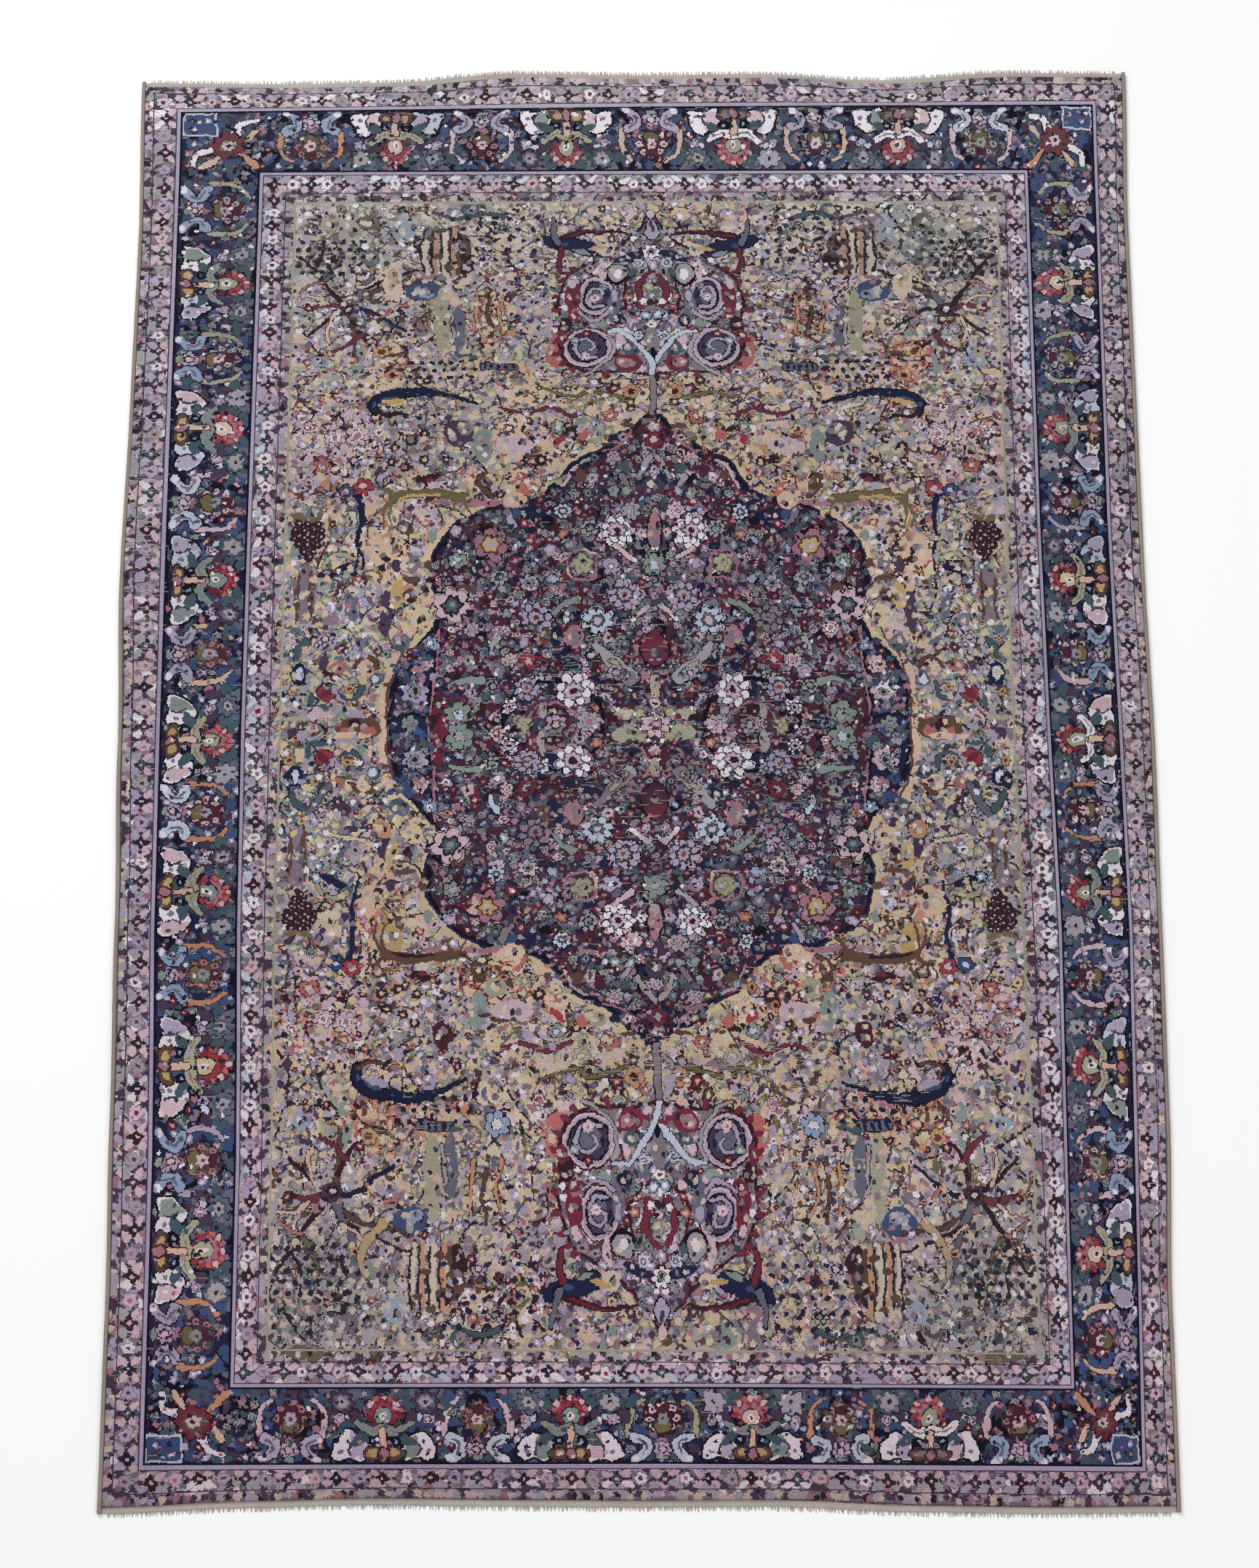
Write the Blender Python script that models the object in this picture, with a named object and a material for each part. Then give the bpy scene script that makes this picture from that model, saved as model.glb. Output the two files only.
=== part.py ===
"""A hand-knotted wool rug lying flat on the floor.

The rug is five pieces: the knotted pile body, an overcast cord along each long side, and a
plain-woven strip with worn warp ends across the head and the foot.  Metres, +Z up: X runs across
the rug, Y along it from foot to head, and the origin is on the floor under the middle.
"""

import math
import random

import bmesh
import bpy

# Driving dimensions
RUG_LENGTH = 2.090
PILE_THICKNESS = 0.0064
CORD_DIAMETER = 0.0060
END_STRIP_DEPTH = 0.0080
END_STRIP_THICKNESS = 0.0020
FRINGE_LENGTH = 0.0075
FRINGE_VARIATION = 0.0030
FRINGE_TIP_THICKNESS = 0.0010
FRINGE_TIP_WIDTH_SHARE = 0.55
FRINGE_SWAY = 0.0016
PIECE_GAP = 0.0003

# How finely the pieces are divided
BODY_COLUMNS = 24
BODY_ROWS = 36
LOCKS_PER_END = 148
LOCK_SECTIONS = 2

# The two long edges, as woven: where along the rug (-1 foot, +1 head), and how far left and
# right of the middle the outer edge lies there.
SIDE_EDGES = (
    # (along, left, right)
    (-1.00, 0.6665, 0.6780),
    (-0.75, 0.6680, 0.6790),
    (-0.50, 0.6730, 0.6870),
    (-0.25, 0.6780, 0.6890),
    (0.00, 0.6850, 0.6910),
    (0.25, 0.6930, 0.6880),
    (0.50, 0.6900, 0.6880),
    (0.75, 0.6890, 0.6880),
    (1.00, 0.6940, 0.6940),
)

# The two short edges: where across the rug (-1 left, +1 right), and how far the edge there
# falls short of the full half length at the head and at the foot.
END_EDGES = (
    # (across, head, foot)
    (-1.00, 0.0165, 0.0000),
    (-0.75, 0.0185, 0.0080),
    (-0.50, 0.0160, 0.0120),
    (-0.25, 0.0005, 0.0100),
    (0.00, 0.0040, 0.0090),
    (0.25, 0.0015, 0.0100),
    (0.50, 0.0125, 0.0030),
    (0.75, 0.0000, 0.0005),
    (1.00, 0.0010, 0.0020),
)

# Slow swells in the thickness of the worn pile
SWELLS = (
    # (waves across, waves along, phase, height)
    (1.0, 1.5, 0.4, 0.00025),
    (2.0, 1.0, 1.9, 0.00020),
    (0.5, 3.0, 2.7, 0.00020),
)

# Finishes: sRGB colour and roughness
FINISHES = {
    "pile_wool": ((0.50, 0.44, 0.42), 0.95),
    "overcast_yarn": ((0.42, 0.36, 0.34), 0.90),
    "cotton_warp": ((0.72, 0.69, 0.63), 0.92),
}

HALF_LENGTH = RUG_LENGTH / 2
CORD_RADIUS = CORD_DIAMETER / 2
BODY_SIDE_INSET = CORD_DIAMETER + PIECE_GAP
BODY_END_INSET = END_STRIP_DEPTH + PIECE_GAP


def linear(channel):
    """One sRGB channel as linear light."""
    return channel / 12.92 if channel <= 0.04045 else ((channel + 0.055) / 1.055) ** 2.4


def finish(name):
    """A Principled material from the table of finishes."""
    colour, roughness = FINISHES[name]
    material = bpy.data.materials.new(name)
    material.use_nodes = True
    shader = material.node_tree.nodes["Principled BSDF"]
    shader.inputs["Base Color"].default_value = (*map(linear, colour), 1.0)
    shader.inputs["Roughness"].default_value = roughness
    shader.inputs["Metallic"].default_value = 0.0
    return material


def along_table(table, column, place):
    """A value read smoothly between the rows of an edge table."""
    for near, far in zip(table, table[1:]):
        if place <= far[0]:
            break
    share = min(max((place - near[0]) / (far[0] - near[0]), 0.0), 1.0)
    eased = share * share * (3 - 2 * share)
    return near[column] + (far[column] - near[column]) * eased


def left_edge(along):
    """X of the rug's left outer edge at a place from -1 at the foot to +1 at the head."""
    return -along_table(SIDE_EDGES, 1, along)


def right_edge(along):
    """X of the rug's right outer edge at a place from -1 at the foot to +1 at the head."""
    return along_table(SIDE_EDGES, 2, along)


def end_shortfall(column, across):
    """How far a short edge falls short at a place from -1 at the left to +1 at the right.

    It runs straight between the body's columns, so that the end strips lie along the body.
    """
    step = 2 / BODY_COLUMNS
    column_before = min(math.floor((across + 1) / step + 1e-6), BODY_COLUMNS - 1)
    before = column_before * step - 1
    share = (across - before) / step
    here = along_table(END_EDGES, column, before)
    there = along_table(END_EDGES, column, before + step)
    return here + (there - here) * share


def rug_point(across, along, side_inset, end_inset):
    """X and Y of a place in the rug, with its four edges drawn in by the insets."""
    head = HALF_LENGTH - end_shortfall(1, across) - end_inset
    foot = -HALF_LENGTH + end_shortfall(2, across) + end_inset
    left = left_edge(along) + side_inset
    right = right_edge(along) - side_inset
    x = left + (right - left) * (across + 1) / 2
    y = foot + (head - foot) * (along + 1) / 2
    return x, y


def pile_height(across, along):
    """Height of the pile's top, with its slow swells."""
    height = PILE_THICKNESS
    for waves_across, waves_along, phase, swell in SWELLS:
        height += swell * math.sin(math.pi * (waves_across * across + waves_along * along) + phase)
    return height


def add_piece(name, mesh, material):
    """A named piece of the rug in the rug's collection."""
    piece = bpy.data.objects.new(name, mesh)
    mesh.materials.append(material)
    rug.objects.link(piece)
    return piece


def thicken_down(sheet):
    """Closes a top sheet into a slab whose underside lies flat on the floor."""
    slab = bmesh.ops.extrude_face_region(sheet, geom=sheet.faces[:])
    for vertex in slab["geom"]:
        if isinstance(vertex, bmesh.types.BMVert):
            vertex.co.z = 0.0
    bmesh.ops.recalc_face_normals(sheet, faces=sheet.faces[:])


def make_body(material):
    """The knotted body: a slab with the rug's own outline and an uneven top."""
    sheet = bmesh.new()
    bmesh.ops.create_grid(sheet, x_segments=BODY_COLUMNS, y_segments=BODY_ROWS, size=1.0)
    for vertex in sheet.verts:
        across, along = vertex.co.x, vertex.co.y
        x, y = rug_point(across, along, BODY_SIDE_INSET, BODY_END_INSET)
        vertex.co = (x, y, pile_height(across, along))
    thicken_down(sheet)
    mesh = bpy.data.meshes.new("rug_body")
    sheet.to_mesh(mesh)
    sheet.free()
    return add_piece("rug_body", mesh, material)


def make_side_cord(name, side, material):
    """An overcast cord along a long edge: side is -1 for the left and +1 for the right."""
    curve = bpy.data.curves.new(name, "CURVE")
    curve.dimensions = "3D"
    curve.bevel_depth = CORD_RADIUS
    curve.bevel_resolution = 2
    curve.use_fill_caps = True
    places = [(-1.0, 0.0)]
    places += [(2 * row / BODY_ROWS - 1, BODY_END_INSET) for row in range(BODY_ROWS + 1)]
    places += [(1.0, 0.0)]
    line = curve.splines.new("POLY")
    line.points.add(len(places) - 1)
    for point, (along, end_inset) in zip(line.points, places):
        x, y = rug_point(side, along, CORD_RADIUS, end_inset)
        point.co = (x, y, CORD_RADIUS, 1.0)
    return add_piece(name, curve, material)


def make_fringed_end(name, end, material, seed):
    """The plain-woven strip across one end with its worn warp ends: end is +1 head, -1 foot."""
    chance = random.Random(seed)
    sheet = bmesh.new()
    columns = 2 * LOCKS_PER_END + 1
    bmesh.ops.create_grid(sheet, x_segments=columns, y_segments=1, size=1.0)
    for vertex in sheet.verts:
        across, outward = vertex.co.x, vertex.co.y * end > 0
        inset = 0.0 if outward else END_STRIP_DEPTH
        x, y = rug_point(across, end, BODY_SIDE_INSET, inset)
        vertex.co = (x, y, END_STRIP_THICKNESS)
    thicken_down(sheet)
    outer = [face for face in sheet.faces if face.normal.y * end > 0.9]
    outer.sort(key=lambda face: face.calc_center_median().x)
    for root in outer[1::2]:
        length = FRINGE_LENGTH - FRINGE_VARIATION * chance.random()
        sway = FRINGE_SWAY * (2 * chance.random() - 1)
        draw_out_lock(sheet, root, end, length, sway)
    mesh = bpy.data.meshes.new(name)
    sheet.to_mesh(mesh)
    sheet.free()
    return add_piece(name, mesh, material)


def draw_out_lock(sheet, root, end, length, sway):
    """Draws one short lock of warp out of the strip's edge, thinner and narrower to its tip."""
    middle = root.calc_center_median().x
    tip = root
    width_step = FRINGE_TIP_WIDTH_SHARE ** (1 / LOCK_SECTIONS)
    for section in range(1, LOCK_SECTIONS + 1):
        tip = bmesh.ops.extrude_discrete_faces(sheet, faces=[tip])["faces"][0]
        share = section / LOCK_SECTIONS
        top = END_STRIP_THICKNESS + (FRINGE_TIP_THICKNESS - END_STRIP_THICKNESS) * share
        for vertex in tip.verts:
            vertex.co.x = middle + (vertex.co.x - middle) * width_step + sway / LOCK_SECTIONS
            vertex.co.y += end * length / LOCK_SECTIONS
            vertex.co.z = top if vertex.co.z > 0 else 0.0
        middle += sway / LOCK_SECTIONS


for old in list(bpy.data.objects):
    bpy.data.objects.remove(old)

rug = bpy.data.collections.new("persian_rug")
bpy.context.scene.collection.children.link(rug)

pile_wool = finish("pile_wool")
overcast_yarn = finish("overcast_yarn")
cotton_warp = finish("cotton_warp")

make_body(pile_wool)
make_side_cord("selvedge_left", -1, overcast_yarn)
make_side_cord("selvedge_right", 1, overcast_yarn)
make_fringed_end("fringe_head", 1, cotton_warp, seed=11)
make_fringed_end("fringe_foot", -1, cotton_warp, seed=23)
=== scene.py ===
"""The looks of a hand-knotted wool rug: patterned pile, wrapped side cords and fringed ends.

The pattern is worked out as a weaver's drawing. Its motifs are drawn on a lattice of knots, in
millimetres, a quarter of the rug at a time, and the lattice is then bent to the uneven shape in
which the rug was woven. Everything else is in metres: X across the rug, Y from foot to head.
"""

import logging
import math
from dataclasses import dataclass
from enum import Enum
from functools import lru_cache

import bpy
import numpy as np
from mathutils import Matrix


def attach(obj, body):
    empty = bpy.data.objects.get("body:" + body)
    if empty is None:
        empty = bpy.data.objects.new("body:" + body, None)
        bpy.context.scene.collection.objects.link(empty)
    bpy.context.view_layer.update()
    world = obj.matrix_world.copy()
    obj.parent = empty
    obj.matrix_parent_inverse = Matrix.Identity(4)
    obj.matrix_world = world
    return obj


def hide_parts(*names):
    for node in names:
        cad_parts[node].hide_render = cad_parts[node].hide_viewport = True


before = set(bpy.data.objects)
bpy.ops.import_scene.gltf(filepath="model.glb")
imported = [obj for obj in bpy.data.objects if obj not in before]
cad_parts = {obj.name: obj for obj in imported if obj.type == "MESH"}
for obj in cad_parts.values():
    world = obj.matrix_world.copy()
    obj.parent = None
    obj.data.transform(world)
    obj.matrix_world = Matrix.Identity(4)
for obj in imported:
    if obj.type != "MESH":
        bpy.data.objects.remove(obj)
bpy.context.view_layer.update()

Array = np.ndarray
Point = tuple[float, float]
log = logging.getLogger("rug")

MILLIMETRE = 0.001
SEED = 400

# The solids' own sizes, in metres
RUG_LENGTH = 2.090
PILE_THICKNESS = 0.0064
CORD_DIAMETER = 0.0060
END_STRIP_DEPTH = 0.0080
END_STRIP_THICKNESS = 0.0020
FRINGE_LENGTH = 0.0075
FRINGE_VARIATION = 0.0030
PIECE_GAP = 0.0003
HALF_LENGTH = RUG_LENGTH / 2
CORD_RADIUS = CORD_DIAMETER / 2
BODY_SIDE_INSET = CORD_DIAMETER + PIECE_GAP
BODY_END_INSET = END_STRIP_DEPTH + PIECE_GAP
BODY_COLUMNS = 24

# The two long edges: (place along, -1 foot to +1 head; left; right), outer edge from the middle
SIDE_EDGES = (
    (-1.00, 0.6665, 0.6780),
    (-0.75, 0.6680, 0.6790),
    (-0.50, 0.6730, 0.6870),
    (-0.25, 0.6780, 0.6890),
    (0.00, 0.6850, 0.6910),
    (0.25, 0.6930, 0.6880),
    (0.50, 0.6900, 0.6880),
    (0.75, 0.6890, 0.6880),
    (1.00, 0.6940, 0.6940),
)

# The two short edges: (place across, -1 left to +1 right; head; foot), short of the half length
END_EDGES = (
    (-1.00, 0.0165, 0.0000),
    (-0.75, 0.0185, 0.0080),
    (-0.50, 0.0160, 0.0120),
    (-0.25, 0.0005, 0.0100),
    (0.00, 0.0040, 0.0090),
    (0.25, 0.0015, 0.0100),
    (0.50, 0.0125, 0.0030),
    (0.75, 0.0000, 0.0005),
    (1.00, 0.0010, 0.0020),
)

# Slow swells in the pile: (waves across, waves along, phase, height)
SWELLS = (
    (1.0, 1.5, 0.4, 0.00025),
    (2.0, 1.0, 1.9, 0.00020),
    (0.5, 3.0, 2.7, 0.00020),
)

# The drawing's own sizes, in millimetres from the middle of the rug
PILE_HALF_WIDTH = 677.7
PILE_HALF_LENGTH = 1029.7
FIELD_HALF_WIDTH = 484.0
FIELD_HALF_LENGTH = 830.0

# How the woven bands stray across the rug. Columns: the drawing's place along, then where each
# of DRIFT_LINES lies in the woven rug, all in millimetres
DRIFT_LINES = (-635.0, -532.0, -484.0, 0.0, 484.0, 532.0, 635.0)
SIDE_DRIFT = (
    (-1040, -609, -502, -456, 37, 507, 547, 629),
    (-600, -614, -506, -460, 32, 506, 551, 638),
    (-300, -624, -515, -465, 27, 503, 555, 644),
    (0, -628, -519, -466, 28, 500, 550, 642),
    (300, -631, -520, -467, 27, 500, 547, 639),
    (900, -634, -520, -468, 24, 503, 548, 643),
    (1040, -636, -520, -468, 22, 504, 549, 645),
)

# How they stray along it: (place in the drawing, woven at the left, in the middle, at the right)
LENGTH_DRIFT = (
    (-984, -984, -982, -986),
    (-880, -882, -881, -884),
    (-830, -831, -832, -838),
    (-550, -525, -525, -527),
    (-460, -424, -424, -426),
    (0, 27, 28, 29),
    (460, 496, 497, 497),
    (550, 574, 575, 575),
    (830, 824, 828, 827),
    (880, 876, 880, 881),
    (984, 977, 987, 990),
)


def along_table(table: tuple[tuple[float, ...], ...], column: int, place: float) -> float:
    """Reads a value smoothly between the rows of an edge table.

    Args:
        table: Rows whose first number is the place.
        column: Which number of the row to read.
        place: Where to read it, from -1 to +1.

    Returns:
        The value there, in metres.
    """
    for near, far in zip(table, table[1:]):
        if place <= far[0]:
            break
    share = min(max((place - near[0]) / (far[0] - near[0]), 0.0), 1.0)
    eased = share * share * (3 - 2 * share)
    return near[column] + (far[column] - near[column]) * eased


def end_shortfall(column: int, across: float) -> float:
    """Gives how far a short edge falls short at a place across, straight between the body's columns.

    Args:
        column: 1 for the head and 2 for the foot.
        across: Place across the rug, -1 at the left and +1 at the right.

    Returns:
        The shortfall in metres.
    """
    step = 2 / BODY_COLUMNS
    column_before = min(math.floor((across + 1) / step + 1e-6), BODY_COLUMNS - 1)
    before = column_before * step - 1
    share = (across - before) / step
    here = along_table(END_EDGES, column, before)
    there = along_table(END_EDGES, column, before + step)
    return here + (there - here) * share


def rug_point(across: float, along: float, side_inset: float, end_inset: float) -> Point:
    """Gives a place in the rug's outline, with its edges drawn in.

    Args:
        across: -1 at the left edge to +1 at the right.
        along: -1 at the foot to +1 at the head.
        side_inset: How far the long edges are drawn in.
        end_inset: How far the short edges are drawn in.

    Returns:
        X and Y in metres.
    """
    head = HALF_LENGTH - end_shortfall(1, across) - end_inset
    foot = -HALF_LENGTH + end_shortfall(2, across) + end_inset
    left = -along_table(SIDE_EDGES, 1, along) + side_inset
    right = along_table(SIDE_EDGES, 2, along) - side_inset
    return left + (right - left) * (across + 1) / 2, foot + (head - foot) * (along + 1) / 2


def swell_height(across: Array, along: Array) -> Array:
    """Gives the height of the pile's top at places across and along the rug."""
    height = np.full(np.broadcast(across, along).shape, PILE_THICKNESS)
    for waves_across, waves_along, phase, swell in SWELLS:
        height += swell * np.sin(np.pi * (waves_across * across + waves_along * along) + phase)
    return height


def patchy(shape: tuple[int, int], cells: tuple[int, int], chance: np.random.Generator) -> Array:
    """Makes smooth random patches.

    Args:
        shape: Rows and columns of the result.
        cells: How many random values the result holds down and across.
        chance: Source of the random values.

    Returns:
        Values from -1 to +1.
    """
    coarse = chance.uniform(-1, 1, (cells[0] + 1, cells[1] + 1))
    down = np.linspace(0, cells[0], shape[0])
    over = np.linspace(0, cells[1], shape[1])
    i = np.minimum(down.astype(int), cells[0] - 1)
    j = np.minimum(over.astype(int), cells[1] - 1)
    a = down - i
    b = over - j
    a = (a * a * (3 - 2 * a))[:, None]
    b = (b * b * (3 - 2 * b))[None, :]
    upper = coarse[i][:, j] * (1 - b) + coarse[i][:, j + 1] * b
    lower = coarse[i + 1][:, j] * (1 - b) + coarse[i + 1][:, j + 1] * b
    return upper * (1 - a) + lower * a


@dataclass(frozen=True)
class Dye:
    """A dyed wool: its colour in daylight (sRGB, 0 to 255) and how much its dye lots differ."""

    red: int
    green: int
    blue: int
    streak: float = 0.10

    def light(self) -> Array:
        """Gives the colour as linear light."""
        share = np.array((self.red, self.green, self.blue)) / 255
        return np.where(share <= 0.04045, share / 12.92, ((share + 0.055) / 1.055) ** 2.4)


class Wool(Enum):
    """The wools on the weaver's pegs."""

    MIDNIGHT = Dye(18, 16, 30)
    NAVY = Dye(29, 33, 64, 0.20)
    BLUE = Dye(52, 71, 114, 0.18)
    SKY = Dye(124, 142, 172)
    ICE = Dye(172, 178, 196)
    SLATE = Dye(90, 93, 112)
    TEAL = Dye(62, 81, 91)
    SEA = Dye(120, 133, 128)
    SAGE = Dye(148, 146, 122)
    OLIVE = Dye(100, 90, 62)
    GOLD = Dye(172, 142, 92)
    SAND = Dye(188, 174, 154)
    STRAW = Dye(188, 168, 134)
    CAMEL = Dye(170, 157, 138, 0.08)
    APRICOT = Dye(176, 122, 92)
    CORAL = Dye(164, 92, 86)
    RED = Dye(144, 48, 60, 0.15)
    CRIMSON = Dye(106, 36, 56, 0.15)
    BURGUNDY = Dye(72, 33, 48)
    MAROON = Dye(54, 27, 38)
    PLUM = Dye(66, 52, 74)
    LILAC = Dye(154, 143, 168)
    PINK = Dye(184, 158, 168)
    ROSE = Dye(150, 100, 114)
    PEACH = Dye(192, 160, 140)
    IVORY = Dye(206, 199, 206)
    GREY = Dye(146, 143, 148)
    MAUVE = Dye(116, 104, 116)
    BROWN = Dye(88, 63, 54)
    UMBER = Dye(44, 35, 40)


WOOL_NUMBER = {wool: number for number, wool in enumerate(Wool)}


def rose(lobes: int, rim: Wool, *inner: float | Wool) -> tuple[int, tuple[tuple[float, Wool], ...]]:
    """Describes a flower.

    Args:
        lobes: How many lobes or petals it has.
        rim: The wool of its rim.
        *inner: By turns, each further ring's share of the radius and its wool.

    Returns:
        The lobes, and (share of the radius, wool) for each ring.
    """
    return lobes, ((1.0, rim), *zip(inner[::2], inner[1::2]))


class Bloom(Enum):
    """The flowers of the pattern, each with its lobes and its rings from the rim in."""

    WHITE_ROSE = rose(7, Wool.MIDNIGHT, 0.9, Wool.IVORY, 0.46, Wool.SEA, 0.26, Wool.MAROON)
    CROWN = rose(8, Wool.MIDNIGHT, 0.9, Wool.IVORY, 0.62, Wool.SLATE, 0.5, Wool.PINK, 0.26, Wool.MAROON)
    BLUSH_ROSE = rose(8, Wool.MAROON, 0.9, Wool.PINK, 0.5, Wool.IVORY, 0.3, Wool.ROSE)
    ICE_ROSE = rose(8, Wool.MIDNIGHT, 0.88, Wool.ICE, 0.5, Wool.TEAL, 0.26, Wool.PINK)
    LILAC_ROSE = rose(7, Wool.MAROON, 0.85, Wool.LILAC, 0.5, Wool.MAROON, 0.38, Wool.PINK)
    PINK_ROSE = rose(6, Wool.MAROON, 0.85, Wool.PINK, 0.5, Wool.CRIMSON, 0.3, Wool.IVORY)
    GREY_ROSE = rose(7, Wool.MIDNIGHT, 0.86, Wool.GREY, 0.55, Wool.MAROON, 0.4, Wool.SEA)
    RING = rose(9, Wool.MIDNIGHT, 0.92, Wool.IVORY, 0.62, Wool.TEAL, 0.52, Wool.SLATE, 0.3, Wool.PINK)
    LILAC_RING = rose(9, Wool.MIDNIGHT, 0.9, Wool.LILAC, 0.6, Wool.PLUM, 0.45, Wool.GREY, 0.2, Wool.RED)
    RIM_ROSE = rose(6, Wool.MIDNIGHT, 0.92, Wool.PINK, 0.56, Wool.MAROON, 0.44, Wool.TEAL, 0.2, Wool.SEA)
    GOLD_ROSE = rose(6, Wool.MIDNIGHT, 0.92, Wool.PEACH, 0.6, Wool.BROWN, 0.5, Wool.GOLD, 0.24, Wool.IVORY)
    SEA_ROSE = rose(6, Wool.MIDNIGHT, 0.86, Wool.SEA, 0.4, Wool.ICE)
    RED_ROSE = rose(6, Wool.MAROON, 0.82, Wool.RED, 0.4, Wool.PINK)
    CORAL_ROSE = rose(5, Wool.MAROON, 0.8, Wool.CORAL, 0.38, Wool.SAND)
    ORANGE = rose(5, Wool.BROWN, 0.8, Wool.APRICOT, 0.4, Wool.MAROON)
    GOLDEN = rose(6, Wool.BROWN, 0.8, Wool.GOLD, 0.4, Wool.CRIMSON)
    SAGE_BUD = rose(5, Wool.OLIVE, 0.8, Wool.SAGE, 0.38, Wool.SAND)
    SEA_BUD = rose(5, Wool.TEAL, 0.75, Wool.SEA, 0.35, Wool.UMBER)
    BLUE_BUD = rose(5, Wool.MIDNIGHT, 0.8, Wool.BLUE, 0.4, Wool.ICE)
    SKY_BUD = rose(6, Wool.MIDNIGHT, 0.8, Wool.SKY, 0.42, Wool.IVORY)
    SLATE_BUD = rose(7, Wool.MIDNIGHT, 0.85, Wool.SLATE, 0.5, Wool.TEAL, 0.32, Wool.GREY)
    TEAL_BUD = rose(7, Wool.MIDNIGHT, 0.85, Wool.TEAL, 0.5, Wool.GREY, 0.3, Wool.MAROON)
    DARK_ROSE = rose(6, Wool.UMBER, 0.86, Wool.PLUM, 0.6, Wool.MAROON, 0.3, Wool.PINK)
    BROWN_BUD = rose(5, Wool.UMBER, 0.7, Wool.BROWN, 0.36, Wool.SAND)
    WINE_BUD = rose(5, Wool.MAROON, 0.66, Wool.CRIMSON, 0.3, Wool.PEACH)
    IVORY_BUD = rose(5, Wool.MAUVE, 0.84, Wool.IVORY, 0.34, Wool.BROWN)
    PINK_BUD = rose(5, Wool.MAUVE, 0.84, Wool.PINK, 0.35, Wool.MAROON)
    LILAC_BUD = rose(5, Wool.PLUM, 0.84, Wool.LILAC, 0.36, Wool.IVORY)
    GREY_BUD = rose(5, Wool.MAUVE, 0.84, Wool.GREY, 0.36, Wool.UMBER)
    BERRY = rose(8, Wool.UMBER, 0.72, Wool.MAROON, 0.4, Wool.PEACH)
    DOT = rose(4, Wool.UMBER)
    NAVY_DOT = rose(4, Wool.NAVY)
    PLUM_DOT = rose(4, Wool.PLUM)
    RED_DOT = rose(4, Wool.RED)
    GREY_DOT = rose(5, Wool.GREY)
    LILAC_DOT = rose(5, Wool.LILAC)
    PINK_DOT = rose(5, Wool.PINK)
    ROSE_DOT = rose(5, Wool.ROSE)
    IVORY_DOT = rose(5, Wool.IVORY)
    PEACH_DOT = rose(5, Wool.PEACH)
    SAND_DOT = rose(5, Wool.SAND)
    TEAL_DOT = rose(5, Wool.TEAL)
    BLUE_DOT = rose(6, Wool.BLUE)
    MAUVE_DOT = rose(5, Wool.MAUVE)
    STRAW_DOT = rose(5, Wool.STRAW)
    STRAW_BUD = rose(6, Wool.BROWN, 0.84, Wool.STRAW, 0.34, Wool.CRIMSON)


class Quarter(Enum):
    """The rug's quarters: which way the drawing's x and y run there."""

    HEAD_RIGHT = (1, 1)
    HEAD_LEFT = (-1, 1)
    FOOT_RIGHT = (1, -1)
    FOOT_LEFT = (-1, -1)

    @property
    def at_head(self) -> bool:
        """Tells whether this quarter lies in the head half."""
        return self.value[1] > 0


def pick(chance: np.random.Generator, options: tuple) -> object:
    """Picks one of some options by chance."""
    return options[chance.integers(len(options))]


def ramp(value: Array, start: float, length: float) -> Array:
    """Gives how far values are past a start: 0 before it, then up to 1 over a length."""
    return np.clip((value - start) / length, 0, 1)


@lru_cache(maxsize=None)
def curve_through(points: tuple[Point, ...], closed: bool, steps: int = 5) -> Array:
    """Gives a smooth curve through a few points.

    Args:
        points: The points that shape it.
        closed: Whether it comes back to the first point.
        steps: How many parts each stretch has.

    Returns:
        An array of points along the curve.
    """
    given = np.array(points, float)
    count = len(given)
    if closed:
        index = np.arange(count)
        quads = [given[(index + shift) % count] for shift in (-1, 0, 1, 2)]
    else:
        index = np.arange(count - 1)
        quads = [given[np.clip(index + shift, 0, count - 1)] for shift in (-1, 0, 1, 2)]
    before, here, there, after = (quad[:, None, :] for quad in quads)
    t = np.linspace(0, 1, steps, endpoint=False)[None, :, None]
    curve = 0.5 * (
        2 * here
        + (there - before) * t
        + (2 * before - 5 * here + 4 * there - after) * t**2
        + (3 * here - before - 3 * there + after) * t**3
    )
    curve = curve.reshape(-1, 2)
    return curve if closed else np.vstack([curve, given[-1:]])


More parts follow.
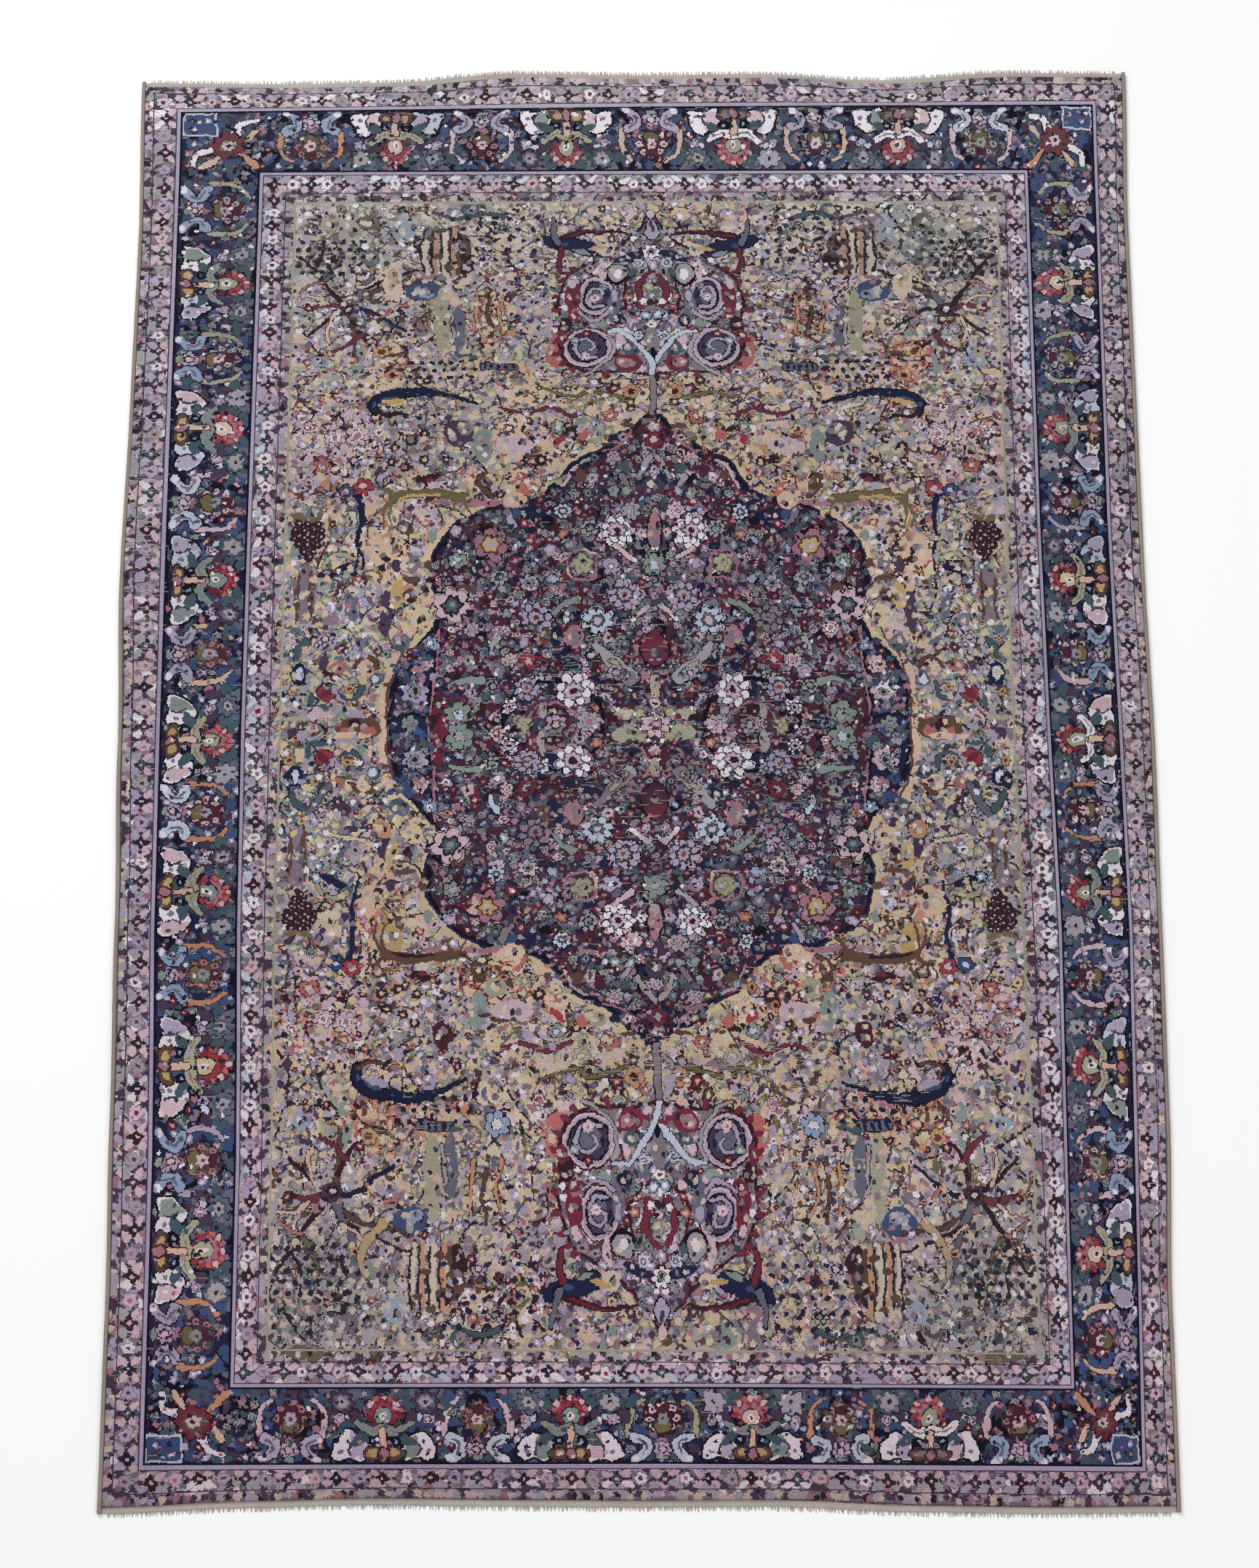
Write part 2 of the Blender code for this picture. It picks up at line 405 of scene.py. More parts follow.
class Patch:
    """The drawing round one motif, with u to the motif's right and v upwards, in millimetres."""

    PETALS_FROM = 10.5
    PETAL_RING = 0.62
    SCALLOP = 0.12

    def __init__(self, knots: Array, u: Array, v: Array) -> None:
        """Keeps the window on the knots and their places.

        Args:
            knots: The wool number of each knot, a window that is drawn on in place.
            u: Place of each knot to the right of the motif's middle.
            v: Place of each knot above it.
        """
        self.knots = knots
        self.u = u
        self.v = v

    def fill(self, inside: Array, wool: Wool) -> None:
        """Gives the knots of a mask one wool."""
        self.knots[inside] = WOOL_NUMBER[wool]

    def oval(
        self, x: float, y: float, half_width: float, half_height: float, wool: Wool, turn: float = 0.0
    ) -> None:
        """Draws an oval, turned by degrees."""
        angle = math.radians(turn)
        a = (self.u - x) * math.cos(angle) + (self.v - y) * math.sin(angle)
        b = (self.v - y) * math.cos(angle) - (self.u - x) * math.sin(angle)
        self.fill((a / half_width) ** 2 + (b / half_height) ** 2 <= 1, wool)

    def flower(
        self, x: float, y: float, radius: float, lobes: int, wool: Wool, depth: float = 0.12
    ) -> None:
        """Draws a disc with a scalloped rim."""
        a = self.u - x
        b = self.v - y
        edge = radius * (1 - depth + depth * np.cos(lobes * np.arctan2(b, a)))
        self.fill(a * a + b * b <= edge * edge, wool)

    def petals(self, x: float, y: float, radius: float, count: int, wool: Wool, rim: Wool) -> None:
        """Draws a ring of rounded petals, each with a rim of its own."""
        half_width = radius * 0.66 * math.sin(math.pi / count) + 1.2
        half_length = radius * 0.4 + 0.6
        for less, colour in ((0.0, rim), (1.3, wool)):
            for step in range(count):
                angle = math.tau * step / count + 0.3
                petal_x = x + radius * self.PETAL_RING * math.cos(angle)
                petal_y = y + radius * self.PETAL_RING * math.sin(angle)
                turn = math.degrees(angle)
                self.oval(petal_x, petal_y, half_length - less, half_width - less, colour, turn)

    def bloom(self, x: float, y: float, radius: float, kind: Bloom) -> None:
        """Draws one of the pattern's flowers; a large one has separate petals."""
        lobes, rings = kind.value
        if radius > self.PETALS_FROM and len(rings) > 2:
            self.petals(x, y, radius, lobes, rings[1][1], rings[0][1])
            rings = ((rings[2][0] + 1.2 / radius, rings[0][1]), *rings[2:])
        a = self.u - x
        b = self.v - y
        distance = np.hypot(a, b) / radius
        edge = 1 - self.SCALLOP + self.SCALLOP * np.cos(lobes * np.arctan2(b, a))
        for share, wool in rings:
            self.fill(distance <= share * edge, wool)

    def leaf(self, x: float, y: float, length: float, width: float, direction: float, wool: Wool) -> None:
        """Draws a pointed leaf from its foot, in a direction given in degrees from u."""
        angle = math.radians(direction)
        along = ((self.u - x) * math.cos(angle) + (self.v - y) * math.sin(angle)) / length
        side = (self.v - y) * math.cos(angle) - (self.u - x) * math.sin(angle)
        half = width / 2 * np.sin(np.pi * np.clip(along, 0, 1)) ** 0.8
        self.fill((along > 0) & (along < 1) & (np.abs(side) <= half), wool)

    def shape(self, points: tuple[Point, ...], wool: Wool, curved: bool = True) -> None:
        """Fills a closed outline.

        Args:
            points: The outline's points.
            wool: What fills it.
            curved: Whether the outline runs smoothly through its points.
        """
        outline = curve_through(points, True) if curved else np.array(points, float)
        inside = np.zeros(self.u.shape, bool)
        for (x0, y0), (x1, y1) in zip(outline, np.roll(outline, -1, axis=0)):
            if y0 == y1:
                continue
            crosses = (self.v > min(y0, y1)) & (self.v <= max(y0, y1))
            inside ^= crosses & (self.u < x0 + (self.v - y0) * (x1 - x0) / (y1 - y0))
        self.fill(inside, wool)

    def line(self, points: tuple[Point, ...], width: float, wool: Wool, tip: float | None = None) -> None:
        """Draws a smooth line that may thin out to its end.

        Args:
            points: Points on the line.
            width: Its width at the first point.
            wool: What draws it.
            tip: Its width at the last point, or None for the same.
        """
        route = curve_through(points, False)
        widths = np.linspace(width, width if tip is None else tip, len(route)) / 2
        for (start, end), half in zip(zip(route, route[1:]), widths):
            step = end - start
            low = np.minimum(start, end) - half
            high = np.maximum(start, end) + half
            near = (self.u > low[0]) & (self.u < high[0]) & (self.v > low[1]) & (self.v < high[1])
            if not near.any():
                continue
            a = self.u[near] - start[0]
            b = self.v[near] - start[1]
            share = np.clip((a * step[0] + b * step[1]) / max(float(step @ step), 1e-9), 0, 1)
            gap = np.hypot(a - share * step[0], b - share * step[1])
            here = self.knots[near]
            here[gap <= half] = WOOL_NUMBER[wool]
            self.knots[near] = here

    def edged_line(
        self, points: tuple[Point, ...], width: float, wool: Wool, rim: Wool, tip: float = 3.0
    ) -> None:
        """Draws a thinning line with a rim of another wool."""
        self.line(points, width + 2.8, rim, tip + 2.0)
        self.line(points, width, wool, tip)

    def edged_shape(self, points: tuple[Point, ...], wool: Wool, rim: Wool, rim_width: float = 3.0) -> None:
        """Fills a smooth closed outline that has a rim of another wool."""
        self.line((*points, points[0]), rim_width, rim)
        self.shape(points, wool)
        self.line((*points, points[0]), rim_width * 0.5, rim)


@dataclass(frozen=True)
class Loom:
    """The lattice of the weave, and where the weaver's hands really put it.

    Each cell of the lattice holds two knots across and two along.
    """

    side_cells: int = 73
    field_cells: int = 366
    end_cells: int = 75
    middle_cells: int = 627

    def columns(self) -> Array:
        """Gives the lattice lines across the drawing, in millimetres."""
        side = np.linspace(FIELD_HALF_WIDTH, PILE_HALF_WIDTH, self.side_cells + 1)[1:]
        middle = np.linspace(-FIELD_HALF_WIDTH, FIELD_HALF_WIDTH, self.field_cells + 1)
        return np.concatenate([-side[::-1], middle, side])

    def rows(self) -> Array:
        """Gives the lattice lines along the drawing, in millimetres."""
        end = np.linspace(FIELD_HALF_LENGTH, PILE_HALF_LENGTH, self.end_cells + 1)[1:]
        middle = np.linspace(-FIELD_HALF_LENGTH, FIELD_HALF_LENGTH, self.middle_cells + 1)
        return np.concatenate([-end[::-1], middle, end])

    @staticmethod
    def knot_places(lines: Array) -> Array:
        """Gives the middles of the knots between lattice lines, two to a cell."""
        return np.interp(np.arange(2 * (len(lines) - 1)) / 2 + 0.25, np.arange(len(lines)), lines)

    def bend(self, x: Array, y: Array) -> tuple[Array, Array]:
        """Moves the drawing's lattice to where it was woven.

        Args:
            x: The columns' places in the drawing, in millimetres.
            y: The rows' places in the drawing, in millimetres.

        Returns:
            The woven X and Y of every crossing, in metres, with a row for each row.
        """
        drift = np.array(SIDE_DRIFT)
        lines = np.array([-PILE_HALF_WIDTH, *DRIFT_LINES, PILE_HALF_WIDTH])
        woven_x = np.empty((len(y), len(x)))
        for row, place in enumerate(y):
            along = place / PILE_HALF_LENGTH
            left = (-along_table(SIDE_EDGES, 1, along) + BODY_SIDE_INSET) / MILLIMETRE
            right = (along_table(SIDE_EDGES, 2, along) - BODY_SIDE_INSET) / MILLIMETRE
            inner = [np.interp(place, drift[:, 0], stray) for stray in drift[:, 1:].T]
            woven_x[row] = np.interp(x, lines, [left, *inner, right])
        drift = np.array(LENGTH_DRIFT)
        lines = np.array([-PILE_HALF_LENGTH, *drift[:, 0], PILE_HALF_LENGTH])
        woven_y = np.empty((len(y), len(x)))
        for column, place in enumerate(x):
            across = place / PILE_HALF_WIDTH
            head = (HALF_LENGTH - end_shortfall(1, across) - BODY_END_INSET) / MILLIMETRE
            foot = (-HALF_LENGTH + end_shortfall(2, across) + BODY_END_INSET) / MILLIMETRE
            inner = [np.interp(across, (-1, 0, 1), row[1:]) for row in drift]
            woven_y[:, column] = np.interp(y, lines, [foot, *inner, head])
        return woven_x * MILLIMETRE, woven_y * MILLIMETRE


@dataclass(frozen=True)
class Mix:
    """Small flowers that fill a ground together: (flower, radius), and the wools of their leaves."""

    flowers: tuple[tuple[Bloom, float], ...]
    leaves: tuple[Wool, ...] = ()


class Planting(Enum):
    """The mixes of small flowers, by where they grow."""

    GARDEN = Mix(
        (
            (Bloom.PINK_BUD, 8.4), (Bloom.SAND_DOT, 7.4), (Bloom.GREY_BUD, 8.0), (Bloom.SAGE_BUD, 8.4),
            (Bloom.DOT, 3.6), (Bloom.LILAC_BUD, 8.0), (Bloom.PEACH_DOT, 8.2), (Bloom.PLUM_DOT, 4.6),
            (Bloom.MAUVE_DOT, 5.6), (Bloom.BROWN_BUD, 6.4), (Bloom.STRAW_BUD, 8.6),
            (Bloom.PINK_DOT, 7.0),
        ),
        (
            Wool.SAGE, Wool.MAUVE, Wool.PINK, Wool.SLATE, Wool.STRAW, Wool.ROSE, Wool.SEA, Wool.BROWN,
            Wool.PLUM,
        ),
    )
    SPECKS = Mix(
        (
            (Bloom.DOT, 2.8), (Bloom.PLUM_DOT, 3.4), (Bloom.MAUVE_DOT, 4.0), (Bloom.IVORY_DOT, 4.0),
            (Bloom.SAND_DOT, 4.4), (Bloom.LILAC_DOT, 4.4), (Bloom.ROSE_DOT, 4.0),
            (Bloom.STRAW_DOT, 4.6), (Bloom.PEACH_DOT, 4.6),
        ),
    )
    BUSH = Mix(
        (
            (Bloom.PINK_BUD, 8.0), (Bloom.PINK_DOT, 6.6), (Bloom.ROSE_DOT, 6.4), (Bloom.IVORY_BUD, 7.4),
            (Bloom.WINE_BUD, 6.0), (Bloom.DOT, 3.8), (Bloom.LILAC_BUD, 7.4), (Bloom.CORAL_ROSE, 7.0),
        ),
        (Wool.SAGE, Wool.GREY, Wool.ROSE, Wool.PINK, Wool.APRICOT, Wool.MAROON),
    )
    CORAL = Mix(
        (
            (Bloom.CORAL_ROSE, 8.6), (Bloom.ORANGE, 8.2), (Bloom.RED_DOT, 5.0), (Bloom.PINK_BUD, 7.4),
            (Bloom.BERRY, 6.0), (Bloom.PEACH_DOT, 7.6), (Bloom.STRAW_DOT, 7.6),
        ),
        (Wool.CORAL, Wool.APRICOT, Wool.SAGE, Wool.BROWN, Wool.ROSE, Wool.PEACH),
    )
    SCROLL = Mix(
        (
            (Bloom.NAVY_DOT, 4.2), (Bloom.GREY_BUD, 7.4), (Bloom.SEA_BUD, 7.0), (Bloom.STRAW_DOT, 7.4),
            (Bloom.PLUM_DOT, 4.6), (Bloom.SKY_BUD, 6.2), (Bloom.LILAC_BUD, 7.4), (Bloom.SAND_DOT, 7.0),
        ),
        (Wool.TEAL, Wool.SAND, Wool.SEA, Wool.LILAC, Wool.STRAW, Wool.GREY, Wool.SLATE),
    )
    CORNER = Mix(
        (
            (Bloom.DOT, 4.4), (Bloom.SEA_BUD, 7.6), (Bloom.SLATE_BUD, 7.0), (Bloom.SAGE_BUD, 7.6),
            (Bloom.LILAC_BUD, 7.0), (Bloom.GREY_BUD, 8.0), (Bloom.NAVY_DOT, 5.0),
        ),
        (Wool.TEAL, Wool.SLATE, Wool.SAGE, Wool.OLIVE, Wool.GREY),
    )
    COLUMN = Mix(
        (
            (Bloom.IVORY_BUD, 7.0), (Bloom.GREY_DOT, 7.0), (Bloom.DOT, 3.8), (Bloom.LILAC_DOT, 7.0),
            (Bloom.PLUM_DOT, 4.8), (Bloom.LILAC_BUD, 7.2), (Bloom.STRAW_DOT, 6.6),
            (Bloom.SAGE_BUD, 6.6),
        ),
        (Wool.GREY, Wool.MAUVE, Wool.SEA, Wool.LILAC, Wool.SAND),
    )
    MEDALLION = Mix(
        (
            (Bloom.LILAC_ROSE, 7.4), (Bloom.GREY_ROSE, 7.2), (Bloom.RED_ROSE, 6.4),
            (Bloom.PINK_ROSE, 6.6), (Bloom.SKY_BUD, 5.6), (Bloom.WINE_BUD, 7.6), (Bloom.TEAL_BUD, 7.0),
            (Bloom.SLATE_BUD, 7.4), (Bloom.DARK_ROSE, 7.4), (Bloom.NAVY_DOT, 5.2),
            (Bloom.SLATE_BUD, 6.0), (Bloom.DARK_ROSE, 6.0),
        ),
        (Wool.SLATE, Wool.MAUVE, Wool.CRIMSON, Wool.TEAL, Wool.ROSE, Wool.PLUM, Wool.MAUVE, Wool.NAVY),
    )
    STRIPE = Mix(
        (
            (Bloom.PINK_DOT, 7.4), (Bloom.LILAC_DOT, 7.6), (Bloom.GREY_DOT, 7.0),
            (Bloom.SLATE_BUD, 6.4), (Bloom.IVORY_DOT, 5.6), (Bloom.ROSE_DOT, 4.6),
            (Bloom.PLUM_DOT, 5.6), (Bloom.MAUVE_DOT, 7.0), (Bloom.DOT, 4.2), (Bloom.PLUM_DOT, 4.6),
        ),
    )
    PENDANT = Mix(
        (
            (Bloom.LILAC_BUD, 6.8), (Bloom.GREY_BUD, 6.4), (Bloom.WINE_BUD, 5.6), (Bloom.PINK_DOT, 5.6),
            (Bloom.SLATE_BUD, 6.4), (Bloom.PLUM_DOT, 5.4), (Bloom.IVORY_DOT, 5.4), (Bloom.SEA_BUD, 6.0),
        ),
        (Wool.SLATE, Wool.LILAC, Wool.CRIMSON, Wool.GREY, Wool.MAROON),
    )
    MARGIN = Mix(
        (
            (Bloom.GREY_DOT, 6.2), (Bloom.PLUM_DOT, 4.4), (Bloom.LILAC_DOT, 6.0), (Bloom.ROSE_DOT, 4.2),
            (Bloom.DOT, 4.2), (Bloom.PINK_DOT, 5.0), (Bloom.SAND_DOT, 5.0), (Bloom.GREY_DOT, 6.0),
            (Bloom.PLUM_DOT, 5.4),
        ),
    )
    CHIPS = Mix(
        (
            (Bloom.DOT, 2.8), (Bloom.NAVY_DOT, 3.2), (Bloom.PLUM_DOT, 3.0), (Bloom.ROSE_DOT, 2.8),
            (Bloom.DOT, 3.2), (Bloom.LILAC_DOT, 3.0), (Bloom.TEAL_DOT, 3.2), (Bloom.IVORY_DOT, 2.8),
            (Bloom.MAUVE_DOT, 3.0),
        ),
    )
    DEEP = Mix(
        (
            (Bloom.SLATE_BUD, 7.2), (Bloom.PLUM_DOT, 6.0), (Bloom.TEAL_DOT, 6.0),
            (Bloom.LILAC_BUD, 6.4), (Bloom.GREY_ROSE, 6.6), (Bloom.WINE_BUD, 6.2),
            (Bloom.ROSE_DOT, 4.6), (Bloom.BLUE_DOT, 7.0),
        ),
        (Wool.SLATE, Wool.TEAL, Wool.MAUVE, Wool.BLUE, Wool.PLUM, Wool.BLUE),
    )


class Cartoon:
    """The weaver's full-size drawing: one wool for every knot, drawn a quarter at a time.

    The two halves of a quarter pair are drawn from the same random choices, so that the rug
    mirrors itself from side to side, and a small tremble keeps the mirror from being exact.
    """

    TREMBLE = 0.7
    ROW_STEP = 0.87
    JITTER = 0.28

    def __init__(self, loom: Loom) -> None:
        """Spreads an empty drawing over the loom's knots."""
        self.x = loom.knot_places(loom.columns())
        self.y = loom.knot_places(loom.rows())
        self.knots = np.full((len(self.y), len(self.x)), WOOL_NUMBER[Wool.MAUVE], np.uint8)
        self.quarter = Quarter.HEAD_RIGHT
        self.chance = np.random.default_rng(SEED)
        self.hand = np.random.default_rng(SEED + 1)

    def turn_to(self, quarter: Quarter, salt: int) -> None:
        """Starts drawing in a quarter, with the random choices of its half."""
        self.quarter = quarter
        self.chance = np.random.default_rng(SEED + salt + (0 if quarter.at_head else 50))

    def patch(
        self, x: float, y: float, reach: float, turn: float = 0.0, flip: int = 1, size: float = 1.0
    ) -> Patch:
        """Opens the drawing round a place.

        Args:
            x: Place across the current quarter, outwards from the middle.
            y: Place along it, outwards from the middle.
            reach: How far from the place the motif reaches, at its own size.
            turn: The motif's turn in degrees, anticlockwise in the head-right quarter.
            flip: -1 mirrors the motif left to right.
            size: Its enlargement.

        Returns:
            The window to draw on.
        """
        sign_x, sign_y = self.quarter.value
        left, right = np.searchsorted(self.x, (sign_x * x - reach * size, sign_x * x + reach * size))
        low, high = np.searchsorted(self.y, (sign_y * y - reach * size, sign_y * y + reach * size))
        over = ((self.x[left:right] * sign_x - x) / size)[None, :]
        up = ((self.y[low:high] * sign_y - y) / size)[:, None]
        angle = math.radians(turn)
        u = (over * math.cos(angle) + up * math.sin(angle)) * flip
        v = up * math.cos(angle) - over * math.sin(angle)
        return Patch(self.knots[low:high, left:right], u, v)

    def put(
        self, motif: "Motif", x: float, y: float, turn: float = 0.0, flip: int = 1, size: float = 1.0
    ) -> None:
        """Draws a motif at a place of the current quarter, with the weaver's small tremble."""
        shift_x, shift_y = self.hand.uniform(-self.TREMBLE, self.TREMBLE, 2)
        motif.draw(self.patch(x + shift_x, y + shift_y, motif.reach, turn, flip, size))

    def rectangle(self, half_width: float, half_length: float, wool: Wool) -> None:
        """Fills a rectangle round the middle of the rug."""
        over = np.abs(self.x) <= half_width
        along = np.abs(self.y) <= half_length
        self.knots[np.ix_(along, over)] = WOOL_NUMBER[wool]

    def ground(self, *wools: Wool) -> Array:
        """Tells where the drawing holds one of some wools."""
        return np.isin(self.knots, [WOOL_NUMBER[wool] for wool in wools])

    def within(self, x: float, y: float, half_width: float, half_height: float) -> Array:
        """Tells which knots of the current quarter lie in an oval."""
        sign_x, sign_y = self.quarter.value
        over = ((self.x * sign_x - x) / half_width)[None, :] ** 2
        up = ((self.y * sign_y - y) / half_height)[:, None] ** 2
        return over + up <= 1

    def scatter(self, zone: Array, spacing: float) -> list[Point]:
        """Finds uneven places in a zone of the current quarter.

        Args:
            zone: Which knots may hold a place.
            spacing: Rough distance between places.

        Returns:
            The places, outwards from the middle.
        """
        sign_x, sign_y = self.quarter.value
        found = []
        row_step = spacing * self.ROW_STEP
        for row in range(int(PILE_HALF_LENGTH / row_step) + 1):
            for column in range(int(PILE_HALF_WIDTH / spacing) + 1):
                jitter = self.chance.uniform(-self.JITTER, self.JITTER, 2) * spacing
                x = (column + 0.5 * (row % 2)) * spacing + jitter[0]
                y = row * row_step + jitter[1]
                i = min(int(np.searchsorted(self.x, sign_x * x)), len(self.x) - 1)
                j = min(int(np.searchsorted(self.y, sign_y * y)), len(self.y) - 1)
                if zone[j, i]:
                    found.append((x, y))
        return found

    def sow(self, zone: Array, spacing: float, planting: Planting) -> None:
        """Fills a zone with a mix of small flowers and leaves, sorted by chance."""
        mix = planting.value
        for x, y in self.scatter(zone, spacing):
            bloom, radius = pick(self.chance, mix.flowers)
            turn, size = self.chance.uniform(0, 360), self.chance.uniform(0.8, 1.2)
            patch = self.patch(x, y, radius * 2.6, turn, 1, size)
            if mix.leaves:
                for direction in (0, 150)[: self.chance.integers(1, 3)]:
                    wool = pick(self.chance, mix.leaves)
                    angle = math.radians(direction)
                    foot = (radius * 0.6 * math.cos(angle), radius * 0.6 * math.sin(angle))
                    patch.leaf(*foot, radius * 1.6, radius, direction, wool)
            patch.bloom(0, 0, radius, bloom)

    def roughen(self, strays: tuple[tuple[int, float], ...] = ((17, 1.7), (7, 1.2), (3, 0.6))) -> None:
        """Lets the knots stray from the drawing, as they do when a weaver ties them by eye.

        Args:
            strays: Over how many knots the drawing wavers, and by how many knots.
        """
        shape = self.knots.shape
        places = []
        for axis, count in enumerate(shape):
            place = np.arange(count).reshape((-1, 1) if axis == 0 else (1, -1)) + np.zeros(shape)
            for cell, reach in strays:
                place += reach * patchy(shape, (shape[0] // cell, shape[1] // cell), self.hand)
            places.append(np.clip(np.rint(place), 0, count - 1).astype(int))
        self.knots = self.knots[places[0], places[1]]


class Motif:
    """A figure of the pattern, drawn round its own middle."""

    reach: float

    def draw(self, patch: Patch) -> None:
        """Draws the figure on a patch of the drawing."""
        raise NotImplementedError


@dataclass(frozen=True)
class Flower(Motif):
    """A single flower of the pattern."""

    kind: Bloom
    radius: float

    @property
    def reach(self) -> float:
        """Gives how far the flower reaches."""
        return self.radius * 1.1

    def draw(self, patch: Patch) -> None:
        """Draws the flower."""
        patch.bloom(0, 0, self.radius, self.kind)


@dataclass(frozen=True)
class FanPalmette(Motif):
    """The main border's palmette: a red fan towards the field, its calyx towards the rug's edge."""

    fan: Wool = Wool.CRIMSON
    lining: Wool = Wool.RED
    heart: Wool = Wool.SEA
    wing: Wool = Wool.IVORY
    reach: float = 54.0

    def draw(self, patch: Patch) -> None:
        """Draws the fan, its heart, the wings and the calyx."""
        for side in (-1, 1):
            patch.leaf(side * 18, 14, 26, 14, 90 - side * 66, Wool.TEAL)
            patch.leaf(side * 8, -34, 26, 11, -90 + side * 64, Wool.TEAL)
        patch.flower(0, -18, 26, 11, Wool.MIDNIGHT)
        patch.flower(0, -18, 24.5, 11, self.fan)
        for step in range(7):
            angle = math.radians(-90 + 27 * (step - 3))
            bead = Wool.PINK if step % 2 else Wool.CORAL
            patch.oval(19 * math.cos(angle), 19 * math.sin(angle) - 18, 3.6, 3.6, bead)
        patch.flower(0, -16, 16.5, 9, self.lining)
        patch.oval(0, -11, 12, 14, Wool.UMBER)
        patch.oval(0, -11, 10.4, 12.4, self.heart)
        patch.oval(0, -10, 4, 6.5, Wool.IVORY)
        patch.oval(0, -10, 1.8, 3, Wool.UMBER)
        for side in (-1, 1):
            wing = ((side * 3, 6), (side * 17, 9), (side * 33, -3))
            patch.edged_line(wing, 13, self.wing, Wool.MIDNIGHT, 7)
            patch.line(((side * 8, 8), (side * 18, 9), (side * 28, 2)), 2.0, Wool.MAUVE, 1.6)
            patch.oval(side * 15, 21, 7, 6.4, Wool.MIDNIGHT)
            patch.oval(side * 15, 21, 2.4, 2.4, Wool.SKY)
            patch.oval(side * 13, 38, 14, 10, Wool.UMBER)
            patch.oval(side * 13, 38, 12, 8, Wool.BROWN)
            patch.oval(side * 12, 37, 7, 5, Wool.MAUVE if self.wing is Wool.IVORY else Wool.GOLD)
        patch.edged_line(((0, 10), (0, 20), (0, 30)), 9, Wool.PEACH, Wool.MAROON, 6)
        patch.leaf(0, 28, 22, 17, 90, Wool.MAROON)
        patch.leaf(0, 31, 16, 12, 90, Wool.ROSE)


@dataclass(frozen=True)
class BorderRosette(Motif):
    """The main border's round flower, held by curled arms and two pale S-shaped leaves."""

    petals: Wool = Wool.MAROON
    ring: Wool = Wool.PINK
    heart: Wool = Wool.LILAC
    curl: Wool = Wool.PEACH
    leaf: Wool = Wool.SKY
    reach: float = 60.0

    def draw(self, patch: Patch) -> None:
        """Draws the arms and leaves, then the flower over them."""
        for side in (-1, 1):
            patch.leaf(side * 8, 16, 30, 14, 90 - side * 46, Wool.PLUM)
            patch.leaf(side * 30, -20, 24, 14, -90 + side * 16, Wool.BLUE)
            curl = ((side * 40, 14), (side * 41, -4), (side * 37, -22), (side * 25, -33))
            patch.edged_line(curl, 8, self.curl, Wool.UMBER, 4)
            blade = ((side * 33, 18), (side * 20, 24), (side * 21, 36), (side * 34, 46))
            patch.edged_line(blade, 13, self.leaf, Wool.MIDNIGHT, 10)
            patch.line(((side * 30, 20), (side * 21, 27), (side * 24, 38)), 3.4, Wool.SLATE, 3)
            patch.oval(side * 33, 45, 5, 3.4, Wool.IVORY)
        patch.flower(0, -8, 25, 9, Wool.MIDNIGHT)
        patch.flower(0, -8, 23.5, 9, self.petals)
        for step in range(8):
            angle = math.radians(45 * step)
            patch.oval(16.5 * math.cos(angle), 16.5 * math.sin(angle) - 8, 4.2, 4.2, self.ring)
            patch.oval(16.5 * math.cos(angle), 16.5 * math.sin(angle) - 8, 1.5, 1.5, Wool.UMBER)
        patch.oval(0, 2, 13, 10, Wool.UMBER)
        patch.oval(0, 2, 11, 8, Wool.OLIVE)
        patch.oval(0, -20, 9, 7, Wool.BURGUNDY)
        patch.flower(0, -7, 8, 6, self.heart)
        patch.oval(0, -7, 2.6, 2.2, Wool.CRIMSON)
        patch.leaf(0, 14, 14, 12, 90, Wool.ROSE)
        patch.bloom(0, 32, 12.5, Bloom.LILAC_ROSE)
        patch.oval(0, 44, 9, 4.5, Wool.UMBER)
        patch.oval(0, 44, 7, 3.4, Wool.SEA)


@dataclass(frozen=True)
class Bell(Motif):
    """The pale bell flower on the outer side of the main border, in two tones."""

    cup: Wool = Wool.IVORY
    shade: Wool = Wool.LILAC
    reach: float = 30.0

    def draw(self, patch: Patch) -> None:
        """Draws the bell, open towards the rug's edge."""
        rim = (
            (-23, 14), (-22, 2), (-16, -12), (-3, -22), (10, -16),
            (20, -4), (23, 14), (12, 17), (0, 13), (-12, 17),
        )
        patch.edged_shape(rim, self.cup, Wool.MIDNIGHT, 4)
        patch.shape(((1, 11), (2, -17), (11, -12), (18, -2), (19, 11), (10, 13)), self.shade)
        patch.line(((0, 9), (-2, 0), (2, -8)), 3.2, Wool.PLUM)
        patch.oval(-11, 4, 3.4, 3.0, Wool.MAUVE)


@dataclass(frozen=True)
class LeafedRound(Motif):
    """The dull blue round flower on the inner side of the main border, with pink buds beside it."""

    disc: Wool = Wool.SLATE
    ring: Wool = Wool.TEAL
    heart: Wool = Wool.GREY
    reach: float = 36.0

    def draw(self, patch: Patch) -> None:
        """Draws the round flower between dark leaves."""
        for side in (-1, 1):
            patch.leaf(side * 6, -8, 30, 15, 90 - side * 66, Wool.TEAL)
            patch.leaf(side * 8, 4, 26, 14, 90 - side * 36, Wool.PLUM)
            patch.leaf(side * 4, -6, 26, 14, -90 + side * 50, Wool.SLATE)
        patch.flower(0, -3, 18.5, 8, Wool.MIDNIGHT)
        patch.flower(0, -3, 17, 8, self.disc)
        patch.flower(0, -3, 12, 7, self.ring)
        patch.flower(0, -3, 8.5, 6, self.heart)
        patch.oval(0, -3, 2.6, 2.6, Wool.MAROON)
        patch.bloom(-4, 20, 8.5, Bloom.LILAC_ROSE)
        patch.oval(6, 17, 5.4, 5.0, Wool.MIDNIGHT)
        patch.oval(6, 17, 4.2, 3.8, Wool.ICE)


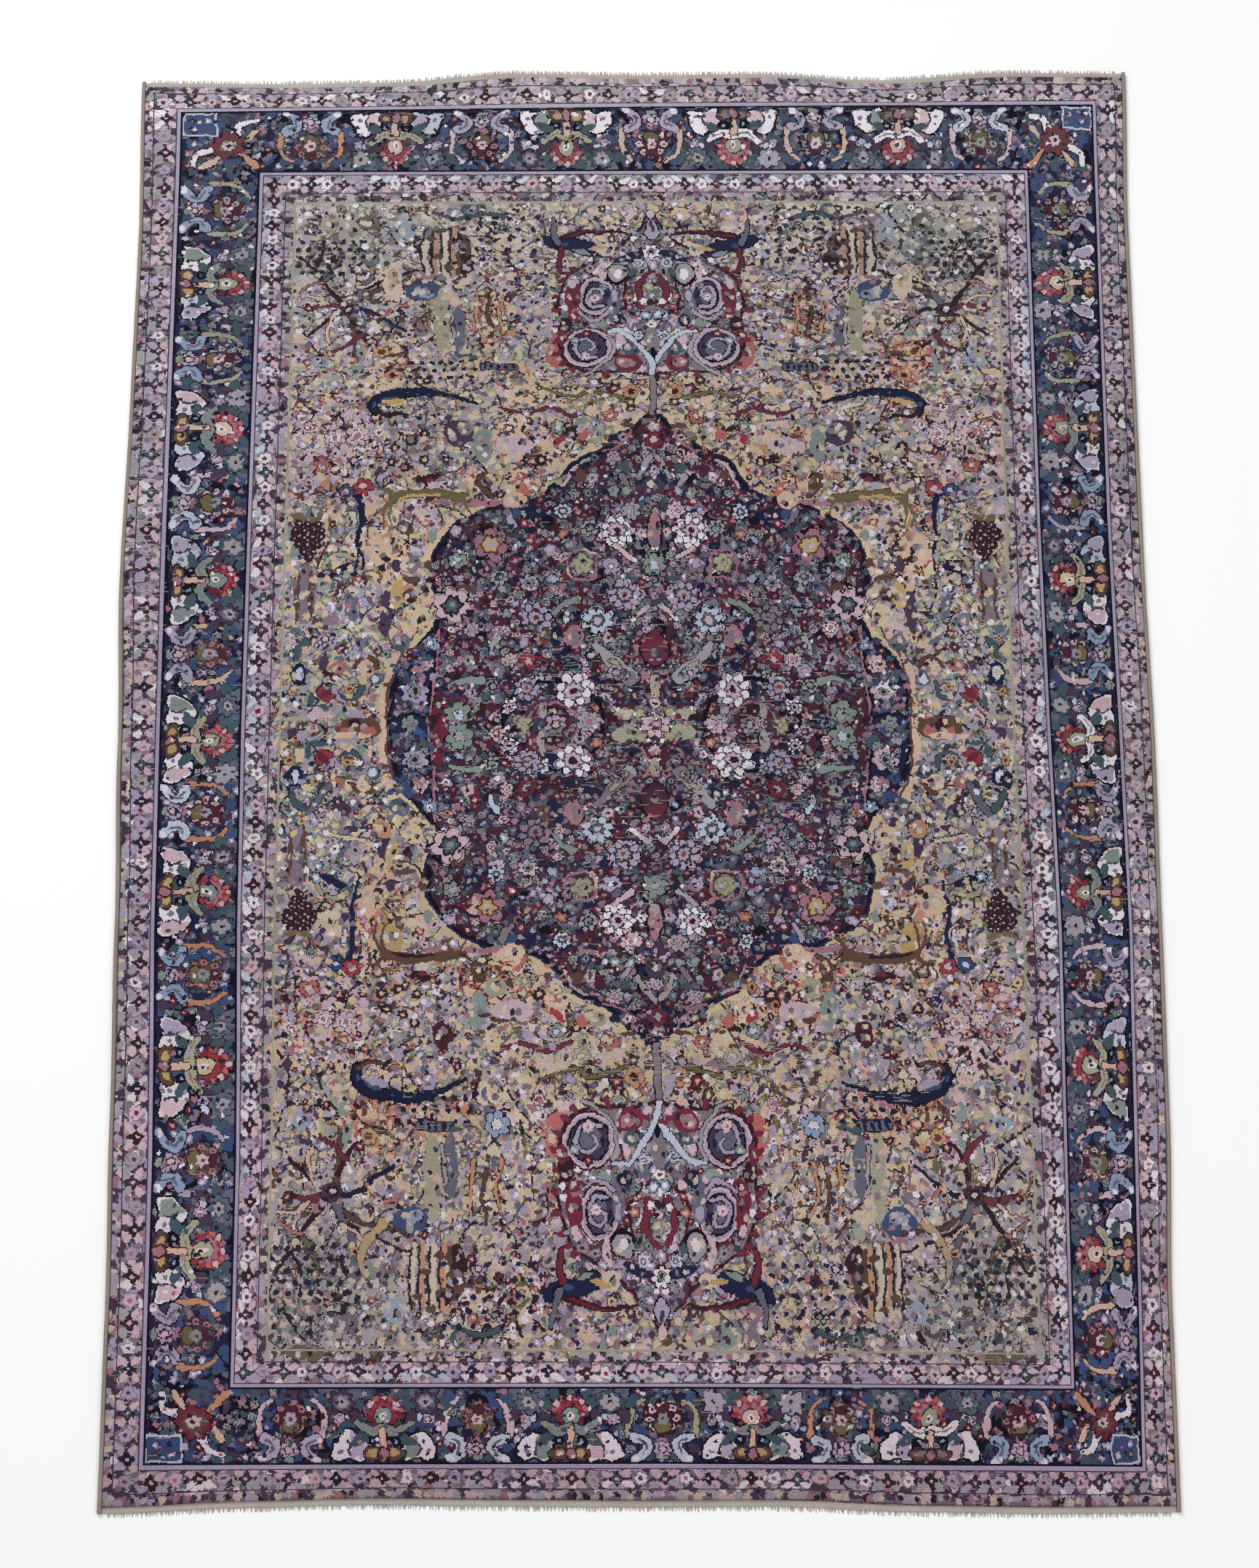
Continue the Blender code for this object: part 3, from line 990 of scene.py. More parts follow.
@dataclass(frozen=True)
class GuardRosette(Motif):
    """The dark rosette of the guard stripes, between pale leaves."""

    petals: Wool = Wool.PLUM
    leaf: Wool = Wool.IVORY
    reach: float = 26.0

    def draw(self, patch: Patch) -> None:
        """Draws the leaves, then the rosette."""
        for side in (-1, 1):
            patch.leaf(side * 3, 2, 20, 10, 90 - side * 60, Wool.GREY)
            patch.leaf(side * 3, 2, 19, 8, 90 - side * 60, self.leaf)
            patch.leaf(side * 3, -2, 19, 10, -90 + side * 60, Wool.MAUVE)
            patch.leaf(side * 3, -2, 18, 8, -90 + side * 60, Wool.PINK)
            patch.oval(side * 13, 0, 2.6, 2.4, Wool.PLUM)
        patch.flower(0, 0, 9.4, 4, Wool.UMBER, 0.2)
        patch.flower(0, 0, 6.6, 4, self.petals, 0.2)
        patch.oval(0, 0, 2.2, 2.2, Wool.PINK)


@dataclass(frozen=True)
class GuardBlossom(Motif):
    """The pale blossom between two guard rosettes, among dark triangles."""

    petals: Wool = Wool.IVORY
    heart: Wool = Wool.CRIMSON
    reach: float = 20.0

    def draw(self, patch: Patch) -> None:
        """Draws the triangles and the blossom."""
        for side in (-1, 1):
            triangle = ((side * 15, side * 13), (side * 3, side * 13), (side * 9, side * 4))
            patch.shape(triangle, Wool.PLUM, curved=False)
            patch.oval(side * 9, -side * 8, 4.0, 3.4, Wool.MAUVE)
        patch.flower(0, 0, 9.6, 5, Wool.MAUVE)
        patch.flower(0, 0, 8.4, 5, self.petals)
        patch.oval(0, 0, 2.8, 2.8, self.heart)


@dataclass(frozen=True)
class Peacock(Motif):
    """A long-tailed bird that looks down, its tail towards the middle of the rug."""

    body: Wool = Wool.NAVY
    neck: Wool = Wool.MAROON
    wing: Wool = Wool.GOLD
    reach: float = 82.0

    def draw(self, patch: Patch) -> None:
        """Draws the tail, shoulder, neck and wing."""
        patch.line(((34, 4), (0, 8), (-36, 1), (-74, -13)), 19, Wool.MIDNIGHT, 3)
        patch.line(((34, 4), (0, 8), (-36, 1), (-70, -12)), 15, self.body, 2)
        patch.line(((30, 5), (52, 0), (66, -14), (62, -30)), 18, Wool.MIDNIGHT, 12)
        patch.line(((30, 5), (52, 0), (65, -14), (62, -29)), 15, self.body, 9)
        patch.line(((62, -28), (48, -36), (28, -34), (20, -40)), 8, Wool.UMBER, 3)
        patch.line(((60, -28), (48, -35), (30, -34)), 4.5, self.neck, 3)
        patch.leaf(54, -14, 34, 12, 168, self.wing)
        patch.leaf(56, -8, 26, 6, 166, Wool.TEAL)
        for step in range(5):
            patch.oval(20 - step * 14, 6 - step * 1.5, 2.0, 1.6, Wool.BLUE)
        patch.oval(64, -16, 2.4, 5, Wool.BLUE)
        for foot in (8, 22):
            patch.line(((foot, 0), (foot - 3, -15), (foot - 9, -17)), 2.0, Wool.UMBER)


@dataclass(frozen=True)
class PendantBird(Motif):
    """The dark bird that stands on a pendant, its tail along the top."""

    reach: float = 92.0

    def draw(self, patch: Patch) -> None:
        """Draws the tail, body, wing and neck."""
        patch.line(((10, 12), (-22, 24), (-52, 26), (-82, 20)), 13, Wool.MAROON, 3)
        patch.line(((4, 14), (-26, 26), (-52, 28)), 4, Wool.CRIMSON, 2)
        patch.edged_line(((-24, -6), (-4, 2), (14, 2), (28, 12)), 25, Wool.NAVY, Wool.MIDNIGHT, 15)
        patch.line(((14, 4), (20, 24), (22, 48)), 13, Wool.MIDNIGHT, 5)
        patch.line(((14, 6), (20, 26), (22, 46)), 9, Wool.SLATE, 4)
        patch.line(((10, -6), (14, -26), (10, -46)), 12, Wool.MAROON, 8)
        patch.line(((10, -6), (14, -26), (10, -44)), 8, Wool.CRIMSON, 5)
        patch.leaf(-24, -6, 30, 9, 172, Wool.GOLD)
        patch.leaf(-6, -8, 24, 8, 200, Wool.SEA)
        patch.oval(4, 2, 6, 4, Wool.BLUE)


@dataclass(frozen=True)
class Deer(Motif):
    """A leaping deer in olive and gold, drawn long."""

    coat: Wool = Wool.OLIVE
    belly: Wool = Wool.GOLD
    reach: float = 66.0

    def draw(self, patch: Patch) -> None:
        """Draws the body, legs, neck, head and horns."""
        patch.edged_line(((-50, 2), (-20, 7), (14, 8), (38, 2)), 10, self.coat, Wool.BROWN, 11)
        patch.line(((-18, 4), (14, 5), (30, 0)), 4, self.belly)
        for hoof, knee in ((-56, -50), (-40, -36)):
            patch.line(((-44, 2), (knee, -8), (hoof, -18)), 4, self.coat, 2)
        for hoof, knee in ((36, 42), (48, 50)):
            patch.line(((38, 2), (knee, -16), (hoof, -38)), 5.5, self.coat, 2)
        patch.line(((38, 4), (48, 14), (58, 14)), 7, self.coat, 4)
        patch.line(((52, 16), (50, 28), (42, 32)), 2, Wool.UMBER)
        patch.line(((56, 16), (60, 26), (58, 34)), 2, Wool.UMBER)
        patch.line(((-50, 2), (-62, 10)), 3, self.belly)


@dataclass(frozen=True)
class Grapes(Motif):
    """A hanging bunch of grapes under two leaves."""

    berry: Wool = Wool.MAROON
    reach: float = 40.0

    def draw(self, patch: Patch) -> None:
        """Draws the leaves and rows of berries."""
        for side in (-1, 1):
            patch.leaf(0, 22, 22, 10, 90 - side * 58, Wool.OLIVE)
        for row, count in enumerate((3, 4, 4, 3, 2, 1)):
            for berry in range(count):
                x = (berry - (count - 1) / 2) * 11.5
                patch.oval(x, 18 - row * 10, 6.0, 5.8, Wool.UMBER)
                patch.oval(x, 18 - row * 10, 4.6, 4.4, self.berry)
                patch.oval(x - 1, 19 - row * 10, 1.5, 1.5, Wool.PINK)


@dataclass(frozen=True)
class Tulip(Motif):
    """A red tulip head on a leafed stem."""

    petal: Wool = Wool.RED
    leaf: Wool = Wool.TEAL
    reach: float = 34.0

    def draw(self, patch: Patch) -> None:
        """Draws the stem, leaves and three petals."""
        patch.line(((0, -28), (0, 0)), 2.4, Wool.NAVY)
        for side in (-1, 1):
            patch.leaf(0, -22, 26, 8, 90 - side * 40, self.leaf)
            patch.leaf(side * 2, -4, 24, 12, 90 - side * 26, Wool.MAROON)
            patch.leaf(side * 2, -3, 21, 9, 90 - side * 26, self.petal)
        patch.leaf(0, -4, 26, 11, 90, Wool.CRIMSON)


@dataclass(frozen=True)
class SmallBird(Motif):
    """A small perching bird."""

    body: Wool = Wool.NAVY
    wing: Wool = Wool.BLUE
    reach: float = 18.0

    def draw(self, patch: Patch) -> None:
        """Draws the body, head, tail and wing."""
        patch.leaf(12, -3, 28, 10, 160, self.body)
        patch.oval(10, 1, 4.5, 4, self.body)
        patch.leaf(4, 0, 12, 6, 190, self.wing)
        patch.leaf(13, 1, 5, 2.5, 0, Wool.CRIMSON)


@dataclass(frozen=True)
class Sprig(Motif):
    """A short curved twig with leaves and buds."""

    wood: Wool = Wool.UMBER
    leaf: Wool = Wool.OLIVE
    bud: Bloom = Bloom.PINK_BUD
    bow: float = 10.0
    reach: float = 36.0

    def draw(self, patch: Patch) -> None:
        """Draws the twig, its leaves and its buds."""
        bow = self.bow
        patch.line(((-26, -bow * 0.4), (-8, bow * 0.6), (10, bow), (26, -bow * 0.2)), 3.2, self.wood, 2)
        for step, x in enumerate((-16, -4, 8, 18)):
            side = 1 if step % 2 else -1
            patch.leaf(x, bow * 0.5, 12, 6, 90 * side + 24, self.leaf if step < 3 else self.wood)
        patch.bloom(24, bow * 0.2 + 4, 5.5, self.bud)
        patch.bloom(-2, bow + 8, 4.6, self.bud)


@dataclass(frozen=True)
class Bands:
    """The nested bands of the rug, from its edge in: (half width, half length, wool)."""

    nested: tuple[tuple[float, float, Wool], ...] = (
        (680.0, 1032.0, Wool.MAUVE),
        (668.5, 1017.5, Wool.PLUM),
        (667.0, 1016.0, Wool.GREY),
        (642.5, 991.0, Wool.PLUM),
        (641.0, 989.5, Wool.LILAC),
        (636.5, 985.0, Wool.MIDNIGHT),
        (633.5, 982.0, Wool.NAVY),
        (536.5, 884.5, Wool.MIDNIGHT),
        (534.0, 882.0, Wool.LILAC),
        (530.0, 878.0, Wool.PLUM),
        (529.0, 877.0, Wool.GREY),
        (501.5, 849.5, Wool.PLUM),
        (500.0, 848.0, Wool.MAUVE),
        (489.0, 835.0, Wool.SAGE),
        (486.0, 832.0, Wool.CAMEL),
    )
    mottled: Wool = Wool.MAUVE
    narrow: float = 5.0

    def draw(self, cartoon: Cartoon) -> None:
        """Fills the bands one inside the other, and mottles those without a pattern."""
        for half_width, half_length, wool in self.nested:
            cartoon.rectangle(half_width, half_length, wool)
            if wool is self.mottled:
                stripe = GuardStripe(half_width - 7, half_length - 7, 8, 0.0)
                for quarter in Quarter:
                    cartoon.turn_to(quarter, 9)
                    cartoon.sow(stripe.zone(cartoon), 7.6, Planting.MARGIN)

    def draw_lines(self, cartoon: Cartoon) -> None:
        """Draws the narrow lines between the bands again, straight."""
        over, along = np.abs(cartoon.x)[None, :], np.abs(cartoon.y)[:, None]
        for (outer_x, outer_y, wool), (inner_x, inner_y, _) in zip(self.nested, self.nested[1:]):
            if outer_x - inner_x < self.narrow:
                ring = (over <= outer_x) & (along <= outer_y) & ((over > inner_x) | (along > inner_y))
                cartoon.knots[ring] = WOOL_NUMBER[wool]


def runs(centre_x: float, centre_y: float, pitch: float) -> list[tuple[int, float, float, float]]:
    """Sets out the stations of a band in a quarter, along its side and along its end.

    Args:
        centre_x: The middle line of the band along the side.
        centre_y: Its middle line along the end.
        pitch: Rough distance between stations, trued so that the corner is one.

    Returns:
        For each station its number from the middle of that side, x, y and the motif's turn.
    """
    stations = []
    count = round(centre_y / pitch)
    stations += [(k, centre_x, centre_y * k / count, -90.0) for k in range(count)]
    count = round(centre_x / pitch)
    stations += [(k, centre_x * k / count, centre_y, 0.0) for k in range(count + 1)]
    return stations


@dataclass(frozen=True)
class GuardStripe:
    """A narrow pale stripe of dark rosettes and pale blossoms."""

    centre_x: float
    centre_y: float
    half: float
    pitch: float
    pales: tuple[Wool, ...] = (Wool.IVORY, Wool.LILAC, Wool.IVORY, Wool.ICE)

    def zone(self, cartoon: Cartoon) -> Array:
        """Tells which knots of the current quarter lie in the stripe."""
        sign_x, sign_y = cartoon.quarter.value
        over = np.abs(np.abs(cartoon.x) - self.centre_x) < self.half
        up = np.abs(np.abs(cartoon.y) - self.centre_y) < self.half
        inside_x = np.abs(cartoon.x) < self.centre_x + self.half
        inside_y = np.abs(cartoon.y) < self.centre_y + self.half
        zone = (over[None, :] & inside_y[:, None]) | (up[:, None] & inside_x[None, :])
        return zone & (cartoon.x * sign_x > 0)[None, :] & (cartoon.y * sign_y > 0)[:, None]

    def draw(self, cartoon: Cartoon) -> None:
        """Draws the stripe in the cartoon's current quarter."""
        chance = cartoon.chance
        zone = self.zone(cartoon)
        cartoon.sow(zone, 9.4, Planting.STRIPE)
        darks = (Wool.PLUM, Wool.MAROON, Wool.NAVY, Wool.UMBER, Wool.TEAL, Wool.BURGUNDY)
        for number, x, y, turn in runs(self.centre_x, self.centre_y, self.pitch / 2):
            if number % 2 == 0:
                leaf = pick(chance, self.pales)
                cartoon.put(GuardRosette(pick(chance, darks), leaf), x, y, turn)
            else:
                flip = 1 if number % 4 == 1 else -1
                heart = pick(chance, (Wool.CRIMSON, Wool.ROSE, Wool.PLUM))
                petals = pick(chance, (Wool.PINK, *self.pales[:3]))
                cartoon.put(GuardBlossom(petals, heart), x, y, turn, flip)


@dataclass(frozen=True)
class MainBorder:
    """The broad dark border of palmettes and rosettes."""

    centre_x: float = 583.5
    centre_y: float = 932.0
    half: float = 47.0
    pitch: float = 117.0
    bell_from_palmette: float = 42.0
    bell_out: float = 30.0
    round_from_palmette: float = 50.0
    round_in: float = 27.0
    # The flowers down each side drift with the weave: rosettes and palmettes by turns
    head_side: tuple[float, ...] = (104.0, 212.0, 328.0, 438.0, 560.0, 692.0, 822.0)
    foot_side: tuple[float, ...] = (21.0, 126.0, 243.0, 362.0, 486.0, 604.0, 714.0, 816.0)

    def draw(self, cartoon: Cartoon) -> None:
        """Draws the border in the cartoon's current quarter."""
        ground = GuardStripe(self.centre_x, self.centre_y, self.half, 0.0).zone(cartoon)
        dark = Wool.MIDNIGHT
        grounds = (dark, Wool.BLUE, dark, Wool.NAVY, Wool.PLUM, dark, Wool.TEAL)
        for x, y in cartoon.scatter(ground, 26):
            half_width, half_height = cartoon.chance.uniform(8, 17, 2)
            cloud = ground & cartoon.within(x, y, half_width, half_height)
            cartoon.knots[cloud] = WOOL_NUMBER[pick(cartoon.chance, grounds)]
        cartoon.sow(ground, 16.5, Planting.DEEP)
        places = self.head_side if cartoon.quarter.at_head else self.foot_side
        for number, place in enumerate(places):
            self.station(cartoon, place, True, number % 2 == (1 if cartoon.quarter.at_head else 0))
        pitch = self.pitch - (0 if cartoon.quarter.at_head else 3)
        for number in range(5):
            self.station(cartoon, number * pitch, False, number % 2 == 1)
        self.corner(cartoon)
        cartoon.sow(ground, 18.0, Planting.CHIPS)

    def station(self, cartoon: Cartoon, place: float, on_side: bool, palmette: bool) -> None:
        """Draws a palmette with its bells and rounds, or a rosette.

        Args:
            cartoon: The drawing.
            place: How far the station is from the middle of its side.
            on_side: Whether it is on the long side of the border.
            palmette: Whether it is a palmette.
        """
        turn = -90.0 if on_side else 0.0
        x, y = (self.centre_x, place) if on_side else (place, self.centre_y)
        chance = cartoon.chance
        if palmette:
            for flip in (-1, 1):
                self.beside(cartoon, place, on_side, flip)
            fan = pick(chance, (Wool.CRIMSON, Wool.RED))
            heart = pick(chance, (Wool.SEA, Wool.SAGE, Wool.STRAW, Wool.PEACH))
            wing = pick(chance, (Wool.IVORY, Wool.SEA, Wool.SAGE))
            lining = Wool.ROSE if fan is Wool.RED else Wool.RED
            cartoon.put(FanPalmette(fan, lining, heart, wing), x, y, turn)
        else:
            petals = pick(chance, (Wool.MAROON, Wool.BROWN, Wool.BURGUNDY, Wool.PLUM))
            ring = pick(chance, (Wool.PINK, Wool.GREY, Wool.ROSE))
            heart = pick(chance, (Wool.LILAC, Wool.SEA, Wool.PINK))
            curl = pick(chance, (Wool.PEACH, Wool.APRICOT, Wool.LILAC, Wool.SAGE, Wool.PINK))
            leaf = pick(chance, (Wool.SKY, Wool.ICE, Wool.LILAC))
            cartoon.put(BorderRosette(petals, ring, heart, curl, leaf), x, y, turn)

    def beside(self, cartoon: Cartoon, place: float, on_side: bool, flip: int) -> None:
        """Draws the bell and the dull round on one side of a palmette."""
        chance = cartoon.chance
        turn = -90.0 if on_side else 0.0
        cups = (
            (Wool.IVORY, Wool.LILAC), (Wool.IVORY, Wool.PINK),
            (Wool.ICE, Wool.LILAC), (Wool.IVORY, Wool.SEA),
        )
        discs = (
            (Wool.SLATE, Wool.TEAL), (Wool.TEAL, Wool.GREY),
            (Wool.PLUM, Wool.SLATE), (Wool.GREY, Wool.LILAC),
        )
        cup, shade = pick(chance, cups)
        disc, ring = pick(chance, discs)
        for motif, away, out in (
            (LeafedRound(disc, ring), self.round_from_palmette, -self.round_in),
            (Bell(cup, shade), self.bell_from_palmette, self.bell_out),
        ):
            along = place + flip * away
            x, y = (self.centre_x + out, along) if on_side else (along, self.centre_y + out)
            cartoon.put(motif, x, y, turn, -flip)

    def corner(self, cartoon: Cartoon) -> None:
        """Draws the corner's blue patch, its red flower and brown stems."""
        patch = cartoon.patch(self.centre_x, self.centre_y, 62)
        for side in (-1, 1):
            for x, y, direction in ((-30, 34, 110), (-24, 8, 150), (-4, -30, 250), (28, -34, 300)):
                patch.leaf(x, y, 22, 13, direction, Wool.TEAL if side > 0 else Wool.PLUM)
        patch.edged_line(((-44, -40), (-26, -22), (-14, -14)), 9, Wool.APRICOT, Wool.UMBER)
        patch.edged_line(((-40, 18), (-30, 4), (-20, 0)), 9, Wool.PEACH, Wool.UMBER)
        patch.edged_line(((20, -40), (10, -28), (2, -18)), 9, Wool.PEACH, Wool.UMBER)
        patch.edged_line(((12, -14), (32, -22), (34, -42)), 11, Wool.IVORY, Wool.MIDNIGHT, 5)
        patch.edged_line(((-16, 14), (-24, 32), (-42, 36)), 11, Wool.IVORY, Wool.MIDNIGHT, 5)
        patch.shape(((6, 12), (6, 50), (51, 50), (51, 12)), Wool.ICE, curved=False)
        patch.shape(((9, 15), (9, 47), (48, 47), (48, 15)), Wool.BLUE, curved=False)
        for x, y, kind in ((18, 38, Bloom.LILAC_BUD), (38, 38, Bloom.DARK_ROSE), (36, 24, Bloom.SKY_BUD)):
            patch.bloom(x, y, 6, kind)
        patch.flower(-6, -4, 25, 9, Wool.MIDNIGHT)
        patch.flower(-6, -4, 23, 9, Wool.CRIMSON)
        patch.flower(-6, -4, 16, 8, Wool.BROWN)
        patch.flower(-6, -4, 9, 7, Wool.PINK)
        patch.oval(-6, -4, 3, 3, Wool.MAROON)


@dataclass(frozen=True)
class Bed:
    """Figures set out one by one in a quarter, in millimetres outwards from the middle of the rug."""

    # (x, y, half width, half height, turn, wool) of plain ovals
    spots: tuple[tuple[float, float, float, float, float, Wool], ...] = ()
    # (wool, width, width at the tip, points) of stems and long leaves
    strokes: tuple[tuple[Wool, float, float, tuple[Point, ...]], ...] = ()
    # (x, y, radius, flower)
    blooms: tuple[tuple[float, float, float, Bloom], ...] = ()
    rim: Wool = Wool.UMBER
    marks: tuple[Wool, ...] = (Wool.UMBER, Wool.GREY, Wool.MAUVE, Wool.SAND)

    def draw(self, cartoon: Cartoon) -> None:
        """Draws the ovals and their marks, then the strokes, then the flowers."""
        for x, y, half_width, half_height, turn, wool in self.spots:
            patch = cartoon.patch(x, y, 1.2 * max(half_width, half_height), turn)
            patch.oval(0, 0, half_width, half_height, wool)
            if half_width * half_height > 80:
                for side, mark in zip((-1, 1, -1, 1), self.marks):
                    over, up = cartoon.hand.uniform(0.1, 0.6, 2)
                    size = 0.2 * min(half_width, half_height) + 1
                    mark_y = (up - 0.35) * 1.5 * half_height
                    patch.oval(side * over * half_width, mark_y, size, 1.3 * size, mark)
        for wool, width, tip, points in self.strokes:
            places = np.array(points)
            middle = (places.min(axis=0) + places.max(axis=0)) / 2
            shifted = tuple(map(tuple, places - middle))
            patch = cartoon.patch(*middle, float(np.abs(places - middle).max()) + width + 4)
            if width > 4 and wool.value.light().mean() > 0.05:
                patch.line(shifted, width + 2.6, self.rim, tip + 1.8)
            patch.line(shifted, width, wool, tip)
        for x, y, radius, kind in self.blooms:
            cartoon.put(Flower(kind, radius), x, y)


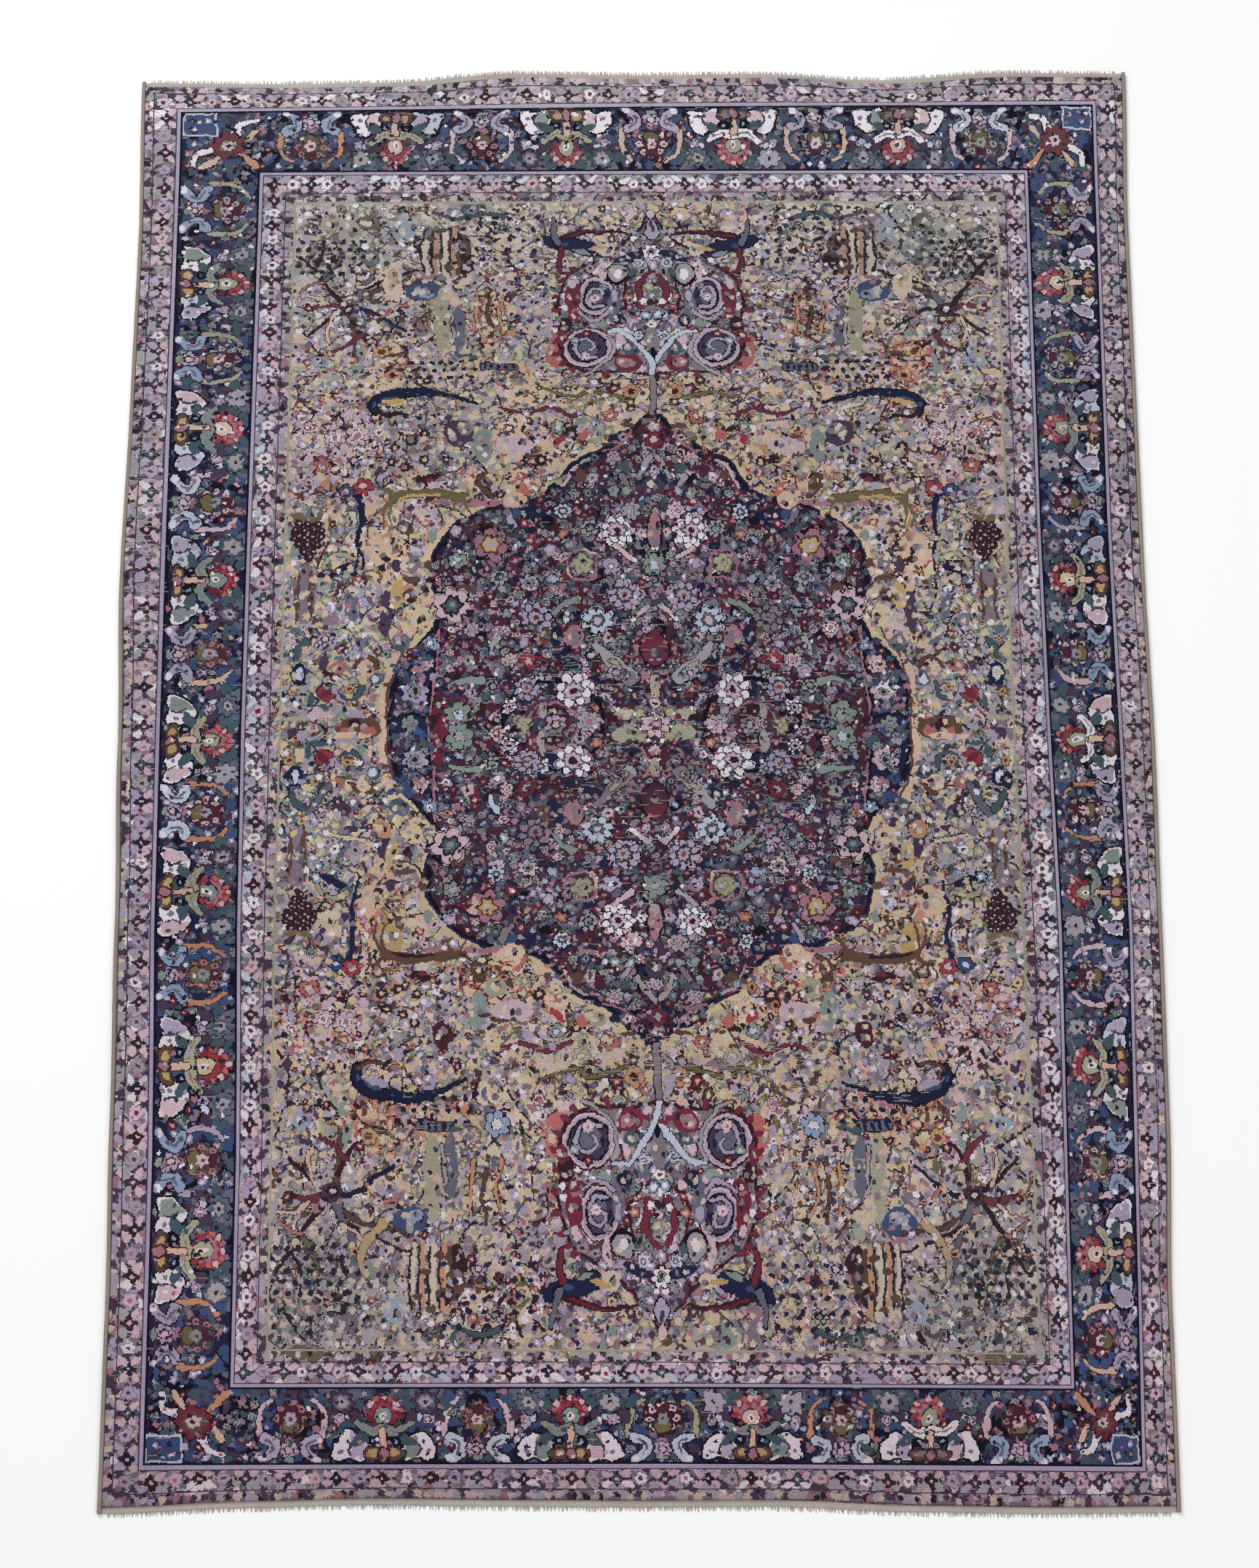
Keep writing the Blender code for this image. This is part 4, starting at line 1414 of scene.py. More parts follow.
@dataclass(frozen=True)
class Medallion:
    """The dark scalloped medallion, packed with flowers."""

    outline: tuple[Point, ...] = (
        (0, 462), (10, 450), (26, 434), (46, 424), (62, 405), (84, 393), (106, 380), (118, 360),
        (134, 344), (152, 330), (180, 326), (206, 320), (230, 308), (252, 297), (270, 280), (282, 258),
        (288, 234), (290, 210), (283, 186), (277, 160), (286, 138), (302, 118), (320, 98), (334, 72),
        (343, 44), (348, 14), (348, -14),
    )
    bed: Bed = Bed(
        spots=(
            (38, 12, 18, 12, 0, Wool.SAND), (50, 50, 14, 6, 40, Wool.CRIMSON),
            (25, 38, 8, 4, 0, Wool.NAVY), (0, 60, 7, 14, 0, Wool.SAGE), (80, 100, 11, 10, 0, Wool.NAVY),
            (110, 86, 8, 6, 0, Wool.NAVY), (133, 52, 6, 10, 0, Wool.NAVY),
            (148, 24, 5, 18, 0, Wool.GREY), (160, 27, 6, 15, 0, Wool.CRIMSON),
            (172, 36, 4, 8, 0, Wool.NAVY), (130, 22, 13, 7, 0, Wool.MAROON),
            (215, 26, 6, 8, 0, Wool.CRIMSON), (232, 110, 6, 20, 0, Wool.CRIMSON),
            (145, 130, 7, 14, 0, Wool.BROWN), (129, 130, 9, 16, 0, Wool.NAVY),
            (105, 128, 11, 18, 0, Wool.ROSE), (104, 128, 5, 12, 0, Wool.MAUVE),
            (285, 110, 6, 16, 0, Wool.NAVY), (160, 270, 11, 10, 0, Wool.CRIMSON),
            (106, 264, 12, 9, 0, Wool.SLATE), (85, 262, 8, 7, 0, Wool.NAVY),
            (165, 310, 26, 9, 0, Wool.NAVY), (186, 310, 10, 7, 0, Wool.BLUE),
            (140, 300, 8, 7, 0, Wool.MIDNIGHT), (208, 301, 11, 9, 0, Wool.TEAL),
            (250, 200, 13, 5, 10, Wool.BROWN), (65, 200, 6, 9, 0, Wool.NAVY),
            (30, 215, 9, 5, 0, Wool.TEAL), (0, 352, 14, 14, 0, Wool.PLUM),
            (40, 378, 8, 7, 0, Wool.TEAL), (100, 366, 9, 8, 0, Wool.BROWN),
            (70, 372, 8, 9, 0, Wool.CRIMSON), (55, 425, 7, 6, 0, Wool.NAVY),
            (280, 26, 8, 34, 0, Wool.CRIMSON), (138, 324, 10, 9, 0, Wool.NAVY),
            (235, 226, 11, 9, 0, Wool.NAVY), (0, 284, 13, 28, 0, Wool.MIDNIGHT),
            (0, 286, 9, 26, 0, Wool.ROSE), (0, 266, 6, 8, 0, Wool.GREY),
            (95, 310, 16, 7, 0, Wool.CRIMSON), (96, 180, 9, 14, 0, Wool.CRIMSON),
            (205, 152, 10, 8, 0, Wool.CRIMSON),
        ),
        strokes=(
            (Wool.GREY, 20, 10, ((34, 68), (46, 84), (60, 96), (76, 116))),
            (Wool.SAGE, 8, 5, ((38, 72), (48, 86), (58, 94))),
            (Wool.IVORY, 9, 5, ((10, 172), (20, 164), (30, 152))),
            (Wool.SEA, 9, 4, ((104, 182), (118, 176), (132, 162), (142, 160))),
            (Wool.ICE, 8, 4, ((205, 126), (212, 116), (214, 106))),
            (Wool.PINK, 8, 4, ((30, 244), (50, 258), (66, 276), (70, 292))),
            (Wool.LILAC, 9, 5, ((196, 312), (190, 300), (184, 290))),
            (Wool.GREY, 9, 5, ((4, 396), (14, 382), (22, 364))),
            (Wool.GREY, 8, 5, ((44, 366), (36, 356), (30, 346))),
            (Wool.SEA, 11, 5, ((226, 64), (246, 66), (266, 60))),
            (Wool.MIDNIGHT, 5, 3, ((264, 205), (280, 198), (290, 182), (296, 164))),
            (Wool.PEACH, 4, 3, ((78, 216), (78, 250), (110, 252), (112, 218), (80, 214))),
            (Wool.CRIMSON, 5, 2, ((150, 98), (134, 92), (116, 96), (96, 88))),
            (Wool.PINK, 4, 3, ((86, 390), (104, 380), (112, 364), (120, 350))),
            (Wool.ROSE, 4, 3, ((30, 436), (36, 420), (52, 408), (66, 404))),
            (Wool.TEAL, 8, 4, ((222, 40), (212, 52), (196, 54))),
        ),
        blooms=(
            (106, 52, 27, Bloom.WHITE_ROSE), (168, 54, 19, Bloom.BLUSH_ROSE),
            (190, 30, 12, Bloom.ICE_ROSE), (150, 62, 11, Bloom.ICE_ROSE), (97, 20, 9, Bloom.PINK_BUD),
            (75, 25, 9, Bloom.CORAL_ROSE), (66, 42, 7, Bloom.IVORY_BUD), (48, 76, 11, Bloom.LILAC_ROSE),
            (0, 34, 9, Bloom.BLUSH_ROSE), (15, 70, 7, Bloom.ROSE_DOT), (85, -4, 16, Bloom.BLUSH_ROSE),
            (130, -2, 15, Bloom.LILAC_ROSE), (125, 84, 8, Bloom.WINE_BUD),
            (165, 93, 14, Bloom.RED_ROSE), (191, 95, 11, Bloom.BLUSH_ROSE),
            (205, 10, 12, Bloom.PINK_ROSE), (172, 0, 11, Bloom.SAGE_BUD),
            (212, 56, 11, Bloom.GREY_ROSE), (195, 56, 8, Bloom.WINE_BUD),
            (241, 48, 10, Bloom.LILAC_ROSE), (205, 80, 11, Bloom.LILAC_BUD),
            (243, 94, 10, Bloom.PINK_BUD), (270, 85, 6, Bloom.IVORY_BUD),
            (241, 140, 11, Bloom.BLUSH_ROSE), (265, 140, 6, Bloom.IVORY_BUD),
            (268, 127, 6, Bloom.ORANGE), (255, 16, 20, Bloom.SEA_ROSE), (172, 120, 9, Bloom.LILAC_BUD),
            (75, 152, 23, Bloom.ICE_ROSE), (40, 190, 24, Bloom.BLUSH_ROSE),
            (15, 205, 8, Bloom.WINE_BUD), (0, 235, 17, Bloom.SEA_ROSE), (57, 232, 12, Bloom.LILAC_BUD),
            (94, 235, 14, Bloom.SAGE_BUD), (137, 255, 10, Bloom.LILAC_BUD),
            (135, 215, 9, Bloom.SKY_BUD), (164, 207, 13, Bloom.WHITE_ROSE),
            (180, 192, 9, Bloom.GREY_ROSE), (205, 216, 12, Bloom.ICE_ROSE),
            (200, 199, 6, Bloom.PINK_DOT), (125, 193, 7, Bloom.PINK_ROSE),
            (155, 156, 21, Bloom.LILAC_RING), (190, 184, 6, Bloom.PINK_BUD),
            (212, 178, 7, Bloom.PINK_ROSE), (195, 164, 9, Bloom.SEA_ROSE),
            (266, 176, 28, Bloom.RIM_ROSE), (215, 264, 25, Bloom.GOLD_ROSE),
            (260, 240, 12, Bloom.SEA_ROSE), (276, 240, 7, Bloom.TEAL_BUD),
            (262, 284, 9, Bloom.LILAC_BUD), (120, 280, 9, Bloom.CORAL_ROSE),
            (86, 288, 13, Bloom.GREY_ROSE), (50, 285, 25, Bloom.RING), (18, 280, 8, Bloom.IVORY_BUD),
            (120, 312, 13, Bloom.ICE_ROSE), (30, 315, 14, Bloom.BLUSH_ROSE),
            (33, 345, 8, Bloom.SEA_ROSE), (52, 343, 9, Bloom.SEA_ROSE), (82, 363, 9, Bloom.IVORY_BUD),
            (88, 342, 9, Bloom.TEAL_BUD), (106, 340, 8, Bloom.GREY_ROSE),
            (52, 393, 12, Bloom.BLUSH_ROSE), (0, 422, 14, Bloom.RED_ROSE), (0, 440, 9, Bloom.IVORY_BUD),
            (28, 408, 8, Bloom.GREY_ROSE), (40, 424, 7, Bloom.PINK_BUD), (84, 312, 7, Bloom.WINE_BUD),
            (0, 374, 10, Bloom.LILAC_ROSE), (172, 294, 9, Bloom.RED_ROSE),
            (146, 280, 8, Bloom.GREY_ROSE), (184, 240, 10, Bloom.RED_ROSE),
            (168, 228, 8, Bloom.GREY_ROSE), (60, 128, 9, Bloom.PINK_BUD), (44, 124, 7, Bloom.SEA_BUD),
            (12, 152, 8, Bloom.LILAC_ROSE), (0, 0, 20, Bloom.BLUSH_ROSE), (0, 0, 9, Bloom.RED_ROSE),
            (20, 18, 9, Bloom.SAGE_BUD), (196, 136, 8, Bloom.PINK_ROSE), (222, 84, 8, Bloom.WINE_BUD),
            (178, 76, 8, Bloom.DARK_ROSE),
        ),
        rim=Wool.MIDNIGHT,
    )
    # (x, y, radius, flower) of the palest flowers, and of the chain in the side cartouches
    crowns: tuple[tuple[float, float, float, Bloom], ...] = (
        (106, 52, 24, Bloom.CROWN), (168, 54, 18, Bloom.LILAC_RING), (75, 152, 20, Bloom.ICE_ROSE),
        (40, 190, 22, Bloom.LILAC_RING), (50, 285, 20, Bloom.CROWN), (266, 176, 25, Bloom.RIM_ROSE),
        (190, 28, 11, Bloom.CROWN), (120, 312, 12, Bloom.ICE_ROSE),
    )
    chain: tuple[tuple[float, float, float, Bloom], ...] = (
        (292, 118, 11, Bloom.SKY_BUD), (303, 88, 13, Bloom.BLUSH_ROSE), (310, 80, 7, Bloom.PEACH_DOT),
        (312, 50, 18, Bloom.WHITE_ROSE), (328, 20, 11, Bloom.LILAC_BUD), (318, -2, 13, Bloom.SEA_ROSE),
    )

    def draw(self, cartoon: Cartoon, salt: int) -> None:
        """Draws the whole medallion, quarter by quarter, ground first and flowers last."""
        for quarter in Quarter:
            cartoon.turn_to(quarter, salt)
            patch = cartoon.patch(0, 0, 480)
            patch.line(self.outline, 30, Wool.STRAW)
            patch.line(self.outline, 14, Wool.NAVY)
            patch.line(self.outline, 7, Wool.MIDNIGHT)
            edge = curve_through(self.outline, False)
            patch.shape((*map(tuple, edge), (-1.0, -14.0), (-1.0, 462.0)), Wool.BURGUNDY, curved=False)
        zone = cartoon.ground(Wool.BURGUNDY)
        for quarter in Quarter:
            cartoon.turn_to(quarter, salt + 1)
            self.shade_ground(cartoon, zone)
            cartoon.sow(zone, 13.6, Planting.MEDALLION)
            self.rims(cartoon)
            self.bed.draw(cartoon)
            self.cartouche(cartoon)
        self.darken(cartoon, zone)
        for quarter in Quarter:
            cartoon.turn_to(quarter, salt + 2)
            for x, y, radius, kind in self.crowns:
                cartoon.put(Flower(kind, radius), x, y)
            cartoon.sow(zone, 21.0, Planting.CHIPS)

    @staticmethod
    def shade_ground(cartoon: Cartoon, zone: Array) -> None:
        """Breaks the burgundy ground into patches of the dark wools, bluer towards the points."""
        near = (Wool.MAROON, Wool.PLUM, Wool.MIDNIGHT, Wool.BURGUNDY, Wool.MAROON, Wool.PLUM, Wool.SLATE)
        far = (Wool.NAVY, Wool.PLUM, Wool.MIDNIGHT, Wool.NAVY, Wool.MAROON)
        for x, y in cartoon.scatter(zone, 26):
            darks = far if y > 310 or x > 270 else near
            wool = pick(cartoon.chance, darks)
            size = cartoon.chance.uniform(8, 18)
            mask = cartoon.within(x, y, size, size * 0.8) & zone
            cartoon.knots[mask] = WOOL_NUMBER[wool]

    @staticmethod
    def darken(cartoon: Cartoon, zone: Array) -> None:
        """Lowers the pale wools of the medallion in patches, as the old dyes have there."""
        shape = cartoon.knots.shape
        patches = patchy(shape, (shape[0] // 30, shape[1] // 30), cartoon.hand)
        for pale, duller, limit in (
            (Wool.GREY, Wool.MAUVE, 0.3), (Wool.LILAC, Wool.MAUVE, 0.15), (Wool.IVORY, Wool.LILAC, 0.1),
            (Wool.ICE, Wool.GREY, 0.0), (Wool.PINK, Wool.GREY, 0.1), (Wool.PEACH, Wool.ROSE, -0.6),
            (Wool.SAND, Wool.SAGE, -0.4), (Wool.CRIMSON, Wool.BURGUNDY, -0.2),
            (Wool.RED, Wool.CRIMSON, -0.6), (Wool.IVORY, Wool.PINK, -0.4),
        ):
            cartoon.knots[zone & cartoon.ground(pale) & (patches > limit)] = WOOL_NUMBER[duller]

    def rims(self, cartoon: Cartoon) -> None:
        """Draws the medallion's inner rim, the round wreaths and the shield on its axis."""
        patch = cartoon.patch(0, 0, 480)
        patch.line(tuple((x * 0.965, y * 0.972) for x, y in self.outline), 2.6, Wool.CRIMSON)
        angles = [math.radians(degrees) for degrees in range(0, 361, 20)]
        for radius, width, wool in ((66, 6, Wool.MIDNIGHT), (38, 4, Wool.PLUM), (34, 3, Wool.ROSE)):
            wreath = tuple((133 + radius * math.cos(a), radius * math.sin(a)) for a in angles)
            patch.line(wreath, width, wool)
        shield = ((0, 140), (14, 126), (20, 108), (12, 92), (0, 84), (-12, 92), (-20, 108), (-14, 126))
        patch.edged_shape(shield, Wool.CRIMSON, Wool.MIDNIGHT)
        patch.flower(0, 108, 11, 6, Wool.PLUM)
        patch.oval(0, 108, 5, 6, Wool.ROSE)

    def cartouche(self, cartoon: Cartoon) -> None:
        """Draws the dark cartouche at the medallion's side with its chain of pale flowers."""
        patch = cartoon.patch(310, 55, 110)
        patch.line(((0, 104), (8, 80), (24, 52), (36, 20), (42, -14), (43, -66)), 11, Wool.BROWN)
        patch.line(((0, 106), (9, 82), (26, 53), (38, 20), (44, -14), (45, -66)), 8, Wool.PEACH)
        body = (
            (-24, 84), (-10, 70), (10, 48), (23, 20), (30, -14),
            (33, -66), (-10, -66), (-14, -24), (-18, 14), (-22, 52),
        )
        patch.edged_shape(body, Wool.NAVY, Wool.MIDNIGHT, 5)
        patch.line(((-26, 84), (-26, 52), (-22, 14), (-18, -24), (-14, -66)), 3, Wool.ROSE)
        for x, y, radius, kind in self.chain:
            cartoon.put(Flower(kind, radius), x, y)
        dark = cartoon.within(320, 20, 40, 110) & cartoon.ground(Wool.NAVY)
        cartoon.sow(dark, 11.0, Planting.DEEP)


@dataclass(frozen=True)
class Pendant:
    """The lobed pendant between the medallion and each end of the field."""

    outline: tuple[Point, ...] = (
        (0, 532), (18, 536), (44, 540), (84, 540), (112, 552), (124, 580), (122, 620), (124, 660),
        (112, 700), (98, 714), (78, 730), (56, 744), (34, 762), (12, 790), (0, 816),
    )
    bed: Bed = Bed(
        spots=(
            (34, 552, 18, 15, 20, Wool.CRIMSON), (38, 553, 11, 8, 20, Wool.ROSE),
            (108, 664, 10, 28, 4, Wool.CRIMSON), (108, 690, 5, 8, 0, Wool.PINK),
            (106, 642, 5, 6, 0, Wool.ROSE), (118, 618, 9, 14, 0, Wool.MAROON),
            (104, 634, 12, 8, 0, Wool.CRIMSON), (122, 596, 7, 14, 0, Wool.CRIMSON),
            (30, 575, 13, 10, 20, Wool.TEAL), (42, 590, 6, 7, 0, Wool.PINK),
            (0, 590, 10, 22, 0, Wool.MAUVE), (0, 568, 4, 9, 0, Wool.MIDNIGHT),
            (46, 706, 16, 20, 10, Wool.MIDNIGHT), (46, 708, 13, 17, 10, Wool.GREY),
            (45, 706, 6, 9, 0, Wool.IVORY), (28, 710, 5, 7, 0, Wool.TEAL),
            (66, 714, 5, 20, 0, Wool.PINK), (62, 750, 12, 12, 0, Wool.SAND),
            (52, 652, 9, 30, 0, Wool.SLATE), (52, 668, 5, 10, 0, Wool.LILAC),
            (44, 626, 9, 10, 0, Wool.NAVY), (70, 622, 10, 8, 0, Wool.SEA),
            (20, 612, 9, 10, 0, Wool.SLATE), (30, 738, 20, 7, -20, Wool.NAVY),
        ),
        strokes=(
            (Wool.MAUVE, 9, 8, ((0, 462), (0, 500), (0, 530))),
            (Wool.ICE, 9, 6, ((0, 532), (2, 552), (18, 578), (38, 604), (58, 606))),
            (Wool.GREY, 5, 4, ((60, 600), (52, 584), (56, 562), (70, 546), (84, 536), (96, 530))),
            (Wool.CRIMSON, 9, 5, ((14, 652), (19, 676), (14, 696), (2, 712))),
            (Wool.MAROON, 5, 3, ((24, 636), (38, 660), (34, 690), (24, 706))),
            (Wool.LILAC, 6, 4, ((60, 640), (70, 630), (84, 628), (98, 640))),
        ),
        blooms=(
            (18, 600, 9, Bloom.ICE_ROSE), (8, 636, 10, Bloom.SKY_BUD), (0, 620, 9, Bloom.IVORY_BUD),
            (33, 668, 8, Bloom.CORAL_ROSE), (30, 648, 6, Bloom.RED_ROSE), (3, 658, 6, Bloom.DOT),
            (12, 660, 6, Bloom.IVORY_DOT), (4, 684, 8, Bloom.SAGE_BUD), (0, 722, 9, Bloom.LILAC_BUD),
            (21, 727, 10, Bloom.ICE_ROSE), (0, 745, 13, Bloom.WHITE_ROSE),
            (17, 758, 7, Bloom.GREY_ROSE), (40, 746, 6, Bloom.LILAC_BUD), (82, 716, 8, Bloom.GREY_BUD),
            (92, 768, 7, Bloom.PINK_BUD),
        ),
        rim=Wool.UMBER,
    )

    def draw(self, cartoon: Cartoon) -> None:
        """Draws the pendant in the cartoon's current quarter."""
        patch = cartoon.patch(0, 680, 190)
        edge = tuple((x, y - 680) for x, y in self.outline)
        patch.line(edge, 9, Wool.MAROON)
        route = curve_through(edge, False)
        for step, (x, y) in enumerate(route[12:46:3]):
            patch.leaf(float(x), float(y), 15, 9, 8 * step - 70, Wool.CRIMSON)
        patch.shape((*edge, (-2, 136), (-2, -148)), Wool.MAUVE)
        zone = cartoon.ground(Wool.MAUVE) & cartoon.within(0, 680, 130, 150)
        cartoon.sow(zone, 12.0, Planting.PENDANT)
        self.ring(patch, 88, -102, 33, 33)
        self.ring(patch, 76, -12, 25, 33)
        self.bed.draw(cartoon)
        for x, y, radius, kind in (
            (90, 562, 9, Bloom.BLUSH_ROSE), (106, 590, 8, Bloom.SEA_ROSE), (88, 602, 8, Bloom.WINE_BUD),
            (80, 664, 9, Bloom.BLUSH_ROSE), (66, 686, 7, Bloom.GREY_ROSE),
        ):
            cartoon.put(Flower(kind, radius), x, y)
        tip = ((0, 126), (8, 112), (9, 98), (0, 88), (-9, 98), (-8, 112))
        patch.edged_shape(tip, Wool.LILAC, Wool.MIDNIGHT)
        patch.oval(0, 112, 3, 9, Wool.PLUM)
        patch.oval(0, 132, 5, 8, Wool.PINK)
        cartoon.put(PendantBird(), 112, 756)

    @staticmethod
    def ring(patch: Patch, x: float, y: float, half_width: float, half_height: float) -> None:
        """Draws one of the pendant's curled stems, which closes in a ring."""
        for less, wool in (
            (-2.6, Wool.MAROON), (0, Wool.PINK), (2.5, Wool.LILAC),
            (6, Wool.MIDNIGHT), (8.5, Wool.PLUM), (17, Wool.SLATE),
        ):
            patch.oval(x, y, half_width - less, half_height - less, wool)
        turns = ((0.66, -2.2), (0.6, -1.2), (0.55, -0.2), (0.5, 0.8), (0.42, 1.8), (0.3, 2.8), (0.12, 4.0))
        swirl = tuple(
            (x + share * half_width * math.cos(angle), y + share * half_height * math.sin(angle))
            for share, angle in turns
        )
        patch.line(swirl, 9, Wool.MIDNIGHT, 6)
        patch.line(swirl, 5, Wool.LILAC, 4)
        patch.oval(x - half_width * 0.5, y + 2, 3, 6, Wool.NAVY)


@dataclass(frozen=True)
class Thicket:
    """A part of the garden with its own ground and flowers, as an oval in a quarter."""

    x: float
    y: float
    half_width: float
    half_height: float
    planting: Planting
    ground: Wool
    spacing: float = 15.0

    def draw(self, cartoon: Cartoon, field: Array) -> None:
        """Lays the ground and sows the flowers where the field is."""
        zone = field & cartoon.within(self.x, self.y, self.half_width, self.half_height)
        for x, y in cartoon.scatter(zone, 26):
            half_width, half_height = cartoon.chance.uniform(9, 20, 2)
            cover = zone & cartoon.within(x, y, half_width, half_height)
            cartoon.knots[cover] = WOOL_NUMBER[self.ground]
        cartoon.sow(zone, self.spacing, self.planting)


